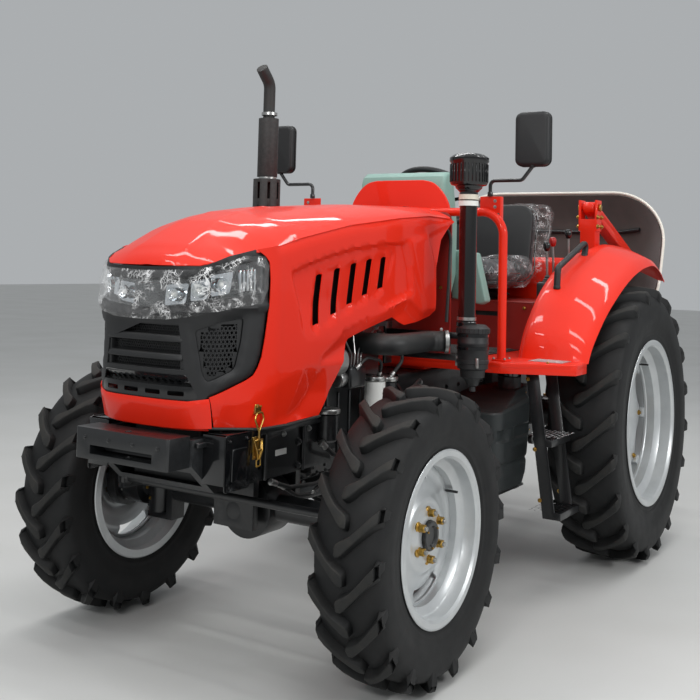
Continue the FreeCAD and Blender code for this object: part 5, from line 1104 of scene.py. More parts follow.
def buildHoodTop():
    half = list(top["edge"]) + [(-0.918, 0.27), (-0.925, 0.16), (-0.929, 0.0)]
    outline = half + [(x, -y) for x, y in half[-2:0:-1]]
    lines = []
    for back in (0.010, 0.026, 0.045):  # rows that follow the steep lip
        lines.append([(x - back, y * (1 - back * 0.6)) for x, y in half[:6]])
    lines.append(list(top["plateau"])[:5])
    creases = [[(x, -y) for x, y in line[:0:-1]] + line for line in lines]
    shape = pressed(outline, topRelief, (), creases, 0.013, hood["skin"], topSurface)
    thing = make("hoodTop", shape, "hood", [hoodPaint], ["hood_top"], 40)
    chamfer(thing, 0.0009, 1, 60)


nose = {
    "band": ((0.0, 0.908), (0.179, 0.908), (0.249, 0.917), (0.253, 0.900), (0.267, 0.826), (0.20, 0.823),
             (0.0, 0.821)),
    "ledge": ((0.0, 0.894), (0.179, 0.893), (0.241, 0.907)),
    "corner": ((0.179, 0.893), (0.206, 0.823)),
    "sideGrille": ((0.196, 1.122), (0.271, 1.146), (0.367, 1.159), (0.360, 1.088), (0.341, 1.010),
                   (0.330, 0.998),
                   (0.282, 0.980), (0.243, 0.967), (0.231, 0.975), (0.221, 0.995), (0.206, 1.069)),
    "mouth": ((0.0, 1.138), (0.143, 1.138), (0.152, 1.08), (0.165, 1.000), (0.0, 1.000)),
    "insert": ((0.0, 0.986), (0.166, 0.986), (0.178, 0.978), (0.210, 0.922), (0.204, 0.914), (0.0, 0.912)),
    "lampBay": ((0.0, 1.186), (0.047, 1.188), (0.165, 1.198), (0.250, 1.214), (0.342, 1.228), (0.420, 1.236),
                (0.432, 1.246), (0.432, 1.318), (0.405, 1.335), (0.311, 1.318), (0.235, 1.290), (0.16, 1.274),
                (0.0, 1.270)),
    "cells": (((0.062, 1.192), (0.147, 1.201), (0.157, 1.263), (0.065, 1.256)),
              ((0.166, 1.208), (0.230, 1.216), (0.238, 1.282), (0.166, 1.266)),
              ((0.247, 1.224), (0.330, 1.234), (0.343, 1.302), (0.243, 1.288))),
}


def folded(points):  # half outline from the middle line gets its other half
    return list(points) + [(-along, z) for along, z in reversed(points) if along > 0]


def bandRelief(places):
    along, z = np.abs(places[:, 0]), places[:, 1]
    ledge = np.interp(along, *zip(*nose["ledge"]))
    out = 0.004 - 0.30 * np.clip(z - ledge, 0, 1)  # the ledge leans back to the black frame
    side = np.clip(along - np.interp(z, (0.823, 0.893), (0.206, 0.179)), 0, 1)
    return out + 0.06 * side * (0.893 - z) / 0.07 - 0.05 * side


def buildNoseBand():
    outline = folded(nose["band"])
    creases = [[(-a, z) for a, z in nose["ledge"][:0:-1]] + list(nose["ledge"]), nose["corner"],
               [(-a, z) for a, z in nose["corner"]]]
    shape = pressed(outline, bandRelief, (), creases, 0.012, hood["skin"])
    lip = bmesh.new()  # folded lower edge
    sweep(lip, [wrap(a, 0.821, -0.014) for a in np.linspace(-0.26, 0.26, 41)], 0.006, 0, 0, 8)
    join(shape, lip, 0)
    thing = make("noseBand", shape, "hood", [hoodPaint], ["nose_band"], 30)
    chamfer(thing, 0.0012, 2, 28)


def frameRelief(places):
    along, z = np.abs(places[:, 0]), places[:, 1]
    out = np.full(len(places), -0.004)
    mirroredPlaces = np.column_stack([along, z])
    bay = nearestEdge(mirroredPlaces, nose["lampBay"] + ((-0.1, 1.270), (-0.1, 1.186)))
    out -= 0.010 * smoothStep(bay / 0.008 + 0.9)
    # bumper bar under the lamps and the raised rim round the grilles
    bar = np.interp(along, (0, 0.047, 0.181, 0.30, 0.43), (1.162, 1.164, 1.175, 1.186, 1.196))
    out += 0.010 * smoothStep(1 - np.abs(z - bar) / 0.022)
    grille = nearestEdge(mirroredPlaces, nose["sideGrille"])
    out -= 0.006 * smoothStep((grille + 0.012) / 0.012)
    outerRim = nearestEdge(mirroredPlaces, side["frame"], False)
    return out - 0.006 * (1 - smoothStep(outerRim / 0.008))


# real six-sided holes, filled out to the panel's edge
def honeycomb(outline, pitch, hole, depth, out, inset=0.0):
    cell = bmesh.new()
    bmesh.ops.create_circle(cell, segments=6, radius=pitch / math.sqrt(3), cap_ends=True)
    mesh = asMesh(cell, "cell")
    us, vs = zip(*outline)
    spots = []
    rowStep = pitch * math.sqrt(3) / 2
    for row in range(int((max(vs) - min(vs)) / rowStep) + 2):
        for column in range(int((max(us) - min(us)) / pitch) + 2):
            spots.append((min(us) + (column + 0.5 * (row % 2)) * pitch, min(vs) + row * rowStep))
    fits = nearestEdge(spots, outline) > inset
    shape = bmesh.new()
    for spot, fit in zip(spots, fits):
        if fit:
            before = len(shape.verts)
            shape.from_mesh(mesh)
            shape.verts.ensure_lookup_table()
            bmesh.ops.rotate(shape, cent=(0, 0, 0), matrix=Matrix.Rotation(math.pi / 6, 3, "Z"),
                             verts=shape.verts[before:])
            bmesh.ops.translate(shape, vec=(spot[0], spot[1], 0), verts=shape.verts[before:])
    bmesh.ops.remove_doubles(shape, verts=shape.verts, dist=pitch * 0.02)
    for face in shape.faces:
        if face.normal.z < 0:
            face.normal_flip()
    cells = shape.faces[:]
    bmesh.ops.inset_individual(shape, faces=cells, thickness=(pitch - hole) / 2, use_even_offset=True)
    bmesh.ops.delete(shape, geom=cells, context="FACES")
    thicken(shape, depth)
    for vert in shape.verts:
        vert.co = wrap(vert.co.x, vert.co.y, out + vert.co.z)
    return shape


def strip(piece, along, lowZ, highZ, outBack, outFront, finish=0, edge=0.004, tilt=0.0):
    shape = bmesh.new()
    count = max(2, int((along[1] - along[0]) / 0.02))
    bmesh.ops.create_grid(shape, x_segments=count, y_segments=1, size=0.5)
    bmesh.ops.solidify(shape, geom=shape.faces[:], thickness=1.0)
    soften(shape, 0.0, 30)
    ends = lambda value, share: value(share) if callable(value) else value
    for vert in shape.verts:
        share = vert.co.x + 0.5
        up, depth = vert.co.y + 0.5, vert.co.z + 1.0
        a = along[0] + (along[1] - along[0]) * share
        z = ends(lowZ, a) + (ends(highZ, a) - ends(lowZ, a)) * up
        out = outBack + (outFront - outBack) * depth
        vert.co = wrap(a, z, out + tilt * (up - 0.5))
    outward(shape)
    soften(shape, edge, 40, 3)
    join(piece, shape, finish)


def buildNoseFrame():
    outline = folded([(0.0, 0.909), (0.216, 0.910)] + list(side["frame"]) + [(0.311, 1.350), (0.235, 1.324),
                                                                             (0.205, 1.317), (0.0, 1.312)])
    holes = []
    for way in (1, -1):
        loop = [(a * way, z) for a, z in roundedLoop(nose["sideGrille"], 0.010, 2)]
        holes.append(loop[::way])
    holes += [folded(nose[name])[:-1] for name in ("mouth", "insert", "lampBay")]
    shape = pressed(outline, frameRelief, holes, (), 0.0125, 0.004)
    # grille bars with mesh behind, in a deep frame
    for low, high in ((1.083, 1.106), (1.028, 1.049)):
        strip(shape, (-0.160, 0.160), low, high, -0.030, -0.004, 0, 0.006, tilt=-0.006)
    for low, high in ((1.134, 1.142), (0.988, 1.002)):
        strip(shape, (-0.168, 0.168), low, high, -0.034, -0.006, 0, 0.003)
    for way in (1, -1):
        strip(shape, span(way, 0.148, 0.172), 0.990, 1.140, -0.034, -0.008, 0, 0.003)
    join(shape, honeycomb([(-0.165, 0.99), (0.165, 0.99), (0.165, 1.145), (-0.165, 1.145)], 0.0095, 0.0072,
                          0.003,
                          -0.026), 0)
    for way in (1, -1):  # perforated side grilles
        loop = [(a * way, z) for a, z in nose["sideGrille"]][::way]
        join(shape, honeycomb(loop, 0.0155, 0.0092, 0.004, -0.014, 0.014), 0)
        rim = fillOutline(loop, (), (), 0.012)
        inner = nearestEdge([(v.co.x, v.co.y) for v in rim.verts], loop)
        gone = [v for v, d in zip(rim.verts, inner) if d > 0.0195]
        bmesh.ops.delete(rim, geom=gone, context="VERTS")
        for vert in rim.verts:
            vert.co = wrap(vert.co.x, vert.co.y, -0.0142)
        thicken(rim, 0.003)
        join(shape, rim, 0)
    make("noseFrame", shape, "hood", [blackPlastic], ["grille"], 40)
    dark = bmesh.new()  # inner shroud that closes the nose behind its openings, a dark sheet as painted shade for the nose's shaded inside
    strip(dark, (-0.44, 0.44), 0.915, 1.300, -0.060, -0.052, 0, 0)
    make("noseShadeShroud", dark, "hood", [satinBlack])
    insert = bmesh.new()
    loop = folded(nose["insert"])
    slots = [roundedLoop([(a - 0.008, 0.962), (a + 0.008, 0.962), (a + 0.008, 0.970), (a - 0.008, 0.970)],
                         0.003, 2)
             for a in np.arange(-0.14, 0.141, 0.028)]
    slots += [roundedLoop([(a - 0.030, 0.922), (a + 0.030, 0.922), (a + 0.030, 0.936), (a - 0.030, 0.936)],
                          0.004, 2)
              for a in (-0.135, -0.045, 0.045, 0.135)]

    def insertRelief(places):
        return -0.002 - 0.022 * smoothStep((0.985 - places[:, 1]) / 0.03) + 0.020 * smoothStep((0.957 - places[:, 1]) / 0.008)

    join(insert, pressed(loop, insertRelief, slots, (), 0.011, 0.003), 0)
    make("noseInsert", insert, "hood", [glossBlack])


def buildHeadlamps():
    body = bmesh.new()
    bay = folded(nose["lampBay"])
    join(body, pressed(bay, lambda p: np.full(len(p), -0.048), (), (), 0.02, 0.003), 1)
    for way in (1, -1):
        # each cell: a bright stepped bowl with a small reflector
        for low0, low1, high1, high0 in nose["cells"]:
            corners = [(a * way, z) for a, z in (low0, low1, high1, high0)][::way]
            middleOf = Vector((sum(a for a, _ in corners) / 4, sum(z for _, z in corners) / 4))
            bowl = bmesh.new()
            face = bowl.faces.new([bowl.verts.new((a, z, 0)) for a, z in roundedLoop(corners, 0.008, 2)])
            if face.normal.z < 0:
                face.normal_flip()
            for inset, sink in ((0.003, 0.0), (0.002, -0.012), (0.006, -0.006), (0.003, 0.004),
                                (0.006, -0.014)):
                bmesh.ops.inset_region(bowl, faces=[face], thickness=inset, depth=0.0, use_even_offset=True)
                bmesh.ops.translate(bowl, vec=(0, 0, sink), verts=face.verts)
            for vert in bowl.verts:
                vert.co = wrap(vert.co.x, vert.co.y, vert.co.z - 0.009)
            join(body, bowl, 0)
            spot = wrap(middleOf.x, middleOf.y, -0.030)
            outward = (wrap(middleOf.x, middleOf.y, 0.0) - spot).normalized()
            turned(body, [(0.0, 0.0), (0.002, 0.010), (0.010, 0.0185), (0.016, 0.0205), (0.016, 0.022),
                          (0.004, 0.022)],
                   spot, outward, 0, 28)
            turned(body, [(0.0, 0.0075), (0.008, 0.0072), (0.0125, 0.0045), (0.014, 0.0)], spot, outward, 2,
                   18)
        for k in range(5):
            a = way * (0.352 + 0.014 * k)
            strip(body, sorted((a, a + way * 0.008)), 1.240 + 0.001 * k, 1.306 + 0.001 * k, -0.040, -0.016,
                  0, 0.002)
    strip(body, (-0.050, 0.050), 1.196, 1.262, -0.030, -0.010, 1, 0.006)
    make("lampCluster", body, "hood", [chrome, glossBlack, signalWhite], ["headlamps"], 35)
    lens = bmesh.new()
    join(lens, pressed(bay, lambda p: np.full(len(p), -0.004), (), (), 0.018, 0.002), 0)
    make("lampLens", lens, "hood", [lampLens])


buildHoodSides()
buildHoodTop()
buildNoseBand()
buildNoseFrame()
buildHeadlamps()
print("hood done")


# fenders, platform, roll frame, canopy and what stands round the driver
fender = {
    # edges in side view: distance from the front axle, height of the outer edge, height of the inner edge
    "line": ((-1.168, 0.930, 0.930), (-1.205, 0.985, 1.015), (-1.262, 1.040, 1.095), (-1.400, 1.138, 1.220),
             (-1.560, 1.222, 1.313), (-1.730, 1.294, 1.379), (-1.895, 1.343, 1.424), (-2.040, 1.368, 1.448),
             (-2.160, 1.372, 1.450), (-2.280, 1.335, 1.418), (-2.378, 1.262, 1.347)),
    "inner": 0.537, "front": 0.492, "outer": 0.793, "skin": 0.003, "length": 1.75, "bulge": 0.020,
}
fenderOuter = curveThrough([Vector((x, low)) for x, low, high in fender["line"]], 6)
fenderInner = curveThrough([Vector((x, high)) for x, low, high in fender["line"]], 6)


def onCurve(route, share):
    place = min(max(share, 0.0), 1.0) * (len(route) - 1)
    index = min(int(place), len(route) - 2)
    return route[index].lerp(route[index + 1], place - index)


def fenderWall(x):  # the inner wall stands further in beside the seat than beside the roll frame
    return fender["inner"] - (fender["inner"] - fender["front"]) * float(smoothStep(np.array((x + 1.93) / 0.20)))


def fenderSurface(along, across, out=0.0):  # along the crown, from the inner wall to the rolled outer edge
    share = along / fender["length"]
    inner, outer = onCurve(fenderInner, share), onCurve(fenderOuter, share)
    width = fender["outer"] - fender["inner"]
    cross = across / width
    spot = inner.lerp(outer, cross)
    heading = (onCurve(fenderInner, share - 0.01) - onCurve(fenderInner, share + 0.01)).normalized()
    normal = Vector((heading.y, -heading.x))
    normal = -normal if normal.y < 0 else normal
    bulge = fender["bulge"] * math.sin(math.pi * min(1.0, max(0.0, cross)) ** 0.8)
    spot = spot + normal * (bulge + out)
    wall = fenderWall(spot.x)
    return ahead(spot.x, wall + across * (fender["outer"] - wall) / width, spot.y)


def fenderRelief(places):
    width = fender["outer"] - fender["inner"]
    fromOuter = width - places[:, 1]
    out = 0.006 * (1 - smoothStep(np.abs(fromOuter - 0.010) / 0.012))  # rolled outer edge
    out -= 0.020 * (1 - smoothStep((fromOuter + 0.001) / 0.010))
    out -= 0.012 * (1 - smoothStep(places[:, 1] / 0.020))  # the crown turns over into the inner wall
    return out


def buildFenders():
    width, length = fender["outer"] - fender["inner"], fender["length"]
    outline = [(0.006, width * 0.86), (0.026, width * 0.96), (0.060, width), (length - 0.06, width),
               (length - 0.02, width * 0.95), (length, width * 0.80), (length, 0.0), (0.0, 0.0)]
    shape = pressed(outline, fenderRelief, (), [[(length, width - 0.022), (0.05, width - 0.022)],
                                                [(0.002, 0.018), (length - 0.002, 0.018)]], 0.018,
                                                fender["skin"],
                    fenderSurface)
    wall = [(x, high - 0.010) for x, low, high in fender["line"]]
    wall = wall + [(-2.30, 1.10), (-1.735, 0.935), (-1.180, 0.935)]
    sheet = fillOutline(wall, (), (), 0.05)
    for vert in sheet.verts:
        vert.co = ahead(vert.co.x, fenderWall(vert.co.x) + 0.0015, vert.co.y)
    thicken(sheet, fender["skin"])
    join(shape, sheet, 0)
    for x, z in ((-1.35, 1.02), (-1.55, 1.10), (-1.62, 0.985), (-1.98, 1.17)):
        bolt(shape, ahead(x, fenderWall(x) - 0.001, z), (0, -1, 0), 0.007, 1)
    both(shape, ("fenderLeft", "fenderRight"), "chassis", [hoodPaint, zincGold],
         ("fender_left", "fender_right"))


def both(shape, names, body, finishes, nodes, smooth=38):  # one piece as it is and one mirrored
    other = shape.copy()
    flip(other)
    return [make(name, part, body, finishes, [node] if node else (), smooth)
            for name, part, node in zip(names, (shape, other), nodes)]


canopy = {
    "hinge": (-2.090, 1.640), "fold": -111, "reach": 0.800, "front": 0.410, "back": 0.450, "half": 0.680,
    "corner": 0.330, "below": 0.116, "above": 0.104,
}


def unfolded(x, y, z):  # a place beside the upright hoop, carried to where the hoop is parked
    hinge = ahead(canopy["hinge"][0], 0, canopy["hinge"][1])
    return hinge + Matrix.Rotation(math.radians(canopy["fold"]), 3, "Y") @ Vector((x, y, z))


def canopyOutline(inset=0.0):
    front, back, half, corner = (canopy[k] for k in ("front", "back", "half", "corner"))
    loop = []
    for cx, cy, start in ((front - corner, half - corner, 0), (corner - back, half - corner, 90),
                          (corner - back, corner - half, 180), (front - corner, corner - half, 270)):
        loop += arcOutline((cx, cy), corner - inset, start, start + 90, 12)
    return loop


def canopyLevel(places, sink, inset=0.0):  # height of the shell over the hoop's end
    share = np.clip((nearestEdge(places, canopyOutline()) - inset) / 0.36, 0, 1)
    swell = 1 - (1 - share) ** 2.6
    rise = canopy["below"] + canopy["above"] - 0.006
    return canopy["reach"] - canopy["below"] + rise * swell - sink


def buildCanopy():
    shell = pressed(canopyOutline(), lambda p: canopyLevel(p, 0.0), (),
                    [canopyOutline(0.012) + canopyOutline(0.012)[:1]],
                    0.032, 0.004, unfolded)
    rim = [unfolded(x, y, canopy["reach"] - canopy["below"] + 0.002) for x, y in canopyOutline(0.006)]
    sweep(shell, rim + rim[:1], 0.008, 0, 0, 8)
    make("canopyShell", shell, "rops_hoop", [canopyCream], ["canopy"], 50)

    def liningLevel(places):
        level = canopyLevel(places, 0.016)
        ribs = 0.010 * np.exp(-((np.abs(places[:, 1]) - 0.31) / 0.018) ** 2)
        ribs += 0.008 * np.exp(-(places[:, 1] / 0.020) ** 2)
        deep = nearestEdge(places, canopyOutline())
        return (level - ribs * smoothStep((deep - 0.08) / 0.08)
                + 0.004 * np.sin(places[:, 0] * 24) * np.sin(places[:, 1] * 17))

    lining = pressed(canopyOutline(0.017), liningLevel, (), (), 0.030, 0.004, unfolded)
    for x in (-0.26, 0.22):  # cross stays inside the shell
        points = [(x, y, float(canopyLevel(np.array([(x, y)]), 0.034)[0]))
                  for y in np.linspace(-0.50, 0.50, 9)]
        sweep(lining, [unfolded(*p) for p in points], 0.011, 0, 1, 10)
    for y in (-0.31, 0.31):
        top = canopy["reach"] + canopy["above"] - 0.03
        rod(lining, unfolded(-0.02, y, canopy["reach"]), unfolded(-0.02, y, top), 0.018, 1, 16)
        rod(lining, unfolded(-0.02, y, top - 0.006), unfolded(-0.02, y, top), 0.05, 1, 20)
    make("canopyLining", lining, "rops_hoop", [canopyLining, satinBlack], (), 50)


def buildRollFrame():
    frameShape = fromNode("rops_frame", 0.004)
    for way in (1, -1):
        for side in (1, -1):
            y = way * 0.490 + side * 0.0375 + side * 0.0092
            for x, z, size in ((-2.118, 1.545, 0.010), (-2.062, 1.545, 0.010), (-2.118, 1.592, 0.010),
                               (-2.062, 1.592, 0.010)):
                bolt(frameShape, ahead(x, y, z), (0, side, 0), size, 1)
        for z in (0.80, 0.88, 0.96):
            bolt(frameShape, ahead(-2.052, way * 0.470, z), (1, 0, 0), 0.011, 1)
            bolt(frameShape, ahead(-2.052, way * 0.510, z), (1, 0, 0), 0.011, 1)
    make("rollFrame", frameShape, "chassis", [hoodPaint, zincGold], ["rops_frame"])
    hoop = fromNode("rops_hoop", 0.008, 35)
    for way in (1, -1):
        for side in (1, -1):
            spot = ahead(-2.090, way * 0.490 + side * 0.0475, 1.640)
            rod(hoop, spot, spot + Vector((0, side * 0.010, 0)), 0.019, 1, 6, 0.002)
    make("rollHoop", hoop, "rops_hoop", [hoodPaint, zincGold], ["rops_hoop"])


buildFenders()
buildCanopy()
buildRollFrame()
print("body done")


# platform with its pads, grab handles, front arch, mirrors, bulkhead and dash
platform = {"pad": (-1.250, -1.050, 0.590, 0.735), "lozenge": (0.0090, 0.0030, 0.0016), "pitch": 0.019,
            "lip": 0.034,
            "mat": (-1.50, -1.06, 0.36)}


def chequer(piece, low, high, level, finish=0):  # raised lozenges in two directions on a flat pad
    columns = max(2, int((high[0] - low[0]) / platform["pitch"]))
    rows = max(2, int((high[1] - low[1]) / platform["pitch"]))
    one = bmesh.new()
    bmesh.ops.create_cone(one, cap_ends=True, segments=6, radius1=1.0, radius2=0.55, depth=1.0)
    bmesh.ops.scale(one, vec=platform["lozenge"], verts=one.verts)
    mesh = asMesh(one, "lozenge")
    field = bmesh.new()
    for i in range(columns):
        for j in range(rows):
            before = len(field.verts)
            field.from_mesh(mesh)
            field.verts.ensure_lookup_table()
            spot = Vector((low[0] + (i + 0.5) * (high[0] - low[0]) / columns,
                           low[1] + (j + 0.5) * (high[1] - low[1]) / rows, level))
            turn = Matrix.Rotation(math.radians(45 if (i + j) % 2 else -45), 4, "Z")
            bmesh.ops.transform(field, matrix=Matrix.Translation(spot) @ turn, verts=field.verts[before:])
    bpy.data.meshes.remove(mesh)
    join(piece, field, finish)


def flatBar(piece, start, end, thick, high, finish=0, edge=0.0015):  # upright bar between two spots
    start, end = Vector(start), Vector(end)
    along = (end - start).normalized()
    across = Vector((0, 0, 1)).cross(along).normalized()
    turn = Matrix((along, across, along.cross(across))).transposed()
    half = Vector(((end - start).length / 2, thick / 2, high / 2))
    block(piece, (start + end) / 2 - half, (start + end) / 2 + half, edge, finish, turn)


def buildPlatform():
    shape = fromNode("platform", 0.004)
    level = 0.928 - platform["lip"] / 2 + 0.012
    route = [(-1.163, 0.797), (-1.036, 0.797), (-0.893, 0.533)]
    route = [ahead(x, y, level) for x, y in route + [(x, -y) for x, y in route[::-1]]]
    for start, end in zip(route, route[1:]):
        flatBar(shape, start, end, 0.0045, platform["lip"])
    rear, front, inner, outer = platform["pad"]
    for way in (1, -1):
        low, high = span(way, inner, outer)
        block(shape, ahead(rear + 0.090, low, 0.9498), ahead(front, high, 0.9528), 0.001, 1)
        chequer(shape, (frontX + rear + 0.096, low + 0.006), (frontX + front - 0.006, high - 0.006), 0.9532,
                1)
        bolt(shape, ahead(-1.010, way * 0.690, 0.950), (0, 0, 1), 0.006, 2)
    back, head, half = platform["mat"]
    block(shape, ahead(back, -half, 0.9498), ahead(head, half, 0.9545), 0.002, 3)
    for i in range(21):
        x = back + 0.014 + i * 0.0206
        block(shape, ahead(x, 0.02 - half, 0.954), ahead(x + 0.009, half - 0.02, 0.9575), 0.0012, 3,
              segments=1)
    make("platformSheet", shape, "chassis", [hoodPaint, chequerSilver, zincGold, hoseRubber],
         ["platform"])


deck = {"front": -1.505, "rear": -2.060, "half": 0.426, "low": 0.952, "top": 1.172, "skin": 0.003}


def buildDeck():  # folded sheet under the seat, with two slots in its front
    shape = bmesh.new()
    outline = cornered(-deck["half"], deck["half"], deck["low"], deck["top"], 0.012, 3)
    slots = [roundedLoop([(way * 0.195 - 0.060, 1.103), (way * 0.195 + 0.060, 1.103),
                          (way * 0.195 + 0.060, 1.124),
                          (way * 0.195 - 0.060, 1.124)], 0.006, 2) for way in (1, -1)]
    join(shape, pressed(outline, None, slots, (), 0.06, deck["skin"],
                        lambda y, z, out: ahead(deck["front"] + out, y, z)))
    block(shape, ahead(deck["rear"], -deck["half"], deck["top"] - 0.003),
          ahead(deck["front"] + 0.003, deck["half"], deck["top"]),
          0.001)
    for way in (1, -1):
        low, high = span(way, deck["half"], deck["half"] - 0.003)
        block(shape, ahead(deck["rear"], low, 1.02), ahead(deck["front"], high, deck["top"]), 0.001)
        for z in (0.985, 1.145):
            bolt(shape, ahead(deck["front"] + 0.003, way * 0.385, z), (1, 0, 0), 0.007, 1)
    # black plate behind the two front slots: painted shade for the dark inside of the deck
    block(shape, ahead(-1.520, -0.405, 0.96), ahead(-1.512, 0.405, 1.14), 0.001, 2)
    make("seatDeck", shape, "chassis", [shadedRed, zincGold, satinBlack], ())


def buildHandles():
    route = ((-1.4355, 1.243), (-1.4455, 1.335), (-1.822, 1.466), (-1.790, 1.386))
    shape = bmesh.new()
    for way in (1, -1):
        sweep(shape, [ahead(x, way * 0.565, z) for x, z in route], 0.0148, 0.034, 0, 14, 6, 0.82)
        for (x, z), (farX, farZ) in ((route[0], route[1]), (route[3], route[2])):
            along = Vector((farX - x, 0, farZ - z)).normalized()
            spot = ahead(x, way * 0.565, z)
            rod(shape, spot - along * 0.004, spot + along * 0.012, 0.0165, 0, 18, 0.003)
    make("grabHandles", shape, "chassis", [blackPlastic], ["grab_handles"], 40)


arch = {"x": -0.965, "half": 0.508, "top": 1.562, "bend": 0.098, "radius": 0.018}


def buildArch():
    x, half, top = arch["x"], arch["half"], arch["top"]
    shape = bmesh.new()
    sweep(shape, [ahead(x, -half, 0.952), ahead(x, -half, top), ahead(x, half, top), ahead(x, half, 0.952)],
          arch["radius"], arch["bend"], 0, 22, 12)
    for way in (1, -1):
        block(shape, ahead(x - 0.031, way * half - 0.031, 0.950),
              ahead(x + 0.031, way * half + 0.031, 0.958), 0.002)
        for dx, dy in ((0.024, 0.024), (-0.024, 0.024), (0.024, -0.024), (-0.024, -0.024)):
            bolt(shape, ahead(x + dx, way * half + dy, 0.958), (0, 0, 1), 0.0055, 1)
        low, high = span(way, 0.402, 0.492)
        block(shape, ahead(x - 0.004, low, 1.558), ahead(x + 0.001, high, 1.627), 0.0015)
        low, high = span(way, 0.489, 0.494)
        block(shape, ahead(x - 0.030, low, 1.470), ahead(x + 0.001, high, 1.627), 0.0015)
        for z in (1.583, 1.608):
            bolt(shape, ahead(x + 0.001, way * 0.470, z), (1, 0, 0), 0.0058, 1)
    make("frontArch", shape, "chassis", [hoodPaint, brightSteel], ["front_arch"], 40)


mirror = {"arm": ((0.447, 1.628), (0.447, 1.693), (0.588, 1.693), (0.634, 1.750)), "half": 0.074,
          "low": 1.748,
          "high": 1.973, "corner": 0.030}


def softBox(outline, plane, low, high, edge, segments=4):  # moulded body with a broad rounding
    shape = bmesh.new()
    plate(shape, outline, low, high, plane, edge, 0, segments, 40)
    return shape


def cornered(x0, x1, y0, y1, corner, steps=6):  # rectangle with round corners
    loop = []
    for cx, cy, start in ((x1 - corner, y1 - corner, 0), (x0 + corner, y1 - corner, 90),
                          (x0 + corner, y0 + corner, 180), (x1 - corner, y0 + corner, 270)):
        loop += arcOutline((cx, cy), corner, start, start + 90, steps)
    return loop


def buildMirrors():
    arms, heads = bmesh.new(), bmesh.new()
    x = frontX + arch["x"]
    for way in (1, -1):
        sweep(arms, [(x, way * y, z) for y, z in mirror["arm"]], 0.0078, 0.022, 0, 14)
        rod(arms, (x, way * 0.447, 1.628), (x, way * 0.447, 1.646), 0.0125, 0, 6, 0.001)
        y = way * 0.634
        body, rim, glass = (cornered(y - mirror["half"] + inset, y + mirror["half"] - inset,
                                     mirror["low"] + inset,
                                     mirror["high"] - inset, mirror["corner"] - inset)
                                     for inset in (0, 0.003, 0.006))
        join(heads, softBox(body, "yz", x - 0.016, x + 0.0225, 0.016))
        sweep(heads, [Vector((x - 0.0165, v, z)) for v, z in rim + rim[:2]], 0.004, 0, 0, 8)
        plate(heads, glass, x - 0.0185, x - 0.015, "yz", 0.0008, 1, 1)
        rod(heads, (x + 0.004, y, mirror["low"] - 0.004), (x + 0.004, y, mirror["low"] + 0.018), 0.013, 0,
            16, 0.002)
    make("mirrorArms", arms, "chassis", [satinBlack], ["mirror_arms"], 40)
    make("mirrorHeads", heads, "chassis", [blackPlastic, mirrorGlass], ["mirror_heads"], 30)


dash = {
    # side outline of the moulded housing: distance from the front axle, height
    "housing": ((-1.006, 1.185), (-1.006, 1.690), (-1.018, 1.722), (-1.048, 1.742), (-1.084, 1.744),
                (-1.104, 1.730),
                (-1.106, 1.706), (-1.149, 1.520), (-1.149, 1.300), (-1.092, 1.185)),
    "half": 0.212, "cowl": ((0.248, 1.502), (0.249, 1.560), (0.244, 1.592), (0.226, 1.630), (0.196, 1.668),
                            (0.160, 1.694), (0.118, 1.704), (0.0, 1.7045)),
    "face": ((-1.110, 1.692), (-1.148, 1.528)),
    "shield": ((0.190, 1.405), (0.303, 1.392), (0.356, 1.182), (0.330, 1.168), (0.190, 1.190)),
}


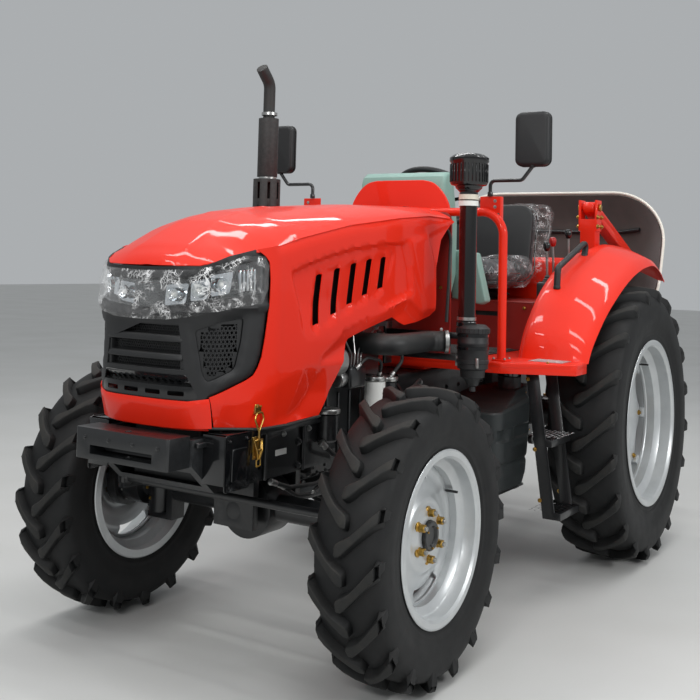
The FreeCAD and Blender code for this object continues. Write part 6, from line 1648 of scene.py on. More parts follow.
def buildDash():
    cowl = bmesh.new()
    side = curveThrough([Vector(p) for p in dash["cowl"][1:-1]], 5)
    half = [dash["cowl"][0]] + [tuple(p) for p in side] + [(0.06, 1.7045)]
    outline = half + [(-y, z) for y, z in half[::-1]]
    plate(cowl, outline, frontX - 1.002, frontX - 0.9855, "yz", 0.0035, 0, 3, 40)
    make("dashCowl", cowl, "chassis", [hoodPaint], ["dash_cowl"])

    shape = softBox([(frontX + x, z) for x, z in dash["housing"]], "xz", -dash["half"], dash["half"], 0.016)
    block(shape, ahead(-1.086, -0.128, 0.953), ahead(-0.950, 0.128, 1.200), 0.012, 0, segments=3)
    for way in (1, -1):  # knee shields beside the housing
        wing = [(way * y, z) for y, z in dash["shield"]]
        plate(shape, wing, frontX - 1.196, frontX - 1.140, "yz", 0.008, 0, 3, 40)
    (topX, topZ), (lowX, lowZ) = dash["face"]
    down = (Vector((lowX, 0, lowZ)) - Vector((topX, 0, topZ))).normalized()
    out = Vector((down.z, 0, -down.x))
    centre = ahead((topX + lowX) / 2, 0, (topZ + lowZ) / 2)
    turn = Matrix((Vector((0, 1, 0)), down, out)).transposed()  # across, down the face, towards the driver
    if turn.determinant() < 0:
        turn = Matrix((Vector((0, -1, 0)), down, out)).transposed()

    def onFace(across, fall, rise=0.0):
        return centre + turn @ Vector((across, fall, rise))

    half = Vector((0.172, 0.068, 0.002))
    block(shape, centre + out * 0.001 - half, centre + out * 0.001 + half, 0.0015, 1, turn)
    for across, fall, radius in ((0.0, -0.004, 0.056), (0.105, 0.010, 0.036), (-0.105, 0.010, 0.036)):
        spot = onFace(across, fall, 0.002)
        turned(shape, [(0.0, radius), (0.008, radius), (0.009, radius - 0.004), (0.003, radius - 0.006),
                       (0.0, radius - 0.006)],
               spot, out, 2, 36, True)
        rod(shape, spot, spot + out * 0.0025, radius - 0.005, 3, 36, 0)
        for count in range(25):
            swing = math.radians(-225 + count * 11.25)
            reach = radius - 0.012
            tick = onFace(across + reach * math.cos(swing), fall + reach * math.sin(swing), 0.0046)
            rod(shape, tick, tick + out * 0.0008, 0.0012 if count % 4 else 0.0020, 4, 6, 0)
        tip = onFace(across + (radius - 0.014) * math.cos(-2.2), fall + (radius - 0.014) * math.sin(-2.2),
                     0.0056)
        rod(shape, spot + out * 0.0056, tip, 0.0012, 5, 6, 0)
        rod(shape, spot + out * 0.002, spot + out * 0.0075, 0.005, 2, 14, 0.0008)
    for count in range(6):
        spot = onFace(-0.05 + count * 0.02, 0.058, 0.002)
        rod(shape, spot, spot + out * 0.003, 0.005, 6 if count % 2 else 5, 14, 0.0008)
    for across, kind in ((0.150, 2), (-0.150, 2), (0.185, 7), (-0.185, 2)):
        spot = ahead(-1.149, across, 1.465)
        rod(shape, spot, spot + Vector((-0.008, 0, 0)), 0.014, 2, 20, 0.0015)
        rod(shape, spot, spot + Vector((-0.024, 0, 0)), 0.008, kind, 14, 0.0015)
    turned(shape, [(0.0, 0.062), (0.012, 0.060), (0.014, 0.050), (0.028, 0.047), (0.030, 0.040),
                   (0.046, 0.037),
                   (0.048, 0.030), (0.060, 0.028), (0.060, 0.022)], ahead(-1.128, 0, 1.377),
           (-0.616, 0, 0.788), 8, 28)
    make("dashHousing", shape, "chassis",
         [sagePlastic, blackPlastic, glossBlack, dialFace, signalWhite, redLens, amberLens, brightSteel,
          hoseRubber],
         ["dashboard"], 35)
    bulk = fromNode("bulkhead", 0.0025)
    for y in (-0.24, -0.12, 0.12, 0.24):
        for z in (1.02, 1.24, 1.46):
            bolt(bulk, ahead(-0.935, y, z), (1, 0, 0), 0.006, 1)
    make("bulkheadSheet", bulk, "chassis", [shadedRed, zincGold], ["bulkhead"])


wheelGrip = {"centre": (-1.345, 1.655), "tilt": -38, "radius": 0.190, "grip": 0.0138,
             "spokes": (90, 210, 330)}


def buildSteering():
    shape = bmesh.new()
    ring = [(wheelGrip["grip"] * math.sin(a), wheelGrip["radius"] + wheelGrip["grip"] * math.cos(a))
            for a in (math.tau * i / 16 for i in range(16))]
    turned(shape, ring, finish=0, steps=72, closed=True)
    for angle in wheelGrip["spokes"]:
        a = math.radians(angle)
        reach = Vector((math.cos(a), math.sin(a), 0))
        sweep(shape, [reach * 0.026 + Vector((0, 0, -0.026)), reach * 0.09 + Vector((0, 0, -0.022)),
                      reach * 0.187 + Vector((0, 0, -0.001))], 0.0105, 0.05, 1, 12, 5, 0.45)
    turned(shape, [(-0.034, 0.0), (-0.034, 0.034), (-0.028, 0.0385), (-0.014, 0.0385), (-0.006, 0.034),
                   (-0.001, 0.022),
                   (0.0005, 0.0)], finish=0, steps=36)
    turned(shape, [(-0.336, 0.0), (-0.336, 0.020), (-0.060, 0.020), (-0.055, 0.017), (-0.034, 0.017),
                   (-0.034, 0.0)],
           finish=2, steps=24)
    put(shape, Matrix.Rotation(math.radians(wheelGrip["tilt"]), 3, "Y"),
        ahead(wheelGrip["centre"][0], 0, wheelGrip["centre"][1]))
    make("steeringWheel", shape, "chassis", [blackPlastic, glossBlack, satinBlack],
         ["steering_wheel"], 40)


controls = {"levers": ((-1.600, 0.172), (-1.680, 0.196), (-1.890, 0.240)), "leverY": 0.458,
            "console": (-1.958, -1.532, 0.427, 0.489)}


def buildControls():
    shape = bmesh.new()
    for way in (1, -1):
        for number, (x, high) in enumerate(controls["levers"]):
            foot = ahead(x, way * controls["leverY"], 1.268)
            top = foot + Vector((high * 0.0995, 0, high))
            rod(shape, foot, top, 0.0055, 1, 12, 0)
            turned(shape, [(0.0, 0.024), (0.004, 0.025), (0.010, 0.019), (0.014, 0.020), (0.020, 0.013),
                           (0.024, 0.014),
                           (0.032, 0.008), (0.034, 0.0)], foot, (0.1, 0, 1), 2, 20)
            knob = [(-0.030, 0.007), (-0.026, 0.0115), (-0.010, 0.0165), (0.004, 0.0172), (0.013, 0.0120),
                    (0.0165, 0.0)]
            turned(shape, knob, top, (0.1, 0, 1), 3 if way > 0 and number == 1 else 0, 24)
    wall = -0.945
    for y in (0.190, -0.190, -0.258):
        sweep(shape, [ahead(wall - 0.002, y, 1.047), ahead(wall - 0.050, y, 1.050),
                      ahead(wall - 0.092, y, 1.046)], 0.0068,
              0.03, 4, 12, 4)
        half = Vector((0.0052, 0.030, 0.0345))
        middlePad = ahead(wall - 0.0962, y, 1.045)
        block(shape, middlePad - half, middlePad + half, 0.003, 2)
        for i in range(5):
            z = middlePad.z - 0.026 + i * 0.013
            block(shape, Vector((middlePad.x - 0.0058, y - 0.026, z - 0.003)),
                  Vector((middlePad.x, y + 0.026, z + 0.003)),
                  0.001, 2, segments=1)
    make("leversAndPedals", shape, "chassis",
         [glossBlack, brightSteel, hoseRubber, redLens, satinBlack], ["controls"], 40)
    rear, front, inner, outer = controls["console"]
    boxes = bmesh.new()
    for way in (1, -1):
        low, high = span(way, inner, outer)
        block(boxes, ahead(rear, low, 0.952), ahead(front, high, 1.268), 0.014, 0, segments=4)
        for x, _ in controls["levers"]:
            block(boxes, ahead(x - 0.032, way * controls["leverY"] - 0.026, 1.2665),
                  ahead(x + 0.040, way * controls["leverY"] + 0.026, 1.2702),
                  0.0015, 1)
        for z in (1.00, 1.08, 1.16):
            block(boxes, ahead(rear + 0.03, way * (inner - 0.0012) - 0.002, z), ahead(front - 0.03,
                  way * (inner - 0.0012) + 0.002, z + 0.012), 0.001, 0, segments=1)
    make("sideConsoles", boxes, "chassis", [blackPlastic, glossBlack], ["side_consoles"], 35)


buildPlatform()
buildDeck()
buildHandles()
buildArch()
buildMirrors()
buildDash()
buildSteering()
buildControls()
print("driver's station done")


# seat, tank, tool box, steps, air cleaner, exhaust and lamps
def loft(piece, rings, finish=0, relief=None):  # closed body through rings of the same count, bottom to top
    shape = bmesh.new()
    face = shape.faces.new([shape.verts.new(spot) for spot in rings[0]])
    for ring in rings[1:]:
        grown = bmesh.ops.extrude_face_region(shape, geom=[face])["geom"]
        face = next(g for g in grown if isinstance(g, bmesh.types.BMFace))
        for vert, spot in zip(face.verts, ring):
            vert.co = spot
    outward(shape)
    if relief:
        relief(shape)
    join(piece, shape, finish)


def waisted(form, x, y):  # sides pulled in between the corners
    length, width, pull = form["length"], form["width"], form["pull"]
    a, b = x * 2 / length - 1, y * 2 / width
    return length / 2 * (1 + a * (1 - pull * (1 - b * b))), width / 2 * b * (1 - pull * (1 - a * a))


def padForm(form, cell=0.016):  # crowned closed form; its sides pull in between the corners
    length, width, thick = (form[k] for k in ("length", "width", "thick"))
    loop = evenly(cornered(0, length, -width / 2, width / 2, form["corner"], 5), cell, True)
    outline = [waisted(form, p.x, p.y) for p in loop]
    shape = fillOutline(outline, (), (), cell)
    places = np.array([(v.co.x, v.co.y) for v in shape.verts])
    deep = nearestEdge(places, outline)
    crown = np.sqrt(1 - (1 - np.clip(deep / form["round"], 0, 1)) ** 2)
    side = np.abs(places[:, 1]) * 2 / width
    level = thick - form["dish"] * (1 - smoothStep((side - 0.50) / 0.25))
    if form.get("swell"):
        level = level + form["swell"] * np.sin(math.pi * np.clip(places[:, 0] / length, 0, 1))
    middleLevel = thick * 0.42
    tops = middleLevel + 0.004 + (level - middleLevel) * crown
    lows = (middleLevel - 0.004) * (1 - crown ** 2)
    lower = []
    for vert, top, low in zip(shape.verts, tops, lows):
        lower.append((vert, Vector((vert.co.x, vert.co.y, float(low)))))
        vert.co.z = float(top)
    bmesh.ops.extrude_face_region(shape, geom=shape.faces[:])
    for vert, spot in lower:
        vert.co = spot
    outward(shape)
    return shape


def inflate(thing, cap, voxel=0.006):  # cloth under pressure, each point held to a small travel
    modified(thing, "REMESH", mode="VOXEL", voxel_size=voxel)
    applied(thing)
    count = len(thing.data.vertices)
    start, end = np.empty(count * 3), np.empty(count * 3)
    thing.data.vertices.foreach_get("co", start)
    cloth = modified(thing, "CLOTH")
    cloth.settings.use_pressure = True
    cloth.settings.uniform_pressure_force = 4
    cloth.settings.effector_weights.gravity = 0
    scene = bpy.context.scene
    for step in range(1, 21):
        scene.frame_set(step)
    ready = thing.evaluated_get(bpy.context.evaluated_depsgraph_get()).to_mesh()
    ready.vertices.foreach_get("co", end)
    moved = (end - start).reshape(-1, 3)
    far = np.linalg.norm(moved, axis=1, keepdims=True)
    moved *= np.minimum(1.0, cap / np.maximum(far, 1e-9))
    thing.modifiers.clear()
    thing.data.vertices.foreach_set("co", start + moved.ravel())
    scene.frame_set(1)


# a stuffed piece with its sewn channels pressed in afterwards
def pad(name, form, grooves, turn, spot, node):
    shape = padForm(form)
    small = form["shrink"]
    centre = Vector((form["length"] / 2, 0, form["thick"] / 2))
    sizes = [1 - 2 * small / form[k] for k in ("length", "width", "thick")]
    bmesh.ops.translate(shape, vec=-centre, verts=shape.verts)
    bmesh.ops.scale(shape, vec=sizes, verts=shape.verts)
    bmesh.ops.translate(shape, vec=centre, verts=shape.verts)
    thing = addObject("pad", asMesh(shape, "pad"))
    inflate(thing, form["cap"])
    modified(thing, "SUBSURF", levels=1, render_levels=1)
    applied(thing)
    shape = bmesh.new()
    shape.from_mesh(thing.data)
    bpy.data.objects.remove(thing)
    shape.normal_update()
    places = np.array([v.co[:] for v in shape.verts])
    inner = np.abs(places[:, 1]) < form["width"] * 0.36
    sink = np.zeros(len(places))
    for x in grooves:
        sink = np.maximum(sink, np.where(inner, np.exp(-((places[:, 0] - x) / 0.006) ** 2), 0))
    bolster = np.abs(np.abs(places[:, 1]) - form["width"] * 0.34)
    sink = np.maximum(sink, np.exp(-(bolster / 0.006) ** 2))
    sink *= np.where(places[:, 2] > form["thick"] * 0.55, 1.0, 0.0) * form["groove"]
    pucker = 0.0011 * np.sin(places[:, 0] * 160 + 3 * np.sin(places[:, 1] * 30)) * np.exp(-(bolster / 0.03) ** 2)
    for vert, deep, wave in zip(shape.verts, sink, pucker):
        vert.co -= vert.normal * float(deep + wave)
    seam = cornered(0.002, form["length"] - 0.002, 0.002 - form["width"] / 2, form["width"] / 2 - 0.002,
                    form["corner"])
    pulled = [Vector((*waisted(form, x, y), form["thick"] * 0.42)) for x, y in evenly(seam, 0.03, True)]
    sweep(shape, pulled + pulled[:1], 0.0042, 0, 1, 8)
    put(shape, turn, spot)
    thing = make(name, shape, "chassis", [seatVinyl, glossBlack], [node], 70)
    return thing


seat = {
    "cushion": {"length": 0.372, "width": 0.480, "thick": 0.108, "corner": 0.070, "pull": 0.035,
                "round": 0.046,
                "dish": 0.020, "shrink": 0.007, "cap": 0.010, "groove": 0.008},
    "back": {"length": 0.405, "width": 0.470, "thick": 0.104, "corner": 0.085, "pull": 0.045, "round": 0.048,
             "dish": 0.024, "shrink": 0.007, "cap": 0.010, "groove": 0.008},
    "cushionAt": (-1.856, 1.258), "backAt": (-1.955, 1.258), "lean": 10.5,
    "film": {"length": 0.425, "width": 0.560, "thick": 0.165, "corner": 0.060, "pull": 0.02, "round": 0.060,
             "dish": 0.012},
}


def crumpled(shape, amount, scale):  # ridged folds like those of stiff film
    shape.normal_update()
    moves = []
    for vert in shape.verts:
        fold = noise.ridged_multi_fractal(vert.co * scale, 1.0, 2.1, 3, 1.0, 2.0)
        moves.append((fold - 1.1) * amount)
    for vert, move in zip(shape.verts, moves):
        vert.co += vert.normal * move


def buildSeat():
    lean = Matrix.Rotation(math.radians(-90 - seat["lean"]), 3, "Y")
    flat = Matrix.Identity(3)
    (backX, backZ), (cushionX, cushionZ) = seat["backAt"], seat["cushionAt"]
    pad("seatCushion", seat["cushion"], (0.12, 0.205, 0.29), flat, ahead(cushionX, 0, cushionZ),
        "seat_cushion")
    pad("seatBack", seat["back"], (0.10, 0.20, 0.30), lean, ahead(backX, 0, backZ), "seat_back")
    shell = bmesh.new()  # moulded pan behind the back and under the cushion
    pan = softBox(cornered(0.004, 0.398, -0.222, 0.222, 0.075), "xy", -0.022, 0.004, 0.010)
    put(pan, lean, ahead(backX, 0, backZ))
    join(shell, pan, 0)
    pan = softBox(cornered(0.004, 0.366, -0.226, 0.226, 0.065), "xy", -0.014, 0.006, 0.006)
    put(pan, flat, ahead(cushionX, 0, cushionZ))
    join(shell, pan, 0)
    pleats = 9
    for i in range(pleats):  # bellows between the suspension's two frames
        low = 0.985 + i * 0.252 / pleats
        rings = []
        for share, grow in ((0.0, -0.012), (0.5, 0.008), (1.0, -0.012)):
            z = low + share * 0.252 / pleats
            rings.append([ahead(x, y, z) for x, y in cornered(-1.930 - grow, -1.600 + grow, -0.138 - grow,
                                                              0.138 + grow, 0.05)])
        loft(shell, rings, 1)
    for low, high in ((0.951, 0.986), (1.236, 1.250)):
        plate(shell, [(frontX + x, y) for x, y in cornered(-1.955, -1.575, -0.150, 0.150, 0.03)], low, high,
              "xy", 0.004, 2)
    for way in (1, -1):
        rod(shell, ahead(-1.66, way * 0.15, 0.972), ahead(-1.66, way * 0.172, 0.972), 0.022, 0, 20, 0.004)
        block(shell, ahead(-1.80, way * 0.158 - 0.012, 0.962), ahead(-1.70, way * 0.158 + 0.012, 0.984),
              0.004, 2)
    make("seatPan", shell, "chassis", [blackPlastic, hoseRubber, satinBlack], ["seat_base"],
         35)

    film = bmesh.new()
    wide = dict(seat["film"], length=0.430, width=0.600, thick=0.150)
    for form, turn, spot in ((seat["film"], lean, ahead(backX - 0.030, 0, backZ + 0.004)),
                             (wide, flat, ahead(cushionX - 0.020, 0, cushionZ - 0.024))):
        bag = padForm(form, 0.011)
        crumpled(bag, 0.010, 9.0)
        put(bag, turn, spot)
        join(film, bag, 0)
    make("seatFilm", film, "chassis", [clearFilm], (), 25)


tank = {  # height, rear, front, inner side, outer side, corner, and how far the top falls towards the front
    "rings": ((0.412, -1.222, -0.925, 0.262, 0.500, 0.046, 0.0), (0.420, -1.232, -0.915, 0.250, 0.512, 0.056,
                                                                  0.0),
              (0.470, -1.240, -0.903, 0.235, 0.524, 0.056, 0.0), (0.640, -1.247, -0.889, 0.220, 0.534, 0.052,
                                                                  0.0),
              (0.768, -1.249, -0.884, 0.217, 0.538, 0.050, 0.030),
              (0.784, -1.246, -0.890, 0.222, 0.533, 0.050, 0.036),
              (0.800, -1.240, -0.930, 0.240, 0.522, 0.050, 0.046),
              (0.818, -1.240, -1.020, 0.300, 0.518, 0.045, 0.040),
              (0.832, -1.238, -1.090, 0.360, 0.514, 0.040, 0.020)),
    "steps": 46, "groove": 0.530, "panels": ((-1.215, -1.040, 0.622, 0.680), (-0.985, -0.915, 0.622, 0.676)),
    "neck": (-1.185, 0.452),
}


def tankRelief(shape):
    for vert in shape.verts:
        x, y, z = vert.co.x - frontX, vert.co.y, vert.co.z
        sink = 0.006 * math.exp(-((z - tank["groove"]) / 0.008) ** 2)
        if y > 0.49:
            for rear, front, low, high in tank["panels"]:
                edge = min(x - rear, front - x, z - low, high - z)
                sink += 0.011 * float(smoothStep(np.array(edge / 0.009)))
        middleX, middleY = -1.065, 0.378
        vert.co.x -= sink * (x - middleX) / 0.2
        vert.co.y -= sink * (y - middleY) / 0.16


def buildTank():
    rows = tank["rings"]
    rings = []
    for step in range(tank["steps"] + 1):
        z = rows[0][0] + (rows[-1][0] - rows[0][0]) * step / tank["steps"]
        rear, front, inner, outer, corner, fall = (between([(r[0], r[k]) for r in rows], z)
                                                   for k in range(1, 7))
        loop = evenly(cornered(rear, front, inner, outer, corner, 6), 0.020, True)
        if not rings:
            count = len(loop)
        reach = [0.0]
        for a, b in zip(loop, loop[1:] + loop[:1]):
            reach.append(reach[-1] + (b - a).length)
        ring = []
        for i in range(count):
            want, k = reach[-1] * i / count, 0
            while reach[k + 1] < want:
                k += 1
            spot = loop[k].lerp(loop[(k + 1) % len(loop)], (want - reach[k]) / (reach[k + 1] - reach[k]))
            ring.append(ahead(spot.x, spot.y, z - fall * (spot.x - rear) / (front - rear)))
        rings.append(ring)
    shape = bmesh.new()
    loft(shape, rings, 0, tankRelief)
    x, y = tank["neck"]
    turned(shape, [(0.0, 0.0), (0.0, 0.064), (0.020, 0.058), (0.028, 0.053), (0.070, 0.053), (0.074, 0.048),
                   (0.074, 0.0)],
           ahead(x, y, 0.795), (0, 0, 1), 0, 8)
    turned(shape, [(0.0, 0.0), (0.0, 0.050), (0.004, 0.052), (0.018, 0.052), (0.022, 0.048), (0.023, 0.0)],
           ahead(x, y, 0.868), (0, 0, 1), 1, 36)
    block(shape, ahead(-1.262, 0.205, 0.398), ahead(-0.905, 0.490, 0.409), 0.002, 2)
    plate(shape, [(frontX + a, b) for a, b in ((-1.262, 0.400), (-1.252, 0.400), (-1.252, 0.640),
                                               (-1.262, 0.640))],
          0.225, 0.470, "xz", 0.0015, 2)
    make("fuelTank", shape, "chassis", [tankPlastic, glossBlack, satinBlack], ["fuel_tank"],
         40)
    box = fromNode("tool_box", 0.003)
    for z in (0.50, 0.62, 0.72):
        block(box, ahead(-1.165, -0.503, z), ahead(-0.905, -0.499, z + 0.012), 0.002)
    for x0 in (-1.12, -0.95):
        block(box, ahead(x0 - 0.016, -0.509, 0.745), ahead(x0 + 0.016, -0.499, 0.795), 0.002, 1)
        bolt(box, ahead(x0, -0.507, 0.780), (0, -1, 0), 0.005, 1)
    make("toolBox", box, "chassis", [satinBlack, zincGold], ["tool_box"])


def buildSteps():
    shape = fromNode("steps", 0.002)
    for way in (1, -1):
        inner, outer = span(way, 0.600, 0.735)
        for level in (0.352, 0.652):
            chequer(shape, (frontX - 1.222, inner), (frontX - 1.034, outer), level + 0.0005, 1)
        for z in (0.40, 0.60, 0.88):
            for x, out in ((-1.236, -1), (-1.019, 1)):
                bolt(shape, ahead(x, way * (0.66 - (z - 0.4) * 0.12), z), (out, 0, 0), 0.007, 2)
    make("stepLadders", shape, "chassis", [satinBlack, chequerSilver, zincGold], ["steps"])


air = {"canister": (-0.706, 0.500, 0.060), "stack": (-0.700, 0.474, 0.0345)}


def buildAir():
    x, y, radius = air["canister"]
    shape = bmesh.new()
    body = [(0.935, 0.0), (0.935, radius - 0.006), (0.939, radius), (0.958, radius), (0.960, radius + 0.003),
            (0.972, radius + 0.003), (0.974, radius), (1.030, radius), (1.032, radius + 0.0015),
            (1.040, radius + 0.0015),
            (1.042, radius), (1.074, radius), (1.076, radius + 0.005), (1.094, radius + 0.005),
            (1.098, radius + 0.001),
            (1.108, radius - 0.012), (1.109, 0.0)]
    turned(shape, body, ahead(x, y, 0), (0, 0, 1), 0, 44)
    turned(shape, [(0.936, radius - 0.010), (0.905, radius - 0.014), (0.893, 0.030), (0.872, 0.022),
                   (0.868, 0.012),
                   (0.850, 0.013), (0.848, 0.0), (0.936, 0.0)], ahead(x, y, 0), (0, 0, 1), 1, 32)
    for dx, dy in circle(radius + 0.004, 24):  # knurls of the lid
        spot = ahead(x + dx, y + dy, 1.085)
        rod(shape, spot - Vector((0, 0, 0.008)), spot + Vector((0, 0, 0.008)), 0.0028, 0, 6, 0)
    for count in range(3):  # toggle clips
        a = math.radians(40 + count * 120)
        out = Vector((math.cos(a), math.sin(a), 0))
        spot = ahead(x, y, 0.962) + out * (radius + 0.003)
        block(shape, spot - Vector((0.006, 0.006, 0.018)), spot + Vector((0.006, 0.006, 0.020)), 0.002, 2)
    for z in (1.012, 1.062):
        collar(shape, ahead(x, y, 0), z, z + 0.010, radius, 0.0022, 3, 44)
    stackX, stackY, wide = air["stack"]
    turned(shape, [(1.100, 0.0), (1.100, wide + 0.006), (1.116, wide + 0.006), (1.122, wide), (1.566, wide),
                   (1.572, wide + 0.002), (1.626, wide + 0.002), (1.634, wide + 0.010),
                   (1.640, wide + 0.010), (1.640, 0.0)],
           ahead(stackX, stackY, 0), (0, 0, 1), 3, 36)
    for low, high, kind in ((1.572, 1.592, 4), (1.597, 1.617, 5)):
        collar(shape, ahead(stackX, stackY, 0), low, high, wide, 0.0045, kind)
    collar(shape, ahead(stackX, stackY, 0), 1.124, 1.136, wide, 0.0035, 2)
    for z in (0.975, 1.060):
        block(shape, ahead(x - 0.016, 0.115, z - 0.012), ahead(x + 0.016, y - radius + 0.012, z + 0.012),
              0.002, 6)
    block(shape, ahead(x - 0.030, 0.112, 0.930), ahead(x + 0.030, 0.122, 1.100), 0.002, 6)
    make("airCleaner", shape, "chassis",
         [blackPlastic, hoseRubber, brightSteel, glossBlack, signalWhite, bandCream, satinBlack],
         ["air_cleaner"], 40)

    bowl = bmesh.new()
    radius = 0.073
    turned(bowl, [(1.636, 0.0), (1.636, 0.046), (1.642, 0.052), (1.650, 0.054), (1.654, radius - 0.004),
                  (1.660, radius),
                  (1.742, radius), (1.748, radius + 0.005), (1.762, radius + 0.005), (1.768, radius - 0.002),
                  (1.776, 0.058), (1.781, 0.030), (1.7825, 0.0)], ahead(stackX, stackY, 0), (0, 0, 1), 0, 48)
    for count in range(30):  # upright vanes of the bowl
        a = math.tau * count / 30
        spot = ahead(stackX + radius * math.cos(a), stackY + radius * math.sin(a), 1.701)
        half = Vector((0.0035, 0.0022, 0.036))
        block(bowl, spot - half, spot + half, 0.001, 0, Matrix.Rotation(a, 3, "Z"), 1)
    for dx, dy in circle(0.064, 12, 0.5):
        spot = ahead(stackX + dx, stackY + dy, 1.768)
        rod(bowl, spot, spot + Vector((0, 0, 0.004)), 0.003, 1, 8, 0)
    make("preCleaner", bowl, "chassis", [glossBlack, brightSteel], ["precleaner"], 40)

    duct = fromNode("intake_duct", 0.0)
    collar(duct, ahead(-0.650, 0.405, 1.038), 0.0, 0.014, 0.041, 0.0035, 1, 32, (-0.55, 0.835, 0))
    bolt(duct, ahead(-0.640, 0.395, 1.086), (0.6, 0.4, 0), 0.005, 1)
    make("intakeDuct", duct, "chassis", [hoseRubber, brightSteel], ["intake_duct"], 50)


def buildExhaust():
    shape = fromNode("exhaust", 0.0012)
    x, y = -0.510, -0.375
    for z, radius in ((1.952, 0.030), (1.676, 0.034)):
        collar(shape, ahead(x, y, 0), z, z + 0.012, radius, 0.004, 1, 32)
    make("exhaustStack", shape, "chassis", [heatBlack, brightSteel], ["exhaust"], 40)


def buildTail():
    shape = fromNode("tail_lamps", 0.003)
    for way in (1, -1):
        y = way * 0.490
        for z, radius, kind in ((1.375, 0.020, 0), (1.330, 0.016, 1)):
            turned(shape, [(0.0, 0.0), (0.0, radius), (0.006, radius), (0.010, radius * 0.8), (0.012, 0.0)],
                   ahead(-2.140, y, z), (-1, 0, 0), kind, 24)
    make("tailLamps", shape, "chassis", [redLens, amberLens, satinBlack], ["tail_lamps"])


buildSeat()
buildTank()
buildSteps()
buildAir()
buildExhaust()
buildTail()
print("seat, tank and stacks done")


# front axle, front frame, engine bay, gearbox and rear linkage
def addBolts(shape, spots, axis, size=0.009, finish=1):
    for x, y, z in spots:
        bolt(shape, ahead(x, y, z), axis, size, finish)


def hose(shape, points, radius=0.007, finish=2, ends=3, bend=0.05):  # hose with a crimped fitting at each end
    spots = [ahead(*p) for p in points]
    sweep(shape, spots, radius, bend, finish, 12, 6)
    for a, b in ((spots[0], spots[1]), (spots[-1], spots[-2])):
        along = (b - a).normalized()
        rod(shape, a - along * 0.004, a + along * 0.020, radius * 1.35, ends, 14, 0.001)
        rod(shape, a - along * 0.010, a - along * 0.001, radius * 1.6, ends, 6, 0.001)


underFinishes = [castDark, zincGold, hoseRubber, brightSteel, satinBlack, signalWhite]


skirt = {"box": (0.435, 0.560, 0.640, 0.812, 0.286)}
noseCut = {"through": (0.610, 0, 0.715), "facing": (0.095, 0, -0.110)}  # front frame's lower corner


